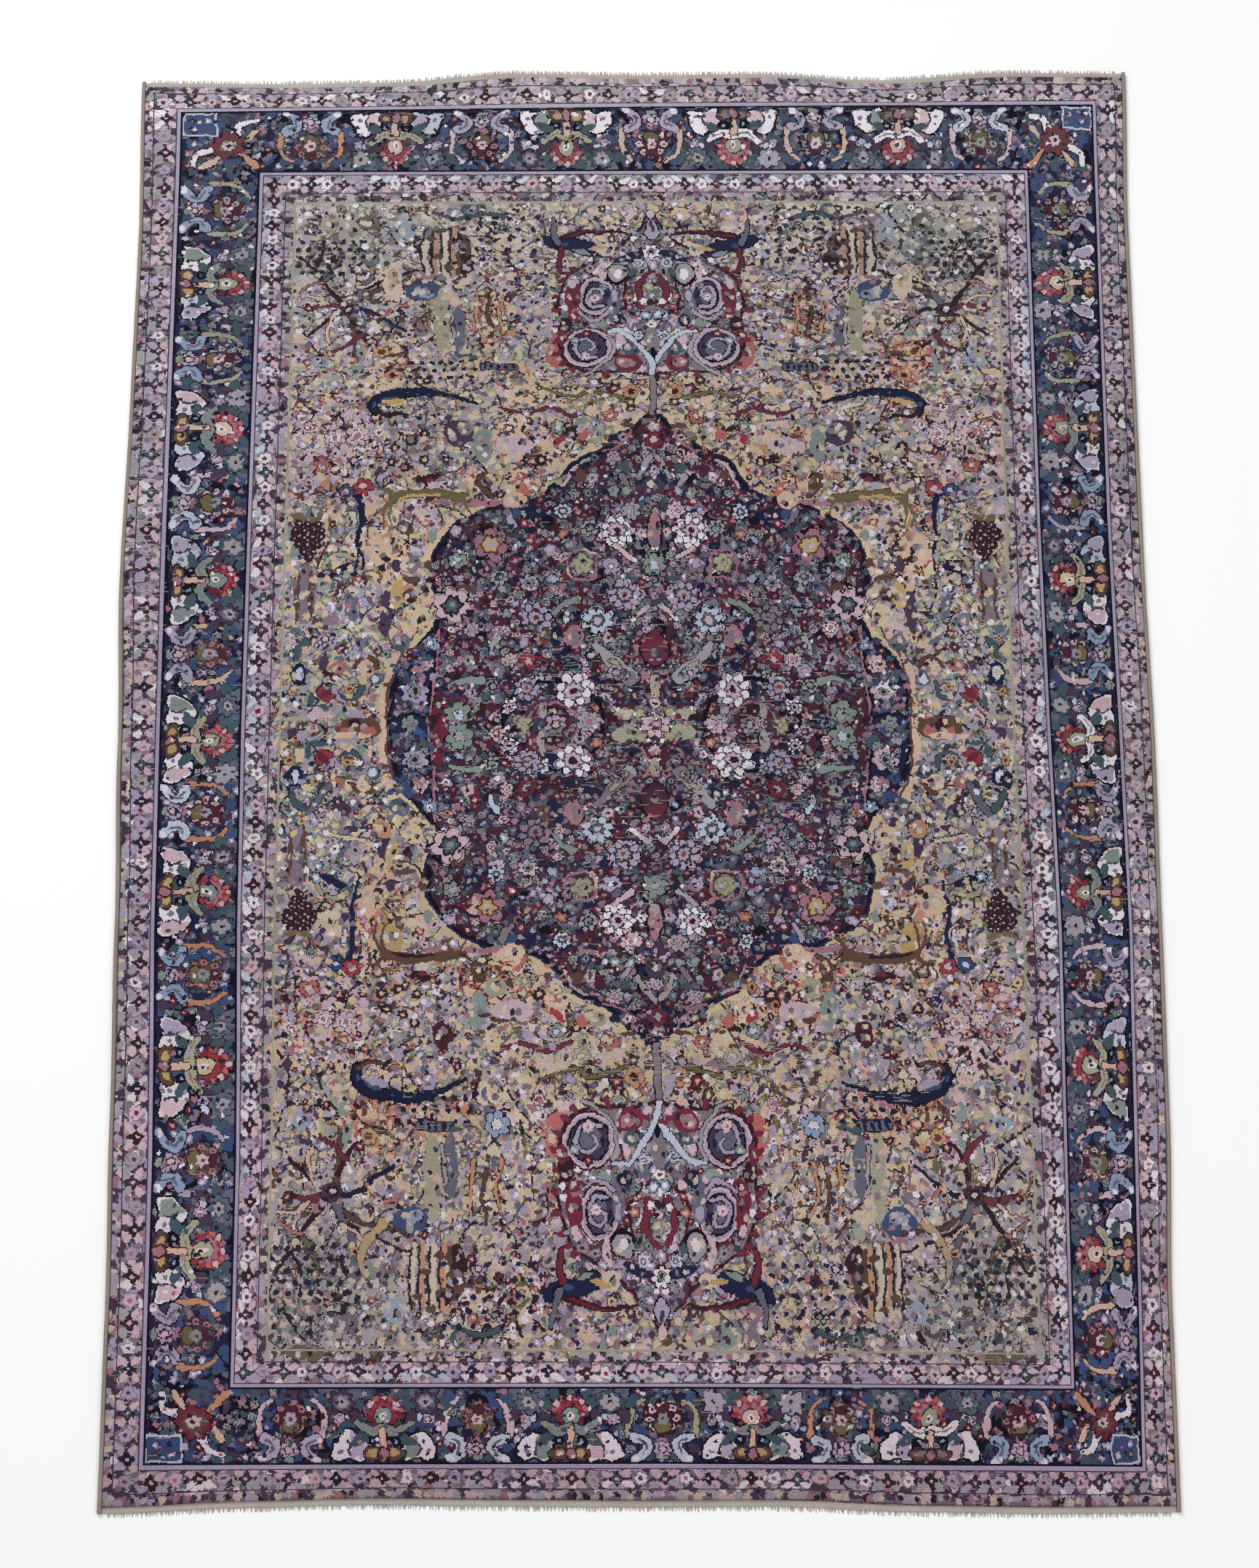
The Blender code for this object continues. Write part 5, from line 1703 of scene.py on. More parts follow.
@dataclass(frozen=True)
class Garden:
    """The pale field: flowers, trees, birds and deer, mirrored in the four quarters."""

    warm: tuple[Wool, ...] = (
        Wool.STRAW, Wool.SAND, Wool.PEACH, Wool.STRAW, Wool.PINK, Wool.SAND, Wool.SAGE, Wool.PEACH,
        Wool.GREY, Wool.APRICOT,
    )
    cool: tuple[Wool, ...] = (
        Wool.GREY, Wool.LILAC, Wool.PINK, Wool.SAGE, Wool.SAND, Wool.GREY, Wool.SEA, Wool.MAUVE,
        Wool.LILAC,
    )
    thickets: tuple[Thicket, ...] = (
        Thicket(430, 120, 56, 130, Planting.SCROLL, Wool.GREY),
        Thicket(356, 270, 34, 66, Planting.CORAL, Wool.STRAW),
        Thicket(420, 430, 60, 66, Planting.BUSH, Wool.PINK),
        Thicket(190, 385, 74, 50, Planting.CORAL, Wool.PEACH),
        Thicket(290, 430, 74, 56, Planting.COLUMN, Wool.GREY),
        Thicket(80, 500, 100, 44, Planting.GARDEN, Wool.STRAW, 17),
        Thicket(355, 555, 30, 40, Planting.CORAL, Wool.APRICOT),
        Thicket(160, 640, 24, 96, Planting.COLUMN, Wool.LILAC, 13),
        Thicket(220, 640, 20, 58, Planting.CORAL, Wool.PEACH),
        Thicket(430, 640, 54, 70, Planting.COLUMN, Wool.GREY),
        Thicket(432, 735, 44, 40, Planting.CORNER, Wool.GREY),
        Thicket(370, 790, 60, 40, Planting.COLUMN, Wool.GREY),
        Thicket(200, 770, 56, 60, Planting.COLUMN, Wool.SAND),
        Thicket(440, 545, 40, 40, Planting.COLUMN, Wool.SAGE),
    )
    head_thickets: tuple[Thicket, ...] = (
        Thicket(412, 785, 56, 44, Planting.CORNER, Wool.STRAW),
        Thicket(30, 812, 60, 22, Planting.GARDEN, Wool.STRAW, 15),
    )
    foot_thickets: tuple[Thicket, ...] = (
        Thicket(400, 806, 84, 36, Planting.CORNER, Wool.GREY),
        Thicket(220, 770, 50, 44, Planting.BUSH, Wool.SAGE),
        Thicket(230, 630, 88, 60, Planting.COLUMN, Wool.SAND),
        Thicket(290, 545, 56, 28, Planting.CORAL, Wool.APRICOT),
    )
    bed: Bed = Bed(
        spots=(
            (470, 485, 6, 8, 0, Wool.PLUM), (476, 508, 5, 6, 0, Wool.PLUM),
            (450, 555, 13, 10, 0, Wool.SKY), (312, 678, 23, 18, 10, Wool.BLUE),
            (308, 672, 13, 8, 10, Wool.SKY), (332, 786, 13, 16, 0, Wool.SKY),
            (312, 705, 14, 9, 0, Wool.ROSE), (397, 560, 8, 31, 0, Wool.SEA),
            (285, 620, 10, 60, 0, Wool.SAGE), (262, 610, 8, 42, 0, Wool.SLATE),
            (250, 820, 13, 12, 0, Wool.TEAL), (130, 572, 13, 30, 0, Wool.CORAL),
            (262, 742, 16, 36, 8, Wool.BROWN), (250, 722, 9, 18, 20, Wool.MAROON),
            (268, 768, 10, 14, 0, Wool.MAROON), (382, 736, 12, 16, 0, Wool.SLATE),
            (370, 706, 8, 11, 0, Wool.PEACH), (352, 164, 8, 34, 4, Wool.PLUM),
            (460, 190, 15, 42, 0, Wool.MAUVE), (452, 190, 4, 38, 0, Wool.BROWN),
            (470, 186, 3, 36, 0, Wool.BROWN), (388, 4, 30, 17, 0, Wool.BROWN),
            (372, 8, 7, 8, 0, Wool.CORAL), (392, -4, 8, 7, 0, Wool.MAROON),
            (404, 8, 6, 6, 0, Wool.CORAL), (376, 84, 13, 13, 0, Wool.PEACH),
            (412, 86, 11, 9, 0, Wool.CORAL), (433, 92, 6, 11, 0, Wool.PLUM),
            (466, 74, 11, 16, 0, Wool.NAVY), (465, 74, 5, 10, 0, Wool.ICE),
            (364, 68, 10, 10, 0, Wool.TEAL), (366, 67, 5, 6, 0, Wool.ICE),
            (388, 118, 12, 9, 0, Wool.SLATE), (425, 155, 10, 8, 0, Wool.MAUVE),
            (470, 140, 8, 5, 0, Wool.SLATE), (470, 10, 8, 7, 0, Wool.PLUM),
            (458, 14, 7, 9, 0, Wool.LILAC), (468, -10, 18, 4, 0, Wool.SAGE),
            (400, 15, 30, 5, 0, Wool.PEACH), (364, 256, 17, 24, 0, Wool.PEACH),
            (352, 288, 8, 20, 6, Wool.APRICOT), (354, 242, 6, 5, 0, Wool.MAROON),
            (345, 306, 9, 14, 0, Wool.SAND), (352, 210, 6, 16, 0, Wool.PEACH),
            (338, 190, 9, 22, 0, Wool.GOLD), (322, 192, 10, 9, 0, Wool.BROWN),
            (320, 214, 12, 5, 0, Wool.BROWN), (338, 232, 7, 9, 0, Wool.PLUM),
            (318, 236, 9, 12, 0, Wool.MAUVE), (298, 236, 6, 7, 0, Wool.BROWN),
            (312, 160, 12, 16, 0, Wool.STRAW), (320, 184, 6, 5, 0, Wool.MAROON),
            (332, 120, 12, 13, 0, Wool.SLATE), (334, 112, 6, 6, 0, Wool.TEAL),
            (400, 172, 8, 22, -12, Wool.SLATE), (396, 322, 9, 12, 0, Wool.SLATE),
            (330, 290, 10, 10, 0, Wool.BROWN), (312, 262, 9, 9, 0, Wool.ICE),
            (316, 268, 4, 4, 0, Wool.NAVY), (292, 278, 6, 10, 0, Wool.SEA),
            (240, 326, 60, 5, 0, Wool.ROSE), (185, 330, 16, 12, 0, Wool.PEACH),
            (172, 346, 5, 12, -30, Wool.CORAL), (185, 412, 26, 13, 0, Wool.PINK),
            (205, 380, 15, 14, 0, Wool.SAGE), (228, 412, 12, 26, 0, Wool.SEA),
            (118, 414, 9, 9, 0, Wool.PEACH), (126, 420, 6, 10, 40, Wool.RED),
            (200, 427, 9, 4, 0, Wool.BROWN), (104, 438, 10, 5, 0, Wool.UMBER),
            (94, 428, 8, 9, 0, Wool.CORAL), (75, 428, 9, 12, 0, Wool.SAGE),
            (35, 443, 11, 4, 0, Wool.BROWN), (173, 392, 3, 6, 0, Wool.UMBER),
            (225, 356, 9, 16, -20, Wool.BROWN),
        ),
        strokes=(
            (Wool.NAVY, 8, 4, ((396, 345), (389, 318), (388, 296), (391, 270), (386, 248), (385, 228))),
            (Wool.ICE, 6, 4, ((399, 314), (397, 298))),
            (Wool.SAGE, 8, 5, ((398, 244), (414, 250), (430, 242), (436, 230))),
            (Wool.NAVY, 11, 7, ((404, 232), (416, 226), (430, 216))),
            (Wool.TEAL, 6, 4, ((383, 62), (386, 46), (398, 38), (412, 44))),
            (Wool.BROWN, 5, 3, ((364, 86), (370, 98), (384, 98), (394, 84))),
            (Wool.TEAL, 10, 5, ((456, 122), (466, 112), (470, 98))),
            (Wool.LILAC, 9, 6, ((420, 56), (416, 44), (408, 36))),
            (Wool.MAROON, 8, 4, ((411, 643), (440, 626), (470, 594))),
            (Wool.CRIMSON, 9, 5, ((411, 643), (436, 652), (464, 646))),
            (Wool.MAROON, 8, 4, ((411, 643), (430, 668), (447, 694), (458, 715), (476, 738))),
            (Wool.BROWN, 8, 4, ((408, 650), (402, 604), (404, 560))),
            (Wool.MAROON, 7, 4, ((404, 622), (388, 590), (366, 566))),
            (Wool.NAVY, 8, 4, ((413, 648), (380, 642), (352, 622), (328, 604))),
            (Wool.BROWN, 7, 3, ((404, 662), (374, 680), (346, 686), (316, 692))),
            (Wool.SLATE, 9, 5, ((406, 655), (392, 684), (381, 712))),
            (Wool.OLIVE, 6, 3, ((447, 694), (432, 716), (424, 744))),
            (Wool.PEACH, 5, 3, ((432, 632), (440, 606), (436, 586))),
            (Wool.CORAL, 5, 3, ((447, 694), (462, 690), (476, 674))),
            (Wool.PEACH, 5, 3, ((440, 656), (458, 668), (478, 664))),
            (Wool.PEACH, 5, 3, ((398, 682), (380, 694), (360, 720))),
            (Wool.CRIMSON, 6, 3, ((394, 602), (410, 584), (432, 572))),
            (Wool.CORAL, 5, 3, ((366, 632), (350, 650), (330, 652))),
            (Wool.MAROON, 6, 3, ((388, 684), (352, 700), (318, 712), (292, 706))),
            (Wool.BROWN, 5, 3, ((372, 574), (352, 566), (334, 572))),
            (Wool.UMBER, 5, 3, ((458, 715), (448, 738), (450, 764))),
            (Wool.APRICOT, 5, 3, ((200, 604), (206, 636), (200, 668))),
            (Wool.BROWN, 5, 3, ((216, 600), (222, 640), (218, 680))),
            (Wool.APRICOT, 5, 3, ((234, 604), (238, 640), (236, 676))),
            (Wool.GREY, 5, 3, ((272, 585), (270, 615), (272, 644))),
            (Wool.CRIMSON, 6, 3, ((110, 456), (140, 470), (176, 460), (204, 472))),
            (Wool.OLIVE, 6, 3, ((40, 486), (76, 500), (110, 490), (150, 506))),
            (Wool.TEAL, 6, 3, ((196, 806), (226, 816), (262, 806), (300, 818))),
            (Wool.BROWN, 6, 3, ((216, 336), (232, 352), (230, 366), (220, 372))),
        ),
        blooms=(
            (432, 184, 10, Bloom.SAGE_BUD), (410, 112, 9, Bloom.DARK_ROSE),
            (432, 126, 11, Bloom.LILAC_ROSE), (400, 54, 8, Bloom.GOLDEN), (352, 104, 8, Bloom.SEA_BUD),
            (474, 50, 8, Bloom.GOLDEN), (388, 350, 13, Bloom.RED_ROSE), (410, 346, 11, Bloom.BLUE_BUD),
            (350, 387, 8, Bloom.BERRY), (330, 380, 8, Bloom.BERRY), (306, 390, 8, Bloom.BERRY),
            (345, 409, 8, Bloom.BERRY), (325, 420, 8, Bloom.BERRY), (308, 431, 8, Bloom.BERRY),
            (395, 430, 17, Bloom.BLUSH_ROSE), (425, 425, 14, Bloom.BLUSH_ROSE),
            (442, 382, 12, Bloom.CORAL_ROSE), (462, 440, 10, Bloom.PINK_ROSE),
            (411, 644, 13, Bloom.DARK_ROSE), (424, 610, 9, Bloom.LILAC_ROSE),
            (470, 592, 7, Bloom.PINK_BUD), (466, 648, 8, Bloom.WINE_BUD),
            (403, 556, 8, Bloom.CORAL_ROSE), (328, 602, 8, Bloom.PINK_BUD), (381, 714, 8, Bloom.ORANGE),
            (376, 586, 8, Bloom.WINE_BUD), (350, 530, 12, Bloom.ORANGE),
            (338, 556, 10, Bloom.CORAL_ROSE), (366, 572, 11, Bloom.GOLDEN),
            (352, 652, 8, Bloom.PINK_BUD), (250, 820, 9, Bloom.SEA_BUD),
            (204, 790, 11, Bloom.GREY_ROSE), (225, 735, 11, Bloom.LILAC_ROSE),
            (200, 748, 8, Bloom.WINE_BUD), (150, 390, 10, Bloom.BERRY), (276, 390, 8, Bloom.DARK_ROSE),
            (160, 368, 8, Bloom.GREY_ROSE), (128, 440, 11, Bloom.SEA_ROSE),
            (244, 400, 8, Bloom.GREY_BUD), (60, 458, 11, Bloom.CORAL_ROSE), (30, 500, 13, Bloom.ORANGE),
            (98, 476, 11, Bloom.SAGE_BUD), (150, 530, 10, Bloom.PINK_ROSE),
            (112, 522, 9, Bloom.GREY_ROSE), (250, 556, 8, Bloom.SAGE_BUD), (304, 520, 7, Bloom.BERRY),
            (440, 330, 9, Bloom.GREY_ROSE), (458, 356, 8, Bloom.PINK_BUD), (330, 340, 8, Bloom.GOLDEN),
            (30, 480, 9, Bloom.BROWN_BUD), (52, 506, 10, Bloom.WINE_BUD),
            (16, 516, 7, Bloom.CORAL_ROSE), (66, 522, 9, Bloom.BROWN_BUD), (22, 800, 9, Bloom.SAGE_BUD),
            (40, 786, 8, Bloom.BROWN_BUD), (268, 334, 8, Bloom.PINK_BUD), (296, 318, 7, Bloom.PINK_BUD),
            (302, 298, 7, Bloom.CORAL_ROSE),
        ),
    )
    head_bed: Bed = Bed(
        spots=(
            (352, 690, 13, 30, -6, Wool.PEACH), (352, 700, 7, 18, -6, Wool.GOLD),
            (260, 430, 20, 21, -30, Wool.PLUM), (252, 436, 10, 10, 0, Wool.MAUVE),
            (414, 786, 16, 22, 0, Wool.SAGE), (384, 800, 14, 14, 0, Wool.OLIVE),
            (440, 800, 14, 12, 0, Wool.GOLD),
        ),
    )
    foot_bed: Bed = Bed(
        spots=(
            (272, 445, 13, 20, 0, Wool.BURGUNDY), (340, 312, 17, 24, 10, Wool.GOLD),
            (352, 152, 10, 14, 30, Wool.APRICOT), (458, 190, 6, 15, 0, Wool.SLATE),
            (405, 124, 14, 10, 0, Wool.PLUM), (392, 152, 10, 5, 0, Wool.PLUM),
            (440, 838, 24, 10, 0, Wool.OLIVE), (390, 800, 16, 10, 0, Wool.SLATE),
            (474, 80, 8, 14, 0, Wool.NAVY),
        ),
        strokes=(
            (Wool.GOLD, 13, 6, ((344, 680), (362, 698), (374, 722), (370, 742))),
            (Wool.SLATE, 11, 9, ((424, 90), (438, 112), (450, 130))),
            (Wool.SAND, 6, 5, ((376, 170), (396, 166), (420, 160))),
        ),
        blooms=(
            (412, 182, 9, Bloom.IVORY_BUD), (436, 222, 9, Bloom.SKY_BUD), (412, 145, 9, Bloom.SAGE_BUD),
        ),
    )

    def draw(self, cartoon: Cartoon, salt: int) -> None:
        """Draws the whole field round the medallion and pendants."""
        field = cartoon.ground(Wool.CAMEL)
        for quarter in Quarter:
            cartoon.turn_to(quarter, salt)
            self.clouds(cartoon, field)
            cartoon.sow(field, 18.5, Planting.GARDEN)
            for thicket in self.thickets + (self.head_thickets if quarter.at_head else self.foot_thickets):
                thicket.draw(cartoon, field)
            cartoon.sow(field, 18.0, Planting.SPECKS)
            self.sprigs(cartoon, field)
            self.bed.draw(cartoon)
            (self.head_bed if quarter.at_head else self.foot_bed).draw(cartoon)
            cartoon.sow(field, 22.0, Planting.SPECKS)
            self.figures(cartoon)
            self.animals(cartoon)

    def clouds(self, cartoon: Cartoon, field: Array) -> None:
        """Breaks the ground into patches, golden near the middle and greyer towards the corners."""
        chance = cartoon.chance
        for x, y in cartoon.scatter(field, 32):
            half_width, half_height = chance.uniform(11, 25, 2)
            cloud = cartoon.within(x, y, half_width, half_height) & field
            golden = math.hypot(max(x - 190, 0) / 250, max(y - 330, 0) / 330) < chance.uniform(0.3, 1.25)
            wools = self.warm if golden else self.cool
            cartoon.knots[cloud] = WOOL_NUMBER[pick(chance, wools)]

    @staticmethod
    def sprigs(cartoon: Cartoon, field: Array) -> None:
        """Strews short dark twigs over the field."""
        chance = cartoon.chance
        woods = (Wool.UMBER, Wool.BROWN, Wool.PLUM, Wool.OLIVE, Wool.SLATE, Wool.MAROON, Wool.NAVY)
        leaves = (Wool.OLIVE, Wool.SEA, Wool.BROWN, Wool.SLATE, Wool.MAUVE, Wool.SAGE)
        buds = (
            Bloom.PINK_BUD, Bloom.CORAL_ROSE, Bloom.SAGE_BUD, Bloom.WINE_BUD, Bloom.LILAC_BUD,
            Bloom.ORANGE,
        )
        for x, y in cartoon.scatter(field, 40):
            wood, leaf, bud = pick(chance, woods), pick(chance, leaves), pick(chance, buds)
            sprig = Sprig(wood, leaf, bud, chance.uniform(4, 16))
            cartoon.put(sprig, x, y, chance.uniform(0, 360), 1, chance.uniform(0.7, 1.1))

    @staticmethod
    def figures(cartoon: Cartoon) -> None:
        """Draws the trees, the grapes, the tulips and the small building of a quarter."""
        put = cartoon.put
        put(Grapes(), 458, 276)
        put(Tulip(), 436, 40, 40)
        patch = cartoon.patch(290, 750, 90)
        for number, x in enumerate((-20, -8, 4, 16)):
            trunk = Wool.SAND if number % 2 else Wool.APRICOT
            patch.line(((x, -44), (x + 2, -10), (x, 40 - 6 * number)), 6, trunk)
            patch.line(((x + 5, -40), (x + 7, 0), (x + 5, 34)), 3, Wool.UMBER)
        for x, y in ((-14, -30), (2, -12), (12, 20), (-16, 14), (-4, 34)):
            patch.oval(x, y, 7, 5, Wool.BROWN)
        bar_x, bar_y = (206, 544) if cartoon.quarter.at_head else (280, 559)
        patch = cartoon.patch(bar_x, bar_y, 40)
        patch.line(((-19, 0), (0, 1), (19, 0)), 15, Wool.UMBER)
        patch.line(((-19, 0), (0, 1), (19, 0)), 11, Wool.SLATE)
        for column in range(-2, 3):
            patch.oval(column * 9, 1, 2.6, 5, Wool.NAVY)
        if not cartoon.quarter.at_head:
            put(Flower(Bloom.SKY_BUD, 17), 203, 559)
        for middle_x, middle_y, step, low in ((435, 738, 14, -2), (280, 540, 14, -1), (214, 768, 19, -2)):
            patch = cartoon.patch(middle_x, middle_y, 60)
            for row in range(low, -low + 1):
                for column in range(-2 + low // 2, 3 - low // 2):
                    shift = 5 * (row % 2)
                    wool = Wool.NAVY if (row + column) % 3 else Wool.UMBER
                    patch.oval(column * step + shift, row * step, 3.7, 3.6, wool)

    @staticmethod
    def animals(cartoon: Cartoon) -> None:
        """Draws the birds and the deer of a quarter."""
        if cartoon.quarter.at_head:
            cartoon.put(Peacock(), 309, 492)
        else:
            cartoon.put(Peacock(Wool.NAVY, Wool.BROWN, Wool.LILAC), 316, 518)
        coat, belly = (Wool.OLIVE, Wool.GOLD) if cartoon.quarter.at_head else (Wool.BROWN, Wool.MAROON)
        cartoon.put(Deer(coat, belly), 305, 330, 0, 1, 1.1)
        cartoon.put(SmallBird(Wool.MAROON, Wool.CRIMSON), 300, 362, 0, 1, 1.2)
        cartoon.put(SmallBird(Wool.TEAL, Wool.GOLD), 250, 560, 0, -1, 1.1)


@dataclass(frozen=True)
class Dyeing:
    """What the dye bath and age have made of the wools: dye lots, fading, dust and wear."""

    knot_variation: float = 0.075
    row_variation: float = 0.028
    patch_variation: float = 0.07
    fade: float = 0.10
    head_grey: float = 0.28
    head_from: float = 0.35
    head_bleach: float = 0.13
    foot_soil: float = 0.16
    foot_warmth: tuple[float, float, float] = (0.10, -0.02, 0.0)
    warm_from: float = 0.2
    corner_fade: float = 0.35
    patchy_fade: float = 0.05
    # Where each of these starts and over what length it grows, in the drawing's millimetres
    bleach_zone: tuple[float, float] = (790.0, 60.0)
    soil_zone: tuple[float, float] = (940.0, 60.0)
    corner_across: tuple[float, float] = (160.0, 220.0)
    corner_along: tuple[float, float] = (560.0, 180.0)
    corner_limits: tuple[float, float] = (500.0, 845.0)
    worn_run: int = 9
    stray_wear: float = 0.002
    bareness: float = 0.55
    worn_wool: tuple[float, float, float] = (0.34, 0.30, 0.28)
    # (x, y, half width, half height, share of worn knots), in the woven drawing's millimetres
    worn: tuple[tuple[float, float, float, float, float], ...] = (
        (20, -478, 250, 34, 0.30),
        (-60, 470, 190, 26, 0.12),
        (250, -520, 120, 30, 0.16),
        (-300, -560, 120, 40, 0.14),
        (0, 1000, 560, 34, 0.16),
        (0, 862, 420, 22, 0.14),
        (-655, 300, 26, 420, 0.12),
        (655, -200, 26, 500, 0.14),
        (0, 0, 300, 380, 0.04),
    )

    def colours(self, cartoon: Cartoon) -> Array:
        """Works out the colour of every knot.

        Args:
            cartoon: The finished drawing.

        Returns:
            Linear red, green and blue for each knot.
        """
        chance = np.random.default_rng(SEED + 7)
        knots = cartoon.knots
        rows, columns = knots.shape
        dyes = np.array([wool.value.light() for wool in Wool])
        streaks = np.array([wool.value.streak for wool in Wool])
        lots = np.stack([patchy((rows, 2), (26, 1), chance)[:, 0] for _ in Wool])
        colour = dyes[knots]
        strength = 1 + streaks[knots] * lots[knots, np.arange(rows)[:, None]]
        strength *= 1 + self.knot_variation * chance.standard_normal(knots.shape)
        strength *= 1 + self.row_variation * chance.standard_normal((rows, 1))
        strength *= 1 + self.patch_variation * patchy(knots.shape, (14, 10), chance)
        strength *= 1 + 0.5 * self.patch_variation * patchy(knots.shape, (60, 44), chance)
        colour = colour * strength[:, :, None]
        towards_head = np.clip(cartoon.y / PILE_HALF_LENGTH, -1, 1)[:, None]
        grey = self.fade + self.head_grey * ramp(towards_head, self.head_from, 1)
        over, up = np.abs(cartoon.x), np.abs(cartoon.y)
        far_out = ramp(over, *self.corner_across) * (over < self.corner_limits[0])
        far_up = ramp(up, *self.corner_along) * (up < self.corner_limits[1])
        grey = grey + self.corner_fade * far_up[:, None] * far_out[None, :]
        grey = grey + self.patchy_fade * patchy(knots.shape, (9, 7), chance)
        level = colour.mean(axis=2, keepdims=True)
        colour += (level - colour) * grey[:, :, None]
        colour *= 1 + ramp(-towards_head, self.warm_from, 1)[:, :, None] * np.array(self.foot_warmth)
        colour *= 1 - self.foot_soil * ramp(-cartoon.y, *self.soil_zone)[:, None, None]
        colour *= 1 + self.head_bleach * ramp(cartoon.y, *self.bleach_zone)[:, None, None]
        self.wear(cartoon, colour, chance)
        return np.clip(colour, 0.003, 1.0)

    def wear(self, cartoon: Cartoon, colour: Array, chance: np.random.Generator) -> None:
        """Bares the pale weft in short runs of knots where the pile is worn.

        Args:
            cartoon: The drawing, for its knots' places.
            colour: The knots' colours, changed in place.
            chance: Source of the random runs.
        """
        run = self.worn_run
        rows, columns = cartoon.knots.shape
        starts = chance.random((rows, columns // run + 2))
        shift = chance.integers(0, run, rows)
        index = (np.arange(columns)[None, :] + shift[:, None]) // run
        level = np.take_along_axis(starts, index, axis=1)
        share = np.full((rows, columns), self.stray_wear)
        for x, y, half_width, half_height, worn in self.worn:
            over = ((cartoon.x - x) / half_width)[None, :] ** 2
            up = ((cartoon.y - y) / half_height)[:, None] ** 2
            share += worn * np.clip(1 - over - up, 0, 1)
        bare = level < share
        weft = np.array(self.worn_wool) * (1 + 0.1 * chance.standard_normal((int(bare.sum()), 1)))
        colour[bare] += (weft - colour[bare]) * self.bareness


def deselect_all() -> None:
    """Clears the selection, because operators act on all that is selected."""
    if bpy.context.mode != "OBJECT":
        bpy.ops.object.mode_set(mode="OBJECT")
    bpy.ops.object.select_all(action="DESELECT")


def select_only(piece: bpy.types.Object) -> None:
    """Makes a piece the only selected and the active one."""
    deselect_all()
    piece.select_set(True)
    bpy.context.view_layer.objects.active = piece


def apply_modifiers(piece: bpy.types.Object) -> None:
    """Applies a piece's modifiers in their order."""
    select_only(piece)
    for modifier in list(piece.modifiers):
        bpy.ops.object.modifier_apply(modifier=modifier.name)


def new_grid(name: str, across: int, along: int) -> bpy.types.Object:
    """Adds a flat grid from -1 to +1 both ways, with so many cells across and along."""
    deselect_all()
    bpy.ops.mesh.primitive_grid_add(x_subdivisions=across, y_subdivisions=along, size=2.0)
    piece = bpy.context.object
    piece.name = name
    return piece


def vertex_places(mesh: bpy.types.Mesh) -> Array:
    """Gives X, Y and Z of each of a mesh's vertices."""
    spots = np.empty(len(mesh.vertices) * 3)
    mesh.vertices.foreach_get("co", spots)
    return spots.reshape(-1, 3)


def corner_owners(mesh: bpy.types.Mesh) -> Array:
    """Gives the number of the vertex at each corner of a mesh's faces."""
    owner = np.empty(len(mesh.loops), int)
    mesh.loops.foreach_get("vertex_index", owner)
    return owner


def turn_outwards(piece: bpy.types.Object) -> None:
    """Turns all of a piece's faces outwards."""
    select_only(piece)
    bpy.ops.object.mode_set(mode="EDIT")
    bpy.ops.mesh.select_all(action="SELECT")
    bpy.ops.mesh.normals_make_consistent(inside=False)
    bpy.ops.object.mode_set(mode="OBJECT")


def smooth(piece: bpy.types.Object, crease: float = 60.0) -> None:
    """Shades a piece smoothly but for edges sharper than an angle in degrees."""
    select_only(piece)
    bpy.ops.object.shade_smooth_by_angle(angle=math.radians(crease))


def dress(
    piece: bpy.types.Object, slot: str, material: bpy.types.Material, *nodes: str
) -> bpy.types.Object:
    """Finishes a piece: its material, its body and the solids it stands for.

    Args:
        piece: The modelled piece.
        slot: Not used.
        material: The piece's finish.
        *nodes: Names of the solids that it replaces.

    Returns:
        The piece.
    """
    piece.data.materials.clear()
    piece.data.materials.append(material)
    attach(piece, "root")
    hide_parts(*nodes)
    log.info("%s: %d faces", piece.name, len(piece.data.polygons))
    return piece


@dataclass(frozen=True)
class Block:
    """A block of the lattice that is one piece of pile: its name, and its first and last lines."""

    name: str
    left: int
    right: int
    low: int
    high: int


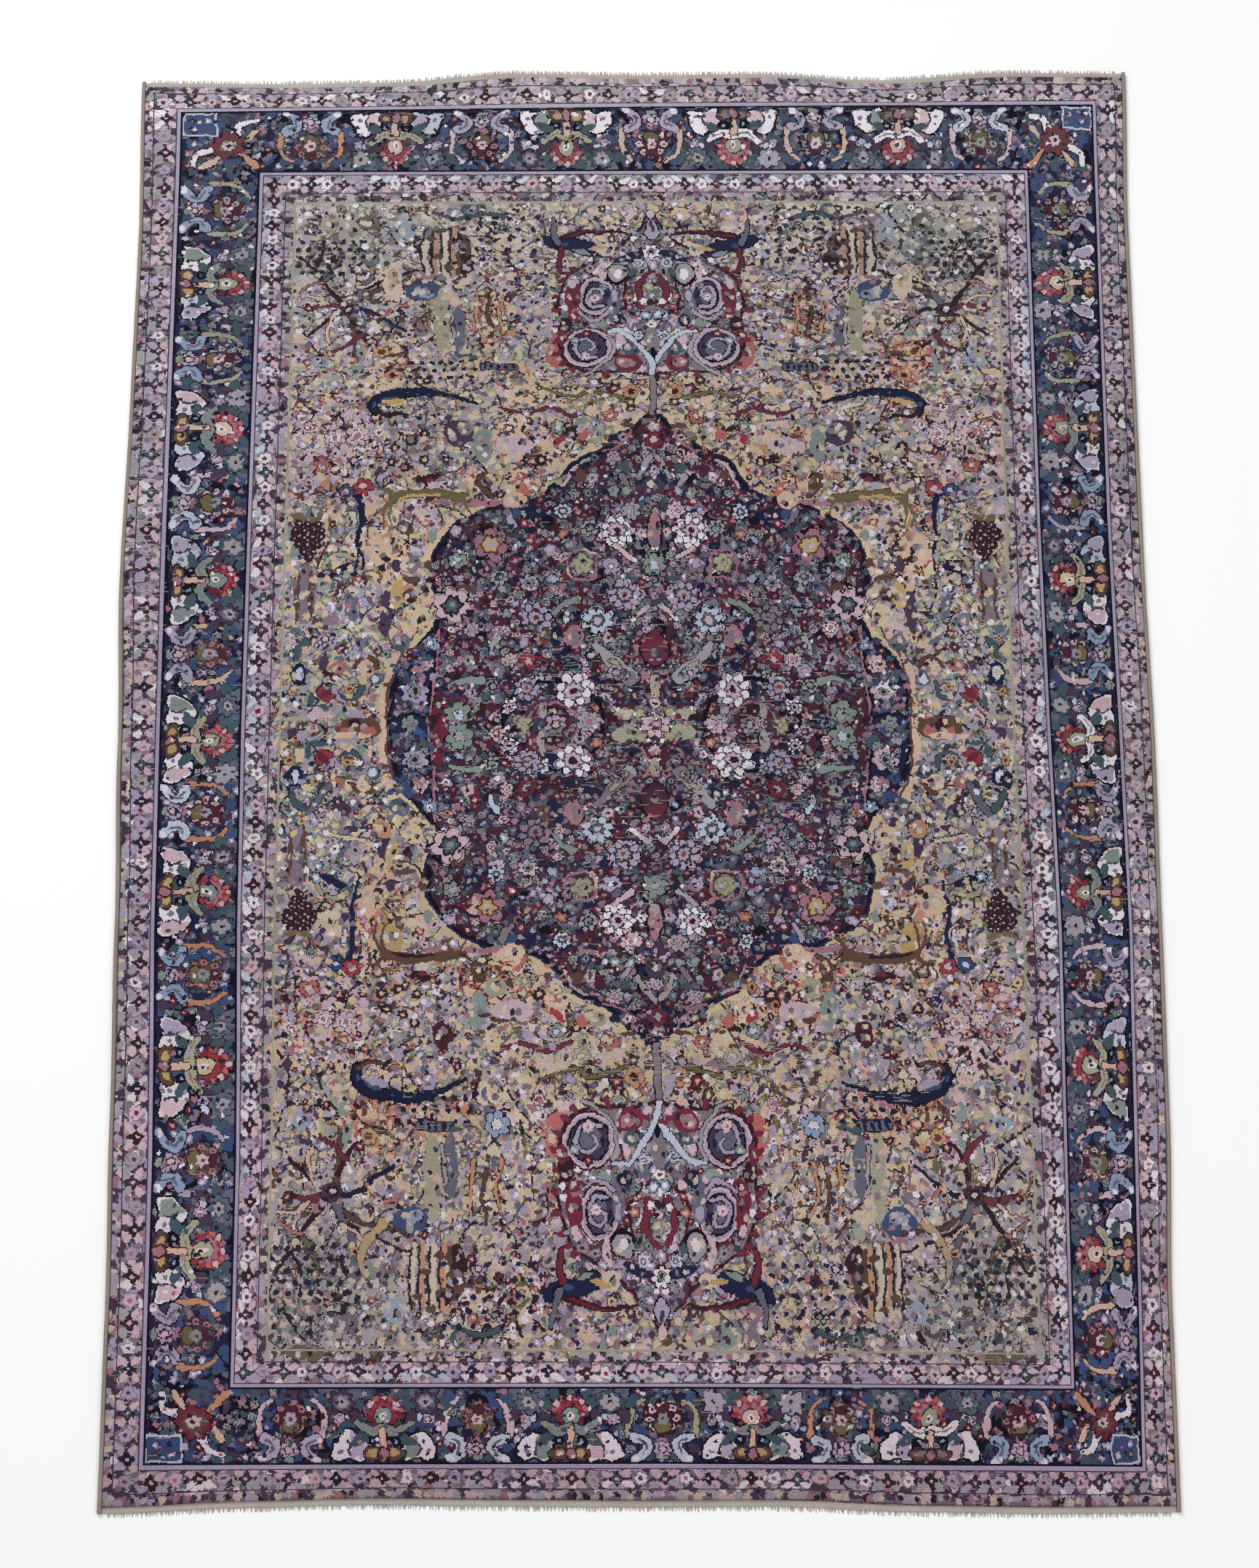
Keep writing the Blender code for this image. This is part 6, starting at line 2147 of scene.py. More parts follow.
@dataclass
class Pile:
    """The knotted pile: blocks of one lattice, each a closed piece whose faces carry their knots."""

    loom: Loom
    dyeing: Dyeing
    base: float = 0.0013
    tuft_variation: float = 0.00011
    most_variation: float = 2.2
    edge_drop: float = 0.0011
    edge_fade: float = 1.1
    dark_drop: float = 0.00018
    crease: float = 50.0

    def blocks(self) -> list[Block]:
        """Divides the lattice into the side, end and field pieces."""
        left = self.loom.side_cells
        right = left + self.loom.field_cells
        across = right + self.loom.side_cells
        low = self.loom.end_cells
        high = low + self.loom.middle_cells
        along = high + self.loom.end_cells
        third = self.loom.middle_cells // 3
        return [
            Block("pile_side_left", 0, left, 0, along),
            Block("pile_side_right", right, across, 0, along),
            Block("pile_end_foot", left, right, 0, low),
            Block("pile_end_head", left, right, high, along),
            Block("pile_field_foot", left, right, low, low + third),
            Block("pile_field_centre", left, right, low + third, low + 2 * third),
            Block("pile_field_head", left, right, low + 2 * third, high),
        ]

    def draw_pattern(self) -> Cartoon:
        """Draws the whole pattern, grounds first."""
        cartoon = Cartoon(self.loom)
        bands = Bands()
        bands.draw(cartoon)
        Medallion().draw(cartoon, 1)
        Garden().draw(cartoon, 3)
        duller = (Wool.LILAC, Wool.GREY, Wool.IVORY, Wool.PINK)
        outer = GuardStripe(655.0, 1003.0, 12.5, 57.0, duller)
        inner = GuardStripe(515.5, 862.5, 13.5, 47.0)
        for quarter in Quarter:
            cartoon.turn_to(quarter, 4)
            Pendant().draw(cartoon)
            cartoon.turn_to(quarter, 5)
            outer.draw(cartoon)
            inner.draw(cartoon)
            cartoon.turn_to(quarter, 6)
            MainBorder().draw(cartoon)
        cartoon.roughen()
        bands.draw_lines(cartoon)
        return cartoon

    def heights(self, cartoon: Cartoon, columns: Array, rows: Array) -> Array:
        """Works out the pile's height at each crossing of the lattice.

        Args:
            cartoon: The drawing, whose dark brown knots have rotted lower.
            columns: Lattice lines across, in millimetres.
            rows: Lattice lines along, in millimetres.

        Returns:
            Heights in metres, a row for each lattice row.
        """
        chance = np.random.default_rng(SEED + 9)
        height = swell_height(columns[None, :] / PILE_HALF_WIDTH, rows[:, None] / PILE_HALF_LENGTH)
        tufts = np.clip(
            chance.standard_normal(height.shape), -self.most_variation, self.most_variation
        )
        height += self.tuft_variation * tufts
        dark = cartoon.ground(Wool.UMBER, Wool.BROWN, Wool.MAROON).astype(float)
        corners = np.pad(dark, 1, mode="edge")
        around = corners[::2, ::2] + corners[1::2, ::2] + corners[::2, 1::2] + corners[1::2, 1::2]
        height -= self.dark_drop * around[: len(rows), : len(columns)] / 4
        from_side = np.minimum(np.arange(len(columns)), np.arange(len(columns))[::-1])[None, :]
        from_end = np.minimum(np.arange(len(rows)), np.arange(len(rows))[::-1])[:, None]
        height -= self.edge_drop * np.exp(-self.edge_fade * np.minimum(from_side, from_end))
        return height

    def build(self, material: bpy.types.Material) -> list[bpy.types.Object]:
        """Draws the pattern and makes every block of pile.

        Args:
            material: The pile's finish.

        Returns:
            The pieces.
        """
        cartoon = self.draw_pattern()
        columns = self.loom.columns()
        rows = self.loom.rows()
        colours = self.dyeing.colours(cartoon)
        woven_x, woven_y = self.loom.bend(columns, rows)
        places = np.dstack([woven_x, woven_y, self.heights(cartoon, columns, rows)])
        pieces = [self.piece(block, places, colours) for block in self.blocks()]
        return [dress(piece, "pile", material, "rug_body") for piece in pieces]

    def piece(self, block: Block, places: Array, colours: Array) -> bpy.types.Object:
        """Makes one block: a grid with its rim drawn down and closed below.

        Args:
            block: Which part of the lattice it is.
            places: X, Y and Z of every lattice crossing.
            colours: The colour of every knot.

        Returns:
            The closed piece, with its knots' colours on its faces.
        """
        across = block.right - block.left
        along = block.high - block.low
        piece = new_grid(block.name, across, along)
        piece.data.name = block.name
        bpy.ops.object.mode_set(mode="EDIT")
        bpy.ops.mesh.select_mode(type="EDGE")
        bpy.ops.mesh.select_all(action="SELECT")
        bpy.ops.mesh.region_to_loop()
        bpy.ops.mesh.extrude_edges_move(TRANSFORM_OT_translate={"value": (0.0, 0.0, -1.0)})
        bpy.ops.mesh.edge_face_add()
        bpy.ops.mesh.select_all(action="SELECT")
        bpy.ops.mesh.normals_make_consistent(inside=False)
        bpy.ops.object.mode_set(mode="OBJECT")
        mesh = piece.data
        spots = vertex_places(mesh)
        column = np.rint((spots[:, 0] + 1) / 2 * across).astype(int)
        row = np.rint((spots[:, 1] + 1) / 2 * along).astype(int)
        below = spots[:, 2] < -0.5
        spots = places[row + block.low, column + block.left]
        spots[below, 2] = self.base
        mesh.vertices.foreach_set("co", spots.ravel())
        self.lay_maps(mesh, column / across, row / along, (across, along), below)
        self.lay_knots(mesh, block, column, row, colours)
        mesh.update()
        smooth(piece, self.crease)
        return piece

    @staticmethod
    def lay_maps(mesh: bpy.types.Mesh, u: Array, v: Array, cells: tuple[int, int], below: Array) -> None:
        """Lays the flat map for bakes and the map that counts the lattice's cells.

        Args:
            mesh: The block's mesh.
            u: Each vertex's place across the block, 0 to 1.
            v: Its place along the block.
            cells: How many cells the block has across and along.
            below: Which vertices lie on the underside.
        """
        margin = 0.01
        owner = corner_owners(mesh)
        flat = mesh.uv_layers.new(name="OFBake")
        place = margin + (1 - 2 * margin) * np.column_stack([u, v])[owner]
        totals = np.empty(len(mesh.polygons), int)
        mesh.polygons.foreach_get("loop_total", totals)
        place[np.repeat(totals > 4, totals)] = margin / 2
        flat.data.foreach_set("uv", place.ravel())
        weave = mesh.uv_layers.new(name="Weave")
        weave.data.foreach_set("uv", (np.column_stack([u, v]) * cells)[owner].ravel())
        mesh.uv_layers.active = flat

    @staticmethod
    def lay_knots(mesh: bpy.types.Mesh, block: Block, column: Array, row: Array, colours: Array) -> None:
        """Gives each face the colours of its four knots.

        Args:
            mesh: The block's mesh.
            block: Which part of the lattice it is.
            column: Each vertex's lattice column in the block.
            row: Its lattice row.
            colours: The colour of every knot of the rug.
        """
        owner = corner_owners(mesh)
        starts = np.empty(len(mesh.polygons), int)
        mesh.polygons.foreach_get("loop_start", starts)
        face_column = np.minimum.reduceat(column[owner], starts)
        face_row = np.minimum.reduceat(row[owner], starts)
        face_column = np.minimum(face_column, block.right - block.left - 1) + block.left
        face_row = np.minimum(face_row, block.high - block.low - 1) + block.low
        for number, (up, over) in enumerate(((0, 0), (0, 1), (1, 0), (1, 1)), start=1):
            knot = colours[2 * face_row + up, 2 * face_column + over]
            layer = mesh.attributes.new(f"knot_{number}", "FLOAT_COLOR", "FACE")
            colour = np.column_stack([knot, np.ones(len(knot))]).astype(np.float32)
            layer.data.foreach_set("color", colour.ravel())


@dataclass
class Foundation:
    """The cotton foundation under the pile, with the knots' backs on its underside."""

    thickness: float = 0.0010
    rise: float = 0.0001
    columns: int = 48
    rows: int = 72

    def build(self, material: bpy.types.Material) -> bpy.types.Object:
        """Makes the sheet: a grid in the rug's outline, given its thickness by Solidify."""
        piece = new_grid("foundation", self.columns, self.rows)
        for vertex in piece.data.vertices:
            x, y = rug_point(vertex.co.x, vertex.co.y, BODY_SIDE_INSET, BODY_END_INSET)
            vertex.co = (x, y, self.rise)
        wall = piece.modifiers.new("thickness", "SOLIDIFY")
        wall.thickness = self.thickness
        wall.offset = 1.0
        apply_modifiers(piece)
        return dress(piece, "pile", material, "rug_body")


@dataclass
class SideCord:
    """A long edge's cord, wrapped round and round with wool yarn."""

    name: str
    side: int
    strands: int = 10
    wraps: int = 760
    ridge: float = 0.00022
    wander: float = 0.00025
    lean: float = 0.0008
    weld: float = 0.00001

    def build(self, material: bpy.types.Material) -> bpy.types.Object:
        """Rolls a grid into a ridged tube along the rug's edge and closes its ends."""
        rings = 2 * self.wraps
        piece = new_grid(f"cord_{self.name}", self.strands, rings)
        mesh = piece.data
        spots = vertex_places(mesh)
        turn = np.rint((spots[:, 0] + 1) / 2 * self.strands) % self.strands
        angle = 2 * np.pi * turn / self.strands
        ring = np.rint((spots[:, 1] + 1) / 2 * rings).astype(int)
        chance = np.random.default_rng(SEED + 20 + self.side)
        unevenness = self.wander * patchy((rings + 1, 2), (120, 1), chance)[:, 0]
        alongs = [2 * number / rings - 1 for number in range(rings + 1)]
        line = np.array([rug_point(self.side, along, CORD_RADIUS, 0.0) for along in alongs])
        radius = CORD_RADIUS - self.ridge * (ring % 2) + np.minimum(unevenness[ring], 0)
        lean = self.lean * np.sin(angle)
        spots[:, 0] = line[ring, 0] + radius * np.cos(angle)
        spots[:, 1] = line[ring, 1] + lean * ((ring > 0) & (ring < rings))
        spots[:, 2] = CORD_RADIUS + radius * np.sin(angle)
        mesh.vertices.foreach_set("co", spots.ravel())
        self.lay_map(mesh, turn, ring, rings)
        select_only(piece)
        bpy.ops.object.mode_set(mode="EDIT")
        bpy.ops.mesh.select_all(action="SELECT")
        bpy.ops.mesh.remove_doubles(threshold=self.weld)
        bpy.ops.mesh.select_all(action="DESELECT")
        bpy.ops.mesh.select_non_manifold()
        bpy.ops.mesh.fill_holes(sides=0)
        bpy.ops.object.mode_set(mode="OBJECT")
        turn_outwards(piece)
        smooth(piece)
        return dress(piece, "selvedge", material, self.name)

    def lay_map(self, mesh: bpy.types.Mesh, turn: Array, ring: Array, rings: int) -> None:
        """Lays a map round and along the cord, which follows the yarn."""
        owner = corner_owners(mesh)
        round_it = turn[owner].reshape(-1, 4)
        last = (round_it.max(axis=1) - round_it.min(axis=1) > 1)[:, None] & (round_it == 0)
        round_it = np.where(last, self.strands, round_it) / self.strands
        yarn = mesh.uv_layers.new(name="Yarn")
        place = np.column_stack([round_it.ravel(), ring[owner] / rings * self.wraps])
        yarn.data.foreach_set("uv", place.ravel())


@dataclass
class FringedEnd:
    """The plain-woven strip across one end, and the worn warp ends that stand out of it."""

    name: str
    end: int
    seed: int
    # The woven strip
    columns: int = 420
    ribs: int = 8
    raggedness: float = 0.0004
    hem_roll: float = 0.0004
    strip_rise: float = 0.0002
    # The warp ends: how many there are, and their sizes and variations
    strands: int = 640
    crowding: float = 0.3
    spread: float = 0.99
    strand_width: float = 0.0011
    width_range: tuple[float, float] = (0.75, 1.2)
    flatness: float = 0.8
    sections: tuple[float, ...] = (0.95, 0.85, 0.6)
    root_depth: float = 0.0016
    root_cover: float = 0.0012
    wear: float = 0.7
    broken_share: float = 0.16
    broken_length: float = 0.45
    lean: float = 0.0016
    curl: float = 0.0008
    middle_height: float = 0.42
    root_lift: float = 0.0010
    tip_lift: float = 0.0006
    floor_gap: float = 0.00005

    def edge(self, across: float, inset: float) -> Point:
        """Gives a place on this end's line, at an inset from the outer edge."""
        return rug_point(across, self.end, BODY_SIDE_INSET, inset)

    def build_strip(self, material: bpy.types.Material) -> bpy.types.Object:
        """Makes the woven strip, ribbed by its wefts, and gives it its thickness."""
        piece = new_grid(f"weave_{self.name}", self.columns, self.ribs)
        chance = np.random.default_rng(self.seed)
        ragged = self.raggedness * patchy((self.columns + 1, 2), (90, 1), chance)[:, 0]
        for vertex in piece.data.vertices:
            out = (vertex.co.y * self.end + 1) / 2
            column = round((vertex.co.x + 1) / 2 * self.columns)
            x, y = self.edge(vertex.co.x, END_STRIP_DEPTH * (1 - out))
            rib = self.hem_roll * (1 if round(out * self.ribs) % 2 else 0)
            fray = ragged[column] * (out > 0.9) * self.end
            vertex.co = (x, y - abs(fray) * self.end, END_STRIP_THICKNESS - self.hem_roll + rib)
        wall = piece.modifiers.new("thickness", "SOLIDIFY")
        wall.thickness = END_STRIP_THICKNESS - self.hem_roll - self.strip_rise
        wall.offset = -1.0
        apply_modifiers(piece)
        turn_outwards(piece)
        smooth(piece)
        return dress(piece, "end_weave", material, self.name)

    def strand(self) -> bpy.types.Object:
        """Models one warp end: a short four-sided yarn in three sections, closed at its tip."""
        deselect_all()
        upright = (math.pi / 2, 0, 0)
        bpy.ops.mesh.primitive_circle_add(vertices=4, radius=0.5, fill_type="NGON", rotation=upright)
        piece = bpy.context.object
        bpy.ops.object.transform_apply(location=False, rotation=True, scale=True)
        bpy.ops.object.mode_set(mode="EDIT")
        bpy.ops.mesh.select_mode(type="FACE")
        for shrink in self.sections:
            bpy.ops.mesh.select_all(action="DESELECT")
            bpy.ops.object.mode_set(mode="OBJECT")
            tip = max(piece.data.polygons, key=lambda face: face.center.y)
            tip.select = True
            bpy.ops.object.mode_set(mode="EDIT")
            step = (0.0, 1 / len(self.sections), 0.0)
            bpy.ops.mesh.extrude_region_move(TRANSFORM_OT_translate={"value": step})
            bpy.ops.transform.resize(value=(shrink, 1.0, shrink))
        bpy.ops.object.mode_set(mode="OBJECT")
        turn_outwards(piece)
        return piece

    def build_fringe(self, material: bpy.types.Material) -> bpy.types.Object:
        """Sets copies of the one strand along the strip, each of its own length and lean."""
        model = self.strand()
        corners = np.array([vertex.co for vertex in model.data.vertices])
        corners[:, 1] -= corners[:, 1].min()
        faces = [tuple(face.vertices) for face in model.data.polygons]
        bpy.data.objects.remove(model)
        chance = np.random.default_rng(self.seed + 1)
        spots = []
        for number in range(self.strands):
            place = (number + 0.5 + chance.uniform(-self.crowding, self.crowding)) / self.strands
            x, y = self.edge((2 * place - 1) * self.spread, self.root_depth)
            worn = FRINGE_VARIATION * chance.random() ** self.wear
            length = FRINGE_LENGTH + self.root_cover - worn
            if chance.random() < self.broken_share:
                length *= self.broken_length
            width = self.strand_width * chance.uniform(*self.width_range)
            lean = chance.uniform(-self.lean, self.lean)
            curl = chance.uniform(-self.curl, self.curl)
            share = corners[:, 1]
            copy = np.empty_like(corners)
            copy[:, 0] = x + corners[:, 0] * width + lean * share + curl * np.sin(np.pi * share)
            copy[:, 1] = y + self.end * share * length
            lift = self.root_lift * (1 - share) ** 2 + chance.uniform(0.0, self.tip_lift) * share
            height = (corners[:, 2] * self.flatness + self.middle_height) * width + lift
            copy[:, 2] = np.maximum(height, self.floor_gap)
            spots.append(copy)
        starts = range(0, self.strands * len(corners), len(corners))
        copies = [tuple(index + start for index in face) for start in starts for face in faces]
        mesh = bpy.data.meshes.new(f"warp_{self.name}")
        mesh.from_pydata(np.vstack(spots).tolist(), [], copies)
        piece = bpy.data.objects.new(mesh.name, mesh)
        bpy.context.scene.collection.objects.link(piece)
        turn_outwards(piece)
        smooth(piece)
        return dress(piece, "end_weave", material, self.name)


class Sheet:
    """A small helper that lays out the nodes of a material or a group."""

    def __init__(self, tree: bpy.types.NodeTree) -> None:
        """Keeps the node tree to work on."""
        self.tree = tree

    def add(
        self, kind: str, inputs: dict[str | int, object] | None = None, **settings: object
    ) -> bpy.types.Node:
        """Adds a node.

        Args:
            kind: Its type, without the leading ShaderNode.
            inputs: Values, or sockets to wire, for its inputs by name or number.
            **settings: The node's own properties.

        Returns:
            The node.
        """
        node = self.tree.nodes.new(kind if kind.startswith("Node") else f"ShaderNode{kind}")
        for name, value in settings.items():
            setattr(node, name, value)
        for name, value in (inputs or {}).items():
            if isinstance(value, bpy.types.NodeSocket):
                self.tree.links.new(value, node.inputs[name])
            else:
                node.inputs[name].default_value = value
        return node

    def feed(self, node: bpy.types.Node, sockets: dict[str, bpy.types.NodeSocket]) -> None:
        """Wires sockets to a node's inputs by name."""
        for name, socket in sockets.items():
            self.tree.links.new(socket, node.inputs[name])

    def mix(
        self, factor: object, first: object, second: object, blend: str = "MIX"
    ) -> bpy.types.NodeSocket:
        """Mixes two colours and gives the result's socket."""
        node = self.add("Mix", {0: factor, 6: first, 7: second}, data_type="RGBA", blend_type=blend)
        return node.outputs[2]

    def math(self, operation: str, first: object, second: object = 0.0) -> bpy.types.NodeSocket:
        """Adds a sum on two values and gives the result's socket."""
        return self.add("Math", {0: first, 1: second}, operation=operation).outputs[0]


def new_group(
    name: str, inputs: dict[str, tuple[str, object]], outputs: dict[str, str]
) -> tuple[Sheet, bpy.types.Node, bpy.types.Node]:
    """Starts a shader node group with named sockets.

    Args:
        name: The group's name.
        inputs: For each input its kind and its usual value.
        outputs: For each output its kind.

    Returns:
        The sheet to lay nodes on, the group's input node and its output node.
    """
    tree = bpy.data.node_groups.new(name, "ShaderNodeTree")
    for label, (kind, value) in inputs.items():
        socket = tree.interface.new_socket(label, in_out="INPUT", socket_type=f"NodeSocket{kind}")
        socket.default_value = value
    for label, kind in outputs.items():
        tree.interface.new_socket(label, in_out="OUTPUT", socket_type=f"NodeSocket{kind}")
    sheet = Sheet(tree)
    return sheet, sheet.add("NodeGroupInput"), sheet.add("NodeGroupOutput")


# What all the wool shares: the dust on it, its range of roughness and how unevenly its tufts stand
DUST_COLOUR = (0.20, 0.18, 0.17, 1.0)
WOOL_ROUGHNESS = (0.86, 1.0)
TUFT_UNEVENNESS = 0.6


def age_group() -> bpy.types.NodeTree:
    """Makes the group that lays fine dust and uneven fading over a colour, the same on every piece."""
    sheet, given, result = new_group(
        "wool_age",
        {"Color": ("Color", (0.5, 0.5, 0.5, 1.0)), "Dust": ("Float", 0.1), "Fibre": ("Float", 0.1)},
        {"Color": "Color", "Roughness": "Float"},
    )
    place = sheet.add("TexCoord").outputs["Object"]
    broad = sheet.add("TexNoise", {"Vector": place, "Scale": 5.0, "Detail": 4.0, "Roughness": 0.6})
    fine = sheet.add("TexNoise", {"Vector": place, "Scale": 900.0, "Detail": 2.0, "Roughness": 0.7})
    amount = sheet.math("MULTIPLY", broad.outputs[0], given.outputs["Dust"])
    dusty = sheet.mix(amount, given.outputs["Color"], DUST_COLOUR)
    fibre = sheet.math("SUBTRACT", fine.outputs[0], 0.5)
    fibre = sheet.math("MULTIPLY", fibre, given.outputs["Fibre"])
    fibre = sheet.math("ADD", fibre, 1.0)
    shade = sheet.add("CombineColor", {0: fibre, 1: fibre, 2: fibre}).outputs[0]
    colour = sheet.mix(1.0, dusty, shade, "MULTIPLY")
    low, high = WOOL_ROUGHNESS
    rough = sheet.add("MapRange", {"Value": broad.outputs[0], "To Min": low, "To Max": high}).outputs[0]
    sheet.feed(result, {"Color": colour, "Roughness": rough})
    return sheet.tree


def knot_group() -> bpy.types.NodeTree:
    """Makes the group that picks each knot's colour from its face and gives its tuft as a height."""
    sheet, _, result = new_group("knots", {}, {"Color": "Color", "Height": "Float"})
    weave = sheet.add("UVMap", uv_map="Weave").outputs[0]
    axes = sheet.add("SeparateXYZ", {0: weave})
    halves = []
    tufts = []
    numbers = []
    for axis in (0, 1):
        share = sheet.math("FRACT", axes.outputs[axis])
        halves.append(sheet.math("GREATER_THAN", share, 0.5))
        double = sheet.math("MULTIPLY", axes.outputs[axis], 2.0)
        inside = sheet.math("FRACT", double)
        tufts.append(sheet.math("SINE", sheet.math("MULTIPLY", inside, math.pi)))
        numbers.append(sheet.math("FLOOR", double))
    names = [f"knot_{number}" for number in range(1, 5)]
    knots = [sheet.add("Attribute", attribute_name=name).outputs["Color"] for name in names]
    near = sheet.mix(halves[0], knots[0], knots[1])
    far = sheet.mix(halves[0], knots[2], knots[3])
    colour = sheet.mix(halves[1], near, far)
    cell = sheet.add("CombineXYZ", {0: numbers[0], 1: numbers[1]}).outputs[0]
    level = sheet.add("TexWhiteNoise", {"Vector": cell}, noise_dimensions="2D").outputs[0]
    tuft = sheet.math("MULTIPLY", tufts[0], tufts[1])
    height = sheet.math("ADD", tuft, sheet.math("MULTIPLY", level, TUFT_UNEVENNESS))
    sheet.feed(result, {"Color": colour, "Height": height})
    return sheet.tree


def yarn_group() -> bpy.types.NodeTree:
    """Makes the group that twists a yarn: slanted plies as a value from 0 to 1."""
    sheet, given, result = new_group(
        "yarn_twist",
        {"Across": ("Float", 900.0), "Along": ("Float", 900.0), "Loose": ("Float", 1.0)},
        {"Ply": "Float"},
    )
    place = sheet.add("TexCoord").outputs["Object"]
    axes = sheet.add("SeparateXYZ", {0: place})
    wobble = sheet.add("TexNoise", {"Vector": place, "Scale": 160.0, "Detail": 2.0}).outputs[0]
    across = sheet.math("MULTIPLY", axes.outputs[0], given.outputs["Across"])
    along = sheet.math("MULTIPLY", axes.outputs[1], given.outputs["Along"])
    slant = sheet.math("ADD", across, along)
    slant = sheet.math("ADD", slant, sheet.math("MULTIPLY", wobble, given.outputs["Loose"]))
    wave = sheet.math("SINE", slant)
    ply = sheet.add("MapRange", {"Value": wave, "From Min": -1.0, "From Max": 1.0}).outputs[0]
    sheet.feed(result, {"Ply": ply})
    return sheet.tree


# The back: its knots, the medallion's half width and half length in metres, where each band starts
# as a share of a quarter of a metre from the edge, over which noise its second and its third wools
# come through, and its knots' shades
BACK_KNOTS_PER_METRE = 760.0
BACK_MEDALLION = (0.34, 0.45)
BACK_BANDS_FROM = (0.0, 0.144, 0.52, 0.70)
BACK_SECOND_FROM = 0.5
BACK_THIRD_FROM = 0.57
BACK_SHADES = (0.72, 1.05)


def back_group() -> bpy.types.NodeTree:
    """Makes the group that shows the pattern's bands on the rug's back, knot by knot."""
    sheet, _, result = new_group("knot_backs", {}, {"Color": "Color", "Height": "Float"})
    axes = sheet.add("SeparateXYZ", {0: sheet.add("TexCoord").outputs["Object"]})
    numbers = []
    loops = []
    for axis in (0, 1):
        count = sheet.math("MULTIPLY", axes.outputs[axis], BACK_KNOTS_PER_METRE)
        numbers.append(sheet.math("FLOOR", count))
        loops.append(sheet.math("SINE", sheet.math("MULTIPLY", sheet.math("FRACT", count), math.pi)))
    cell = sheet.add("CombineXYZ", {0: numbers[0], 1: numbers[1]}).outputs[0]
    out_x = sheet.math("ABSOLUTE", axes.outputs[0])
    out_y = sheet.math("ABSOLUTE", axes.outputs[1])
    from_side = sheet.math("SUBTRACT", PILE_HALF_WIDTH * MILLIMETRE, out_x)
    from_end = sheet.math("SUBTRACT", PILE_HALF_LENGTH * MILLIMETRE, out_y)
    from_edge = sheet.math("MULTIPLY", sheet.math("MINIMUM", from_side, from_end), 4.0)
    round_x = sheet.math("POWER", sheet.math("DIVIDE", out_x, BACK_MEDALLION[0]), 2.0)
    round_y = sheet.math("POWER", sheet.math("DIVIDE", out_y, BACK_MEDALLION[1]), 2.0)
    medallion = sheet.math("LESS_THAN", sheet.math("ADD", round_x, round_y), 1.0)
    large = {"Vector": cell, "Scale": 0.11, "Detail": 2.0, "Roughness": 0.7}
    small = {"Vector": cell, "Scale": 0.17, "Detail": 1.0, "Distortion": 1.0}
    figure = sheet.add("TexNoise", large).outputs[0]
    other = sheet.add("TexNoise", small).outputs[0]
    layers = []
    for bands, middle in (
        ((Wool.MAUVE, Wool.NAVY, Wool.MAUVE, Wool.STRAW), Wool.BURGUNDY),
        ((Wool.PINK, Wool.TEAL, Wool.LILAC, Wool.GREY), Wool.PLUM),
        ((Wool.PLUM, Wool.PINK, Wool.MAROON, Wool.BROWN), Wool.GREY),
    ):
        stripes = sheet.add("ValToRGB", {0: from_edge})
        stripes.color_ramp.interpolation = "CONSTANT"
        while len(stripes.color_ramp.elements) < len(bands):
            stripes.color_ramp.elements.new(0.9)
        for element, start, wool in zip(stripes.color_ramp.elements, BACK_BANDS_FROM, bands):
            element.position = start
            element.color = (*wool.value.light(), 1.0)
        layers.append(sheet.mix(medallion, stripes.outputs[0], (*middle.value.light(), 1.0)))
    colour = sheet.mix(sheet.math("GREATER_THAN", figure, BACK_SECOND_FROM), layers[0], layers[1])
    colour = sheet.mix(sheet.math("GREATER_THAN", other, BACK_THIRD_FROM), colour, layers[2])
    level = sheet.add("TexWhiteNoise", {"Vector": cell}, noise_dimensions="2D").outputs[0]
    low, high = BACK_SHADES
    shade = sheet.add("MapRange", {"Value": level, "To Min": low, "To Max": high}).outputs[0]
    grey = sheet.add("CombineColor", {0: shade, 1: shade, 2: shade}).outputs[0]
    colour = sheet.mix(1.0, colour, grey, "MULTIPLY")
    sheet.feed(result, {"Color": colour, "Height": sheet.math("MULTIPLY", loops[0], loops[1])})
    return sheet.tree


@dataclass(frozen=True)
class Groups:
    """The shader groups that the finishes share."""

    age: bpy.types.NodeTree
    knots: bpy.types.NodeTree
    yarn: bpy.types.NodeTree
    backs: bpy.types.NodeTree


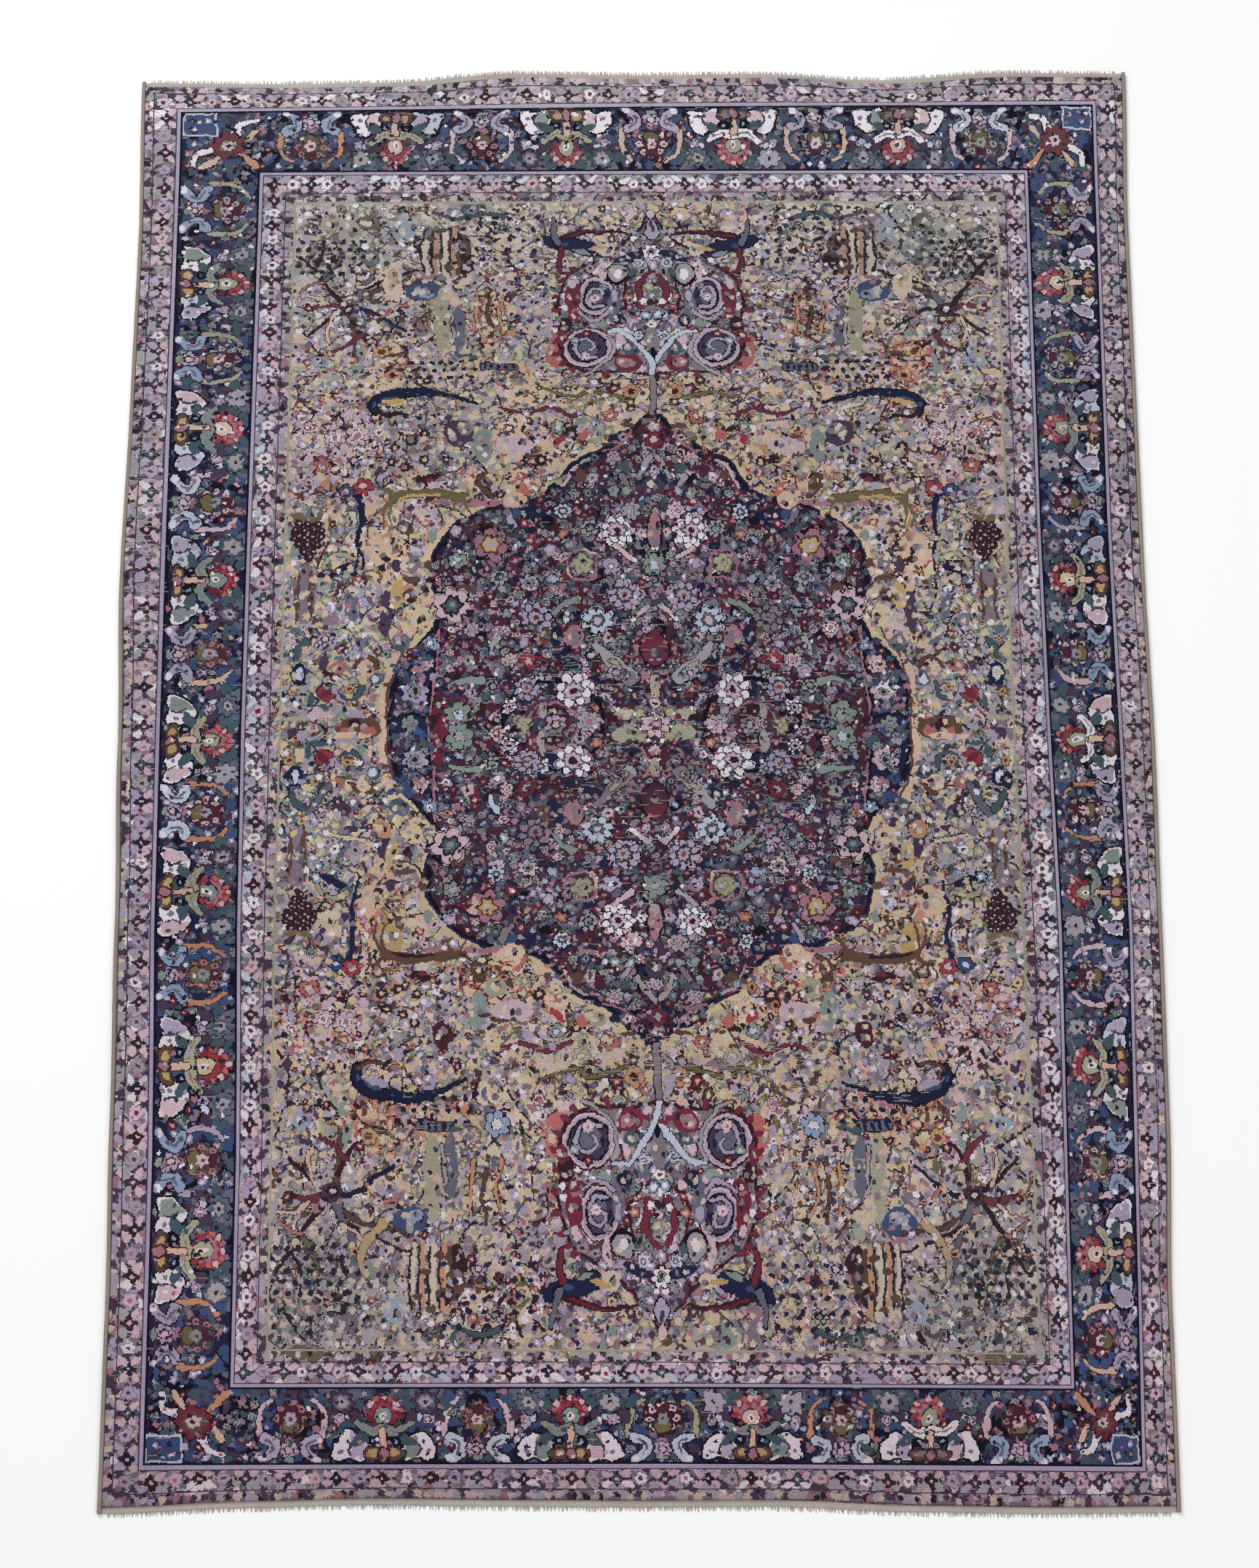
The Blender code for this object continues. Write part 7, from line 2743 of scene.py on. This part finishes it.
@dataclass(frozen=True)
class WoolFinish:
    """What every woollen or cotton finish shares: its name, gloss, sheen and relief."""

    name: str
    sheen: float = 0.02
    sheen_roughness: float = 0.5
    specular: float = 0.05
    relief: float = 0.4
    relief_depth: float = 0.0006
    dust: float = 0.2
    fibre: float = 0.5

    def start(self) -> tuple[Sheet, bpy.types.Node, bpy.types.Material]:
        """Starts the material with its plain values on the shader.

        Returns:
            The sheet to lay nodes on, the shader and the material.
        """
        material = bpy.data.materials.new(self.name)
        material.use_nodes = True
        sheet = Sheet(material.node_tree)
        shader = material.node_tree.nodes["Principled BSDF"]
        shader.inputs["Sheen Weight"].default_value = self.sheen
        shader.inputs["Sheen Roughness"].default_value = self.sheen_roughness
        shader.inputs["Specular IOR Level"].default_value = self.specular
        return sheet, shader, material

    def finish(
        self,
        sheet: Sheet,
        shader: bpy.types.Node,
        groups: Groups,
        colour: bpy.types.NodeSocket,
        height: bpy.types.NodeSocket,
    ) -> None:
        """Ages the colour, sets the relief and wires both to the shader.

        Args:
            sheet: The material's sheet.
            shader: Its Principled shader.
            groups: The shared groups.
            colour: The wool's own colour, as a socket.
            height: Its relief, as a socket.
        """
        aged = sheet.add("Group", node_tree=groups.age)
        sheet.feed(aged, {"Color": colour})
        aged.inputs["Dust"].default_value = self.dust
        aged.inputs["Fibre"].default_value = self.fibre
        bump = sheet.add("Bump", {"Strength": self.relief, "Distance": self.relief_depth, "Height": height})
        base, roughness = aged.outputs["Color"], aged.outputs["Roughness"]
        sheet.feed(shader, {"Base Color": base, "Roughness": roughness, "Normal": bump.outputs[0]})


@dataclass(frozen=True)
class PileFinish(WoolFinish):
    """The knotted pile, coloured knot by knot."""

    dust: float = 0.012
    fibre: float = 0.35

    def build(self, groups: Groups) -> bpy.types.Material:
        """Makes the material."""
        sheet, shader, material = self.start()
        knots = sheet.add("Group", node_tree=groups.knots)
        self.finish(sheet, shader, groups, knots.outputs["Color"], knots.outputs["Height"])
        return material


@dataclass(frozen=True)
class BackFinish(WoolFinish):
    """The rug's back: the loops of its knots, with the pattern's bands in them."""

    dust: float = 0.25
    fibre: float = 0.4

    def build(self, groups: Groups) -> bpy.types.Material:
        """Makes the material."""
        sheet, shader, material = self.start()
        backs = sheet.add("Group", node_tree=groups.backs)
        self.finish(sheet, shader, groups, backs.outputs["Color"], backs.outputs["Height"])
        return material


@dataclass(frozen=True)
class YarnFinish(WoolFinish):
    """A plain yarn of two tones: the darker one is painted into the grooves between its plies as shade, and
    also comes in darker stretches along it.
    """

    light: tuple[float, float, float] = (0.40, 0.33, 0.28)
    dark: tuple[float, float, float] = (0.15, 0.11, 0.10)
    across: float = 2400.0
    along: float = 2600.0
    looseness: float = 5.0
    # How far the tone follows the plies: painted shade, darker in the grooves where the bump is lowest
    painted_groove_shade: float = 0.45
    patch_share: float = 0.7
    patch_scale: float = 14.0

    def build(self, groups: Groups) -> bpy.types.Material:
        """Makes the material."""
        sheet, shader, material = self.start()
        ply = sheet.add("Group", node_tree=groups.yarn)
        ply.inputs["Across"].default_value = self.across
        ply.inputs["Along"].default_value = self.along
        ply.inputs["Loose"].default_value = self.looseness
        place = sheet.add("TexCoord").outputs["Object"]
        spread = {"Vector": place, "Scale": self.patch_scale, "Detail": 5.0, "Roughness": 0.7}
        patches = sheet.math("MULTIPLY", sheet.add("TexNoise", spread).outputs[0], self.patch_share)
        # Painted shade: the plies' bump height also sets the tone, so the grooves between them come out
        # darker
        plies = sheet.math("MULTIPLY", ply.outputs[0], self.painted_groove_shade)
        tone = sheet.math("ADD", plies, patches)
        colour = sheet.mix(tone, (*self.dark, 1.0), (*self.light, 1.0))
        self.finish(sheet, shader, groups, colour, ply.outputs[0])
        return material


@dataclass
class Studio:
    """The plain pale floor, soft lights and the camera at the photograph's angle."""

    elevation: float = 66.0
    target: tuple[float, float, float] = (-0.0062, -0.054, 0.0)
    distance: float = 6.47
    focal_pixels: float = 6728.8
    frame_pixels: float = 2156.0
    sensor: float = 36.0
    floor_size: float = 14.0
    floor_drop: float = 0.0002
    floor_colour: tuple[float, float, float, float] = (0.97, 0.97, 0.97, 1.0)
    floor_roughness: float = 0.9
    floor_specular: float = 0.1
    daylight: float = 0.52
    # Each light's name, place, size in metres and power in watts
    lights: tuple[tuple[str, tuple[float, float, float], float, float], ...] = (
        ("key", (-2.4, 2.6, 4.2), 3.0, 150.0),
        ("fill", (2.8, -2.4, 4.6), 4.0, 75.0),
    )

    def build(self) -> None:
        """Sets up the camera, the floor, the world and the lights."""
        self.place_camera()
        self.lay_floor()
        world = bpy.data.worlds.new("studio")
        world.use_nodes = True
        world.node_tree.nodes["Background"].inputs[0].default_value = (1.0, 1.0, 1.0, 1.0)
        world.node_tree.nodes["Background"].inputs[1].default_value = self.daylight
        bpy.context.scene.world = world
        bpy.context.scene.view_settings.view_transform = "Standard"
        for name, place, size, power in self.lights:
            self.add_light(name, place, size, power)

    def place_camera(self) -> None:
        """Stands the camera where the photograph was taken from."""
        tilt = math.radians(90 - self.elevation)
        data = bpy.data.cameras.new("camera")
        data.sensor_width = self.sensor
        data.lens = self.sensor * self.focal_pixels / self.frame_pixels
        camera = bpy.data.objects.new("camera", data)
        camera.location = (
            self.target[0],
            self.target[1] - self.distance * math.sin(tilt),
            self.target[2] + self.distance * math.cos(tilt),
        )
        camera.rotation_euler = (tilt, 0.0, 0.0)
        bpy.context.scene.collection.objects.link(camera)
        bpy.context.scene.camera = camera

    def lay_floor(self) -> None:
        """Lays the pale floor just under the rug."""
        deselect_all()
        bpy.ops.mesh.primitive_plane_add(size=self.floor_size, location=(0.0, 0.0, -self.floor_drop))
        floor = bpy.context.object
        floor.name = "floor"
        bpy.ops.object.transform_apply(location=True, rotation=False, scale=False)
        material = bpy.data.materials.new("pale_floor")
        material.use_nodes = True
        shader = material.node_tree.nodes["Principled BSDF"]
        shader.inputs["Base Color"].default_value = self.floor_colour
        shader.inputs["Roughness"].default_value = self.floor_roughness
        shader.inputs["Specular IOR Level"].default_value = self.floor_specular
        floor.data.materials.append(material)

    @staticmethod
    def add_light(name: str, place: tuple[float, float, float], size: float, power: float) -> None:
        """Hangs a square soft light that looks at the rug's middle."""
        data = bpy.data.lights.new(name, "AREA")
        data.size = size
        data.energy = power
        lamp = bpy.data.objects.new(name, data)
        lamp.location = place
        x, y, z = place
        lamp.rotation_euler = (math.acos(z / math.hypot(x, y, z)), 0.0, math.atan2(y, x) + math.pi / 2)
        bpy.context.scene.collection.objects.link(lamp)


def main() -> None:
    """Builds the studio and the rug, piece by piece."""
    logging.basicConfig(level=logging.INFO, format="%(name)s: %(message)s")
    Studio().build()
    groups = Groups(age_group(), knot_group(), yarn_group(), back_group())
    pile = PileFinish("pile_wool").build(groups)
    backing = BackFinish("knotted_back").build(groups)
    wrap = YarnFinish("wrapping_yarn").build(groups)
    cotton = YarnFinish(
        "cotton_ends", light=(0.62, 0.58, 0.52), dark=(0.24, 0.20, 0.18), across=3200.0, along=900.0
    ).build(groups)
    pieces = Pile(Loom(), Dyeing()).build(pile)
    foundation = Foundation().build(backing)
    for name, side in (("selvedge_left", -1), ("selvedge_right", 1)):
        pieces.append(SideCord(name, side).build(wrap))
    for name, end, seed in (("fringe_head", 1, 11), ("fringe_foot", -1, 23)):
        fringed = FringedEnd(name, end, seed)
        pieces.append(fringed.build_strip(cotton))
        pieces.append(fringed.build_fringe(cotton))


if __name__ == "__main__":
    main()
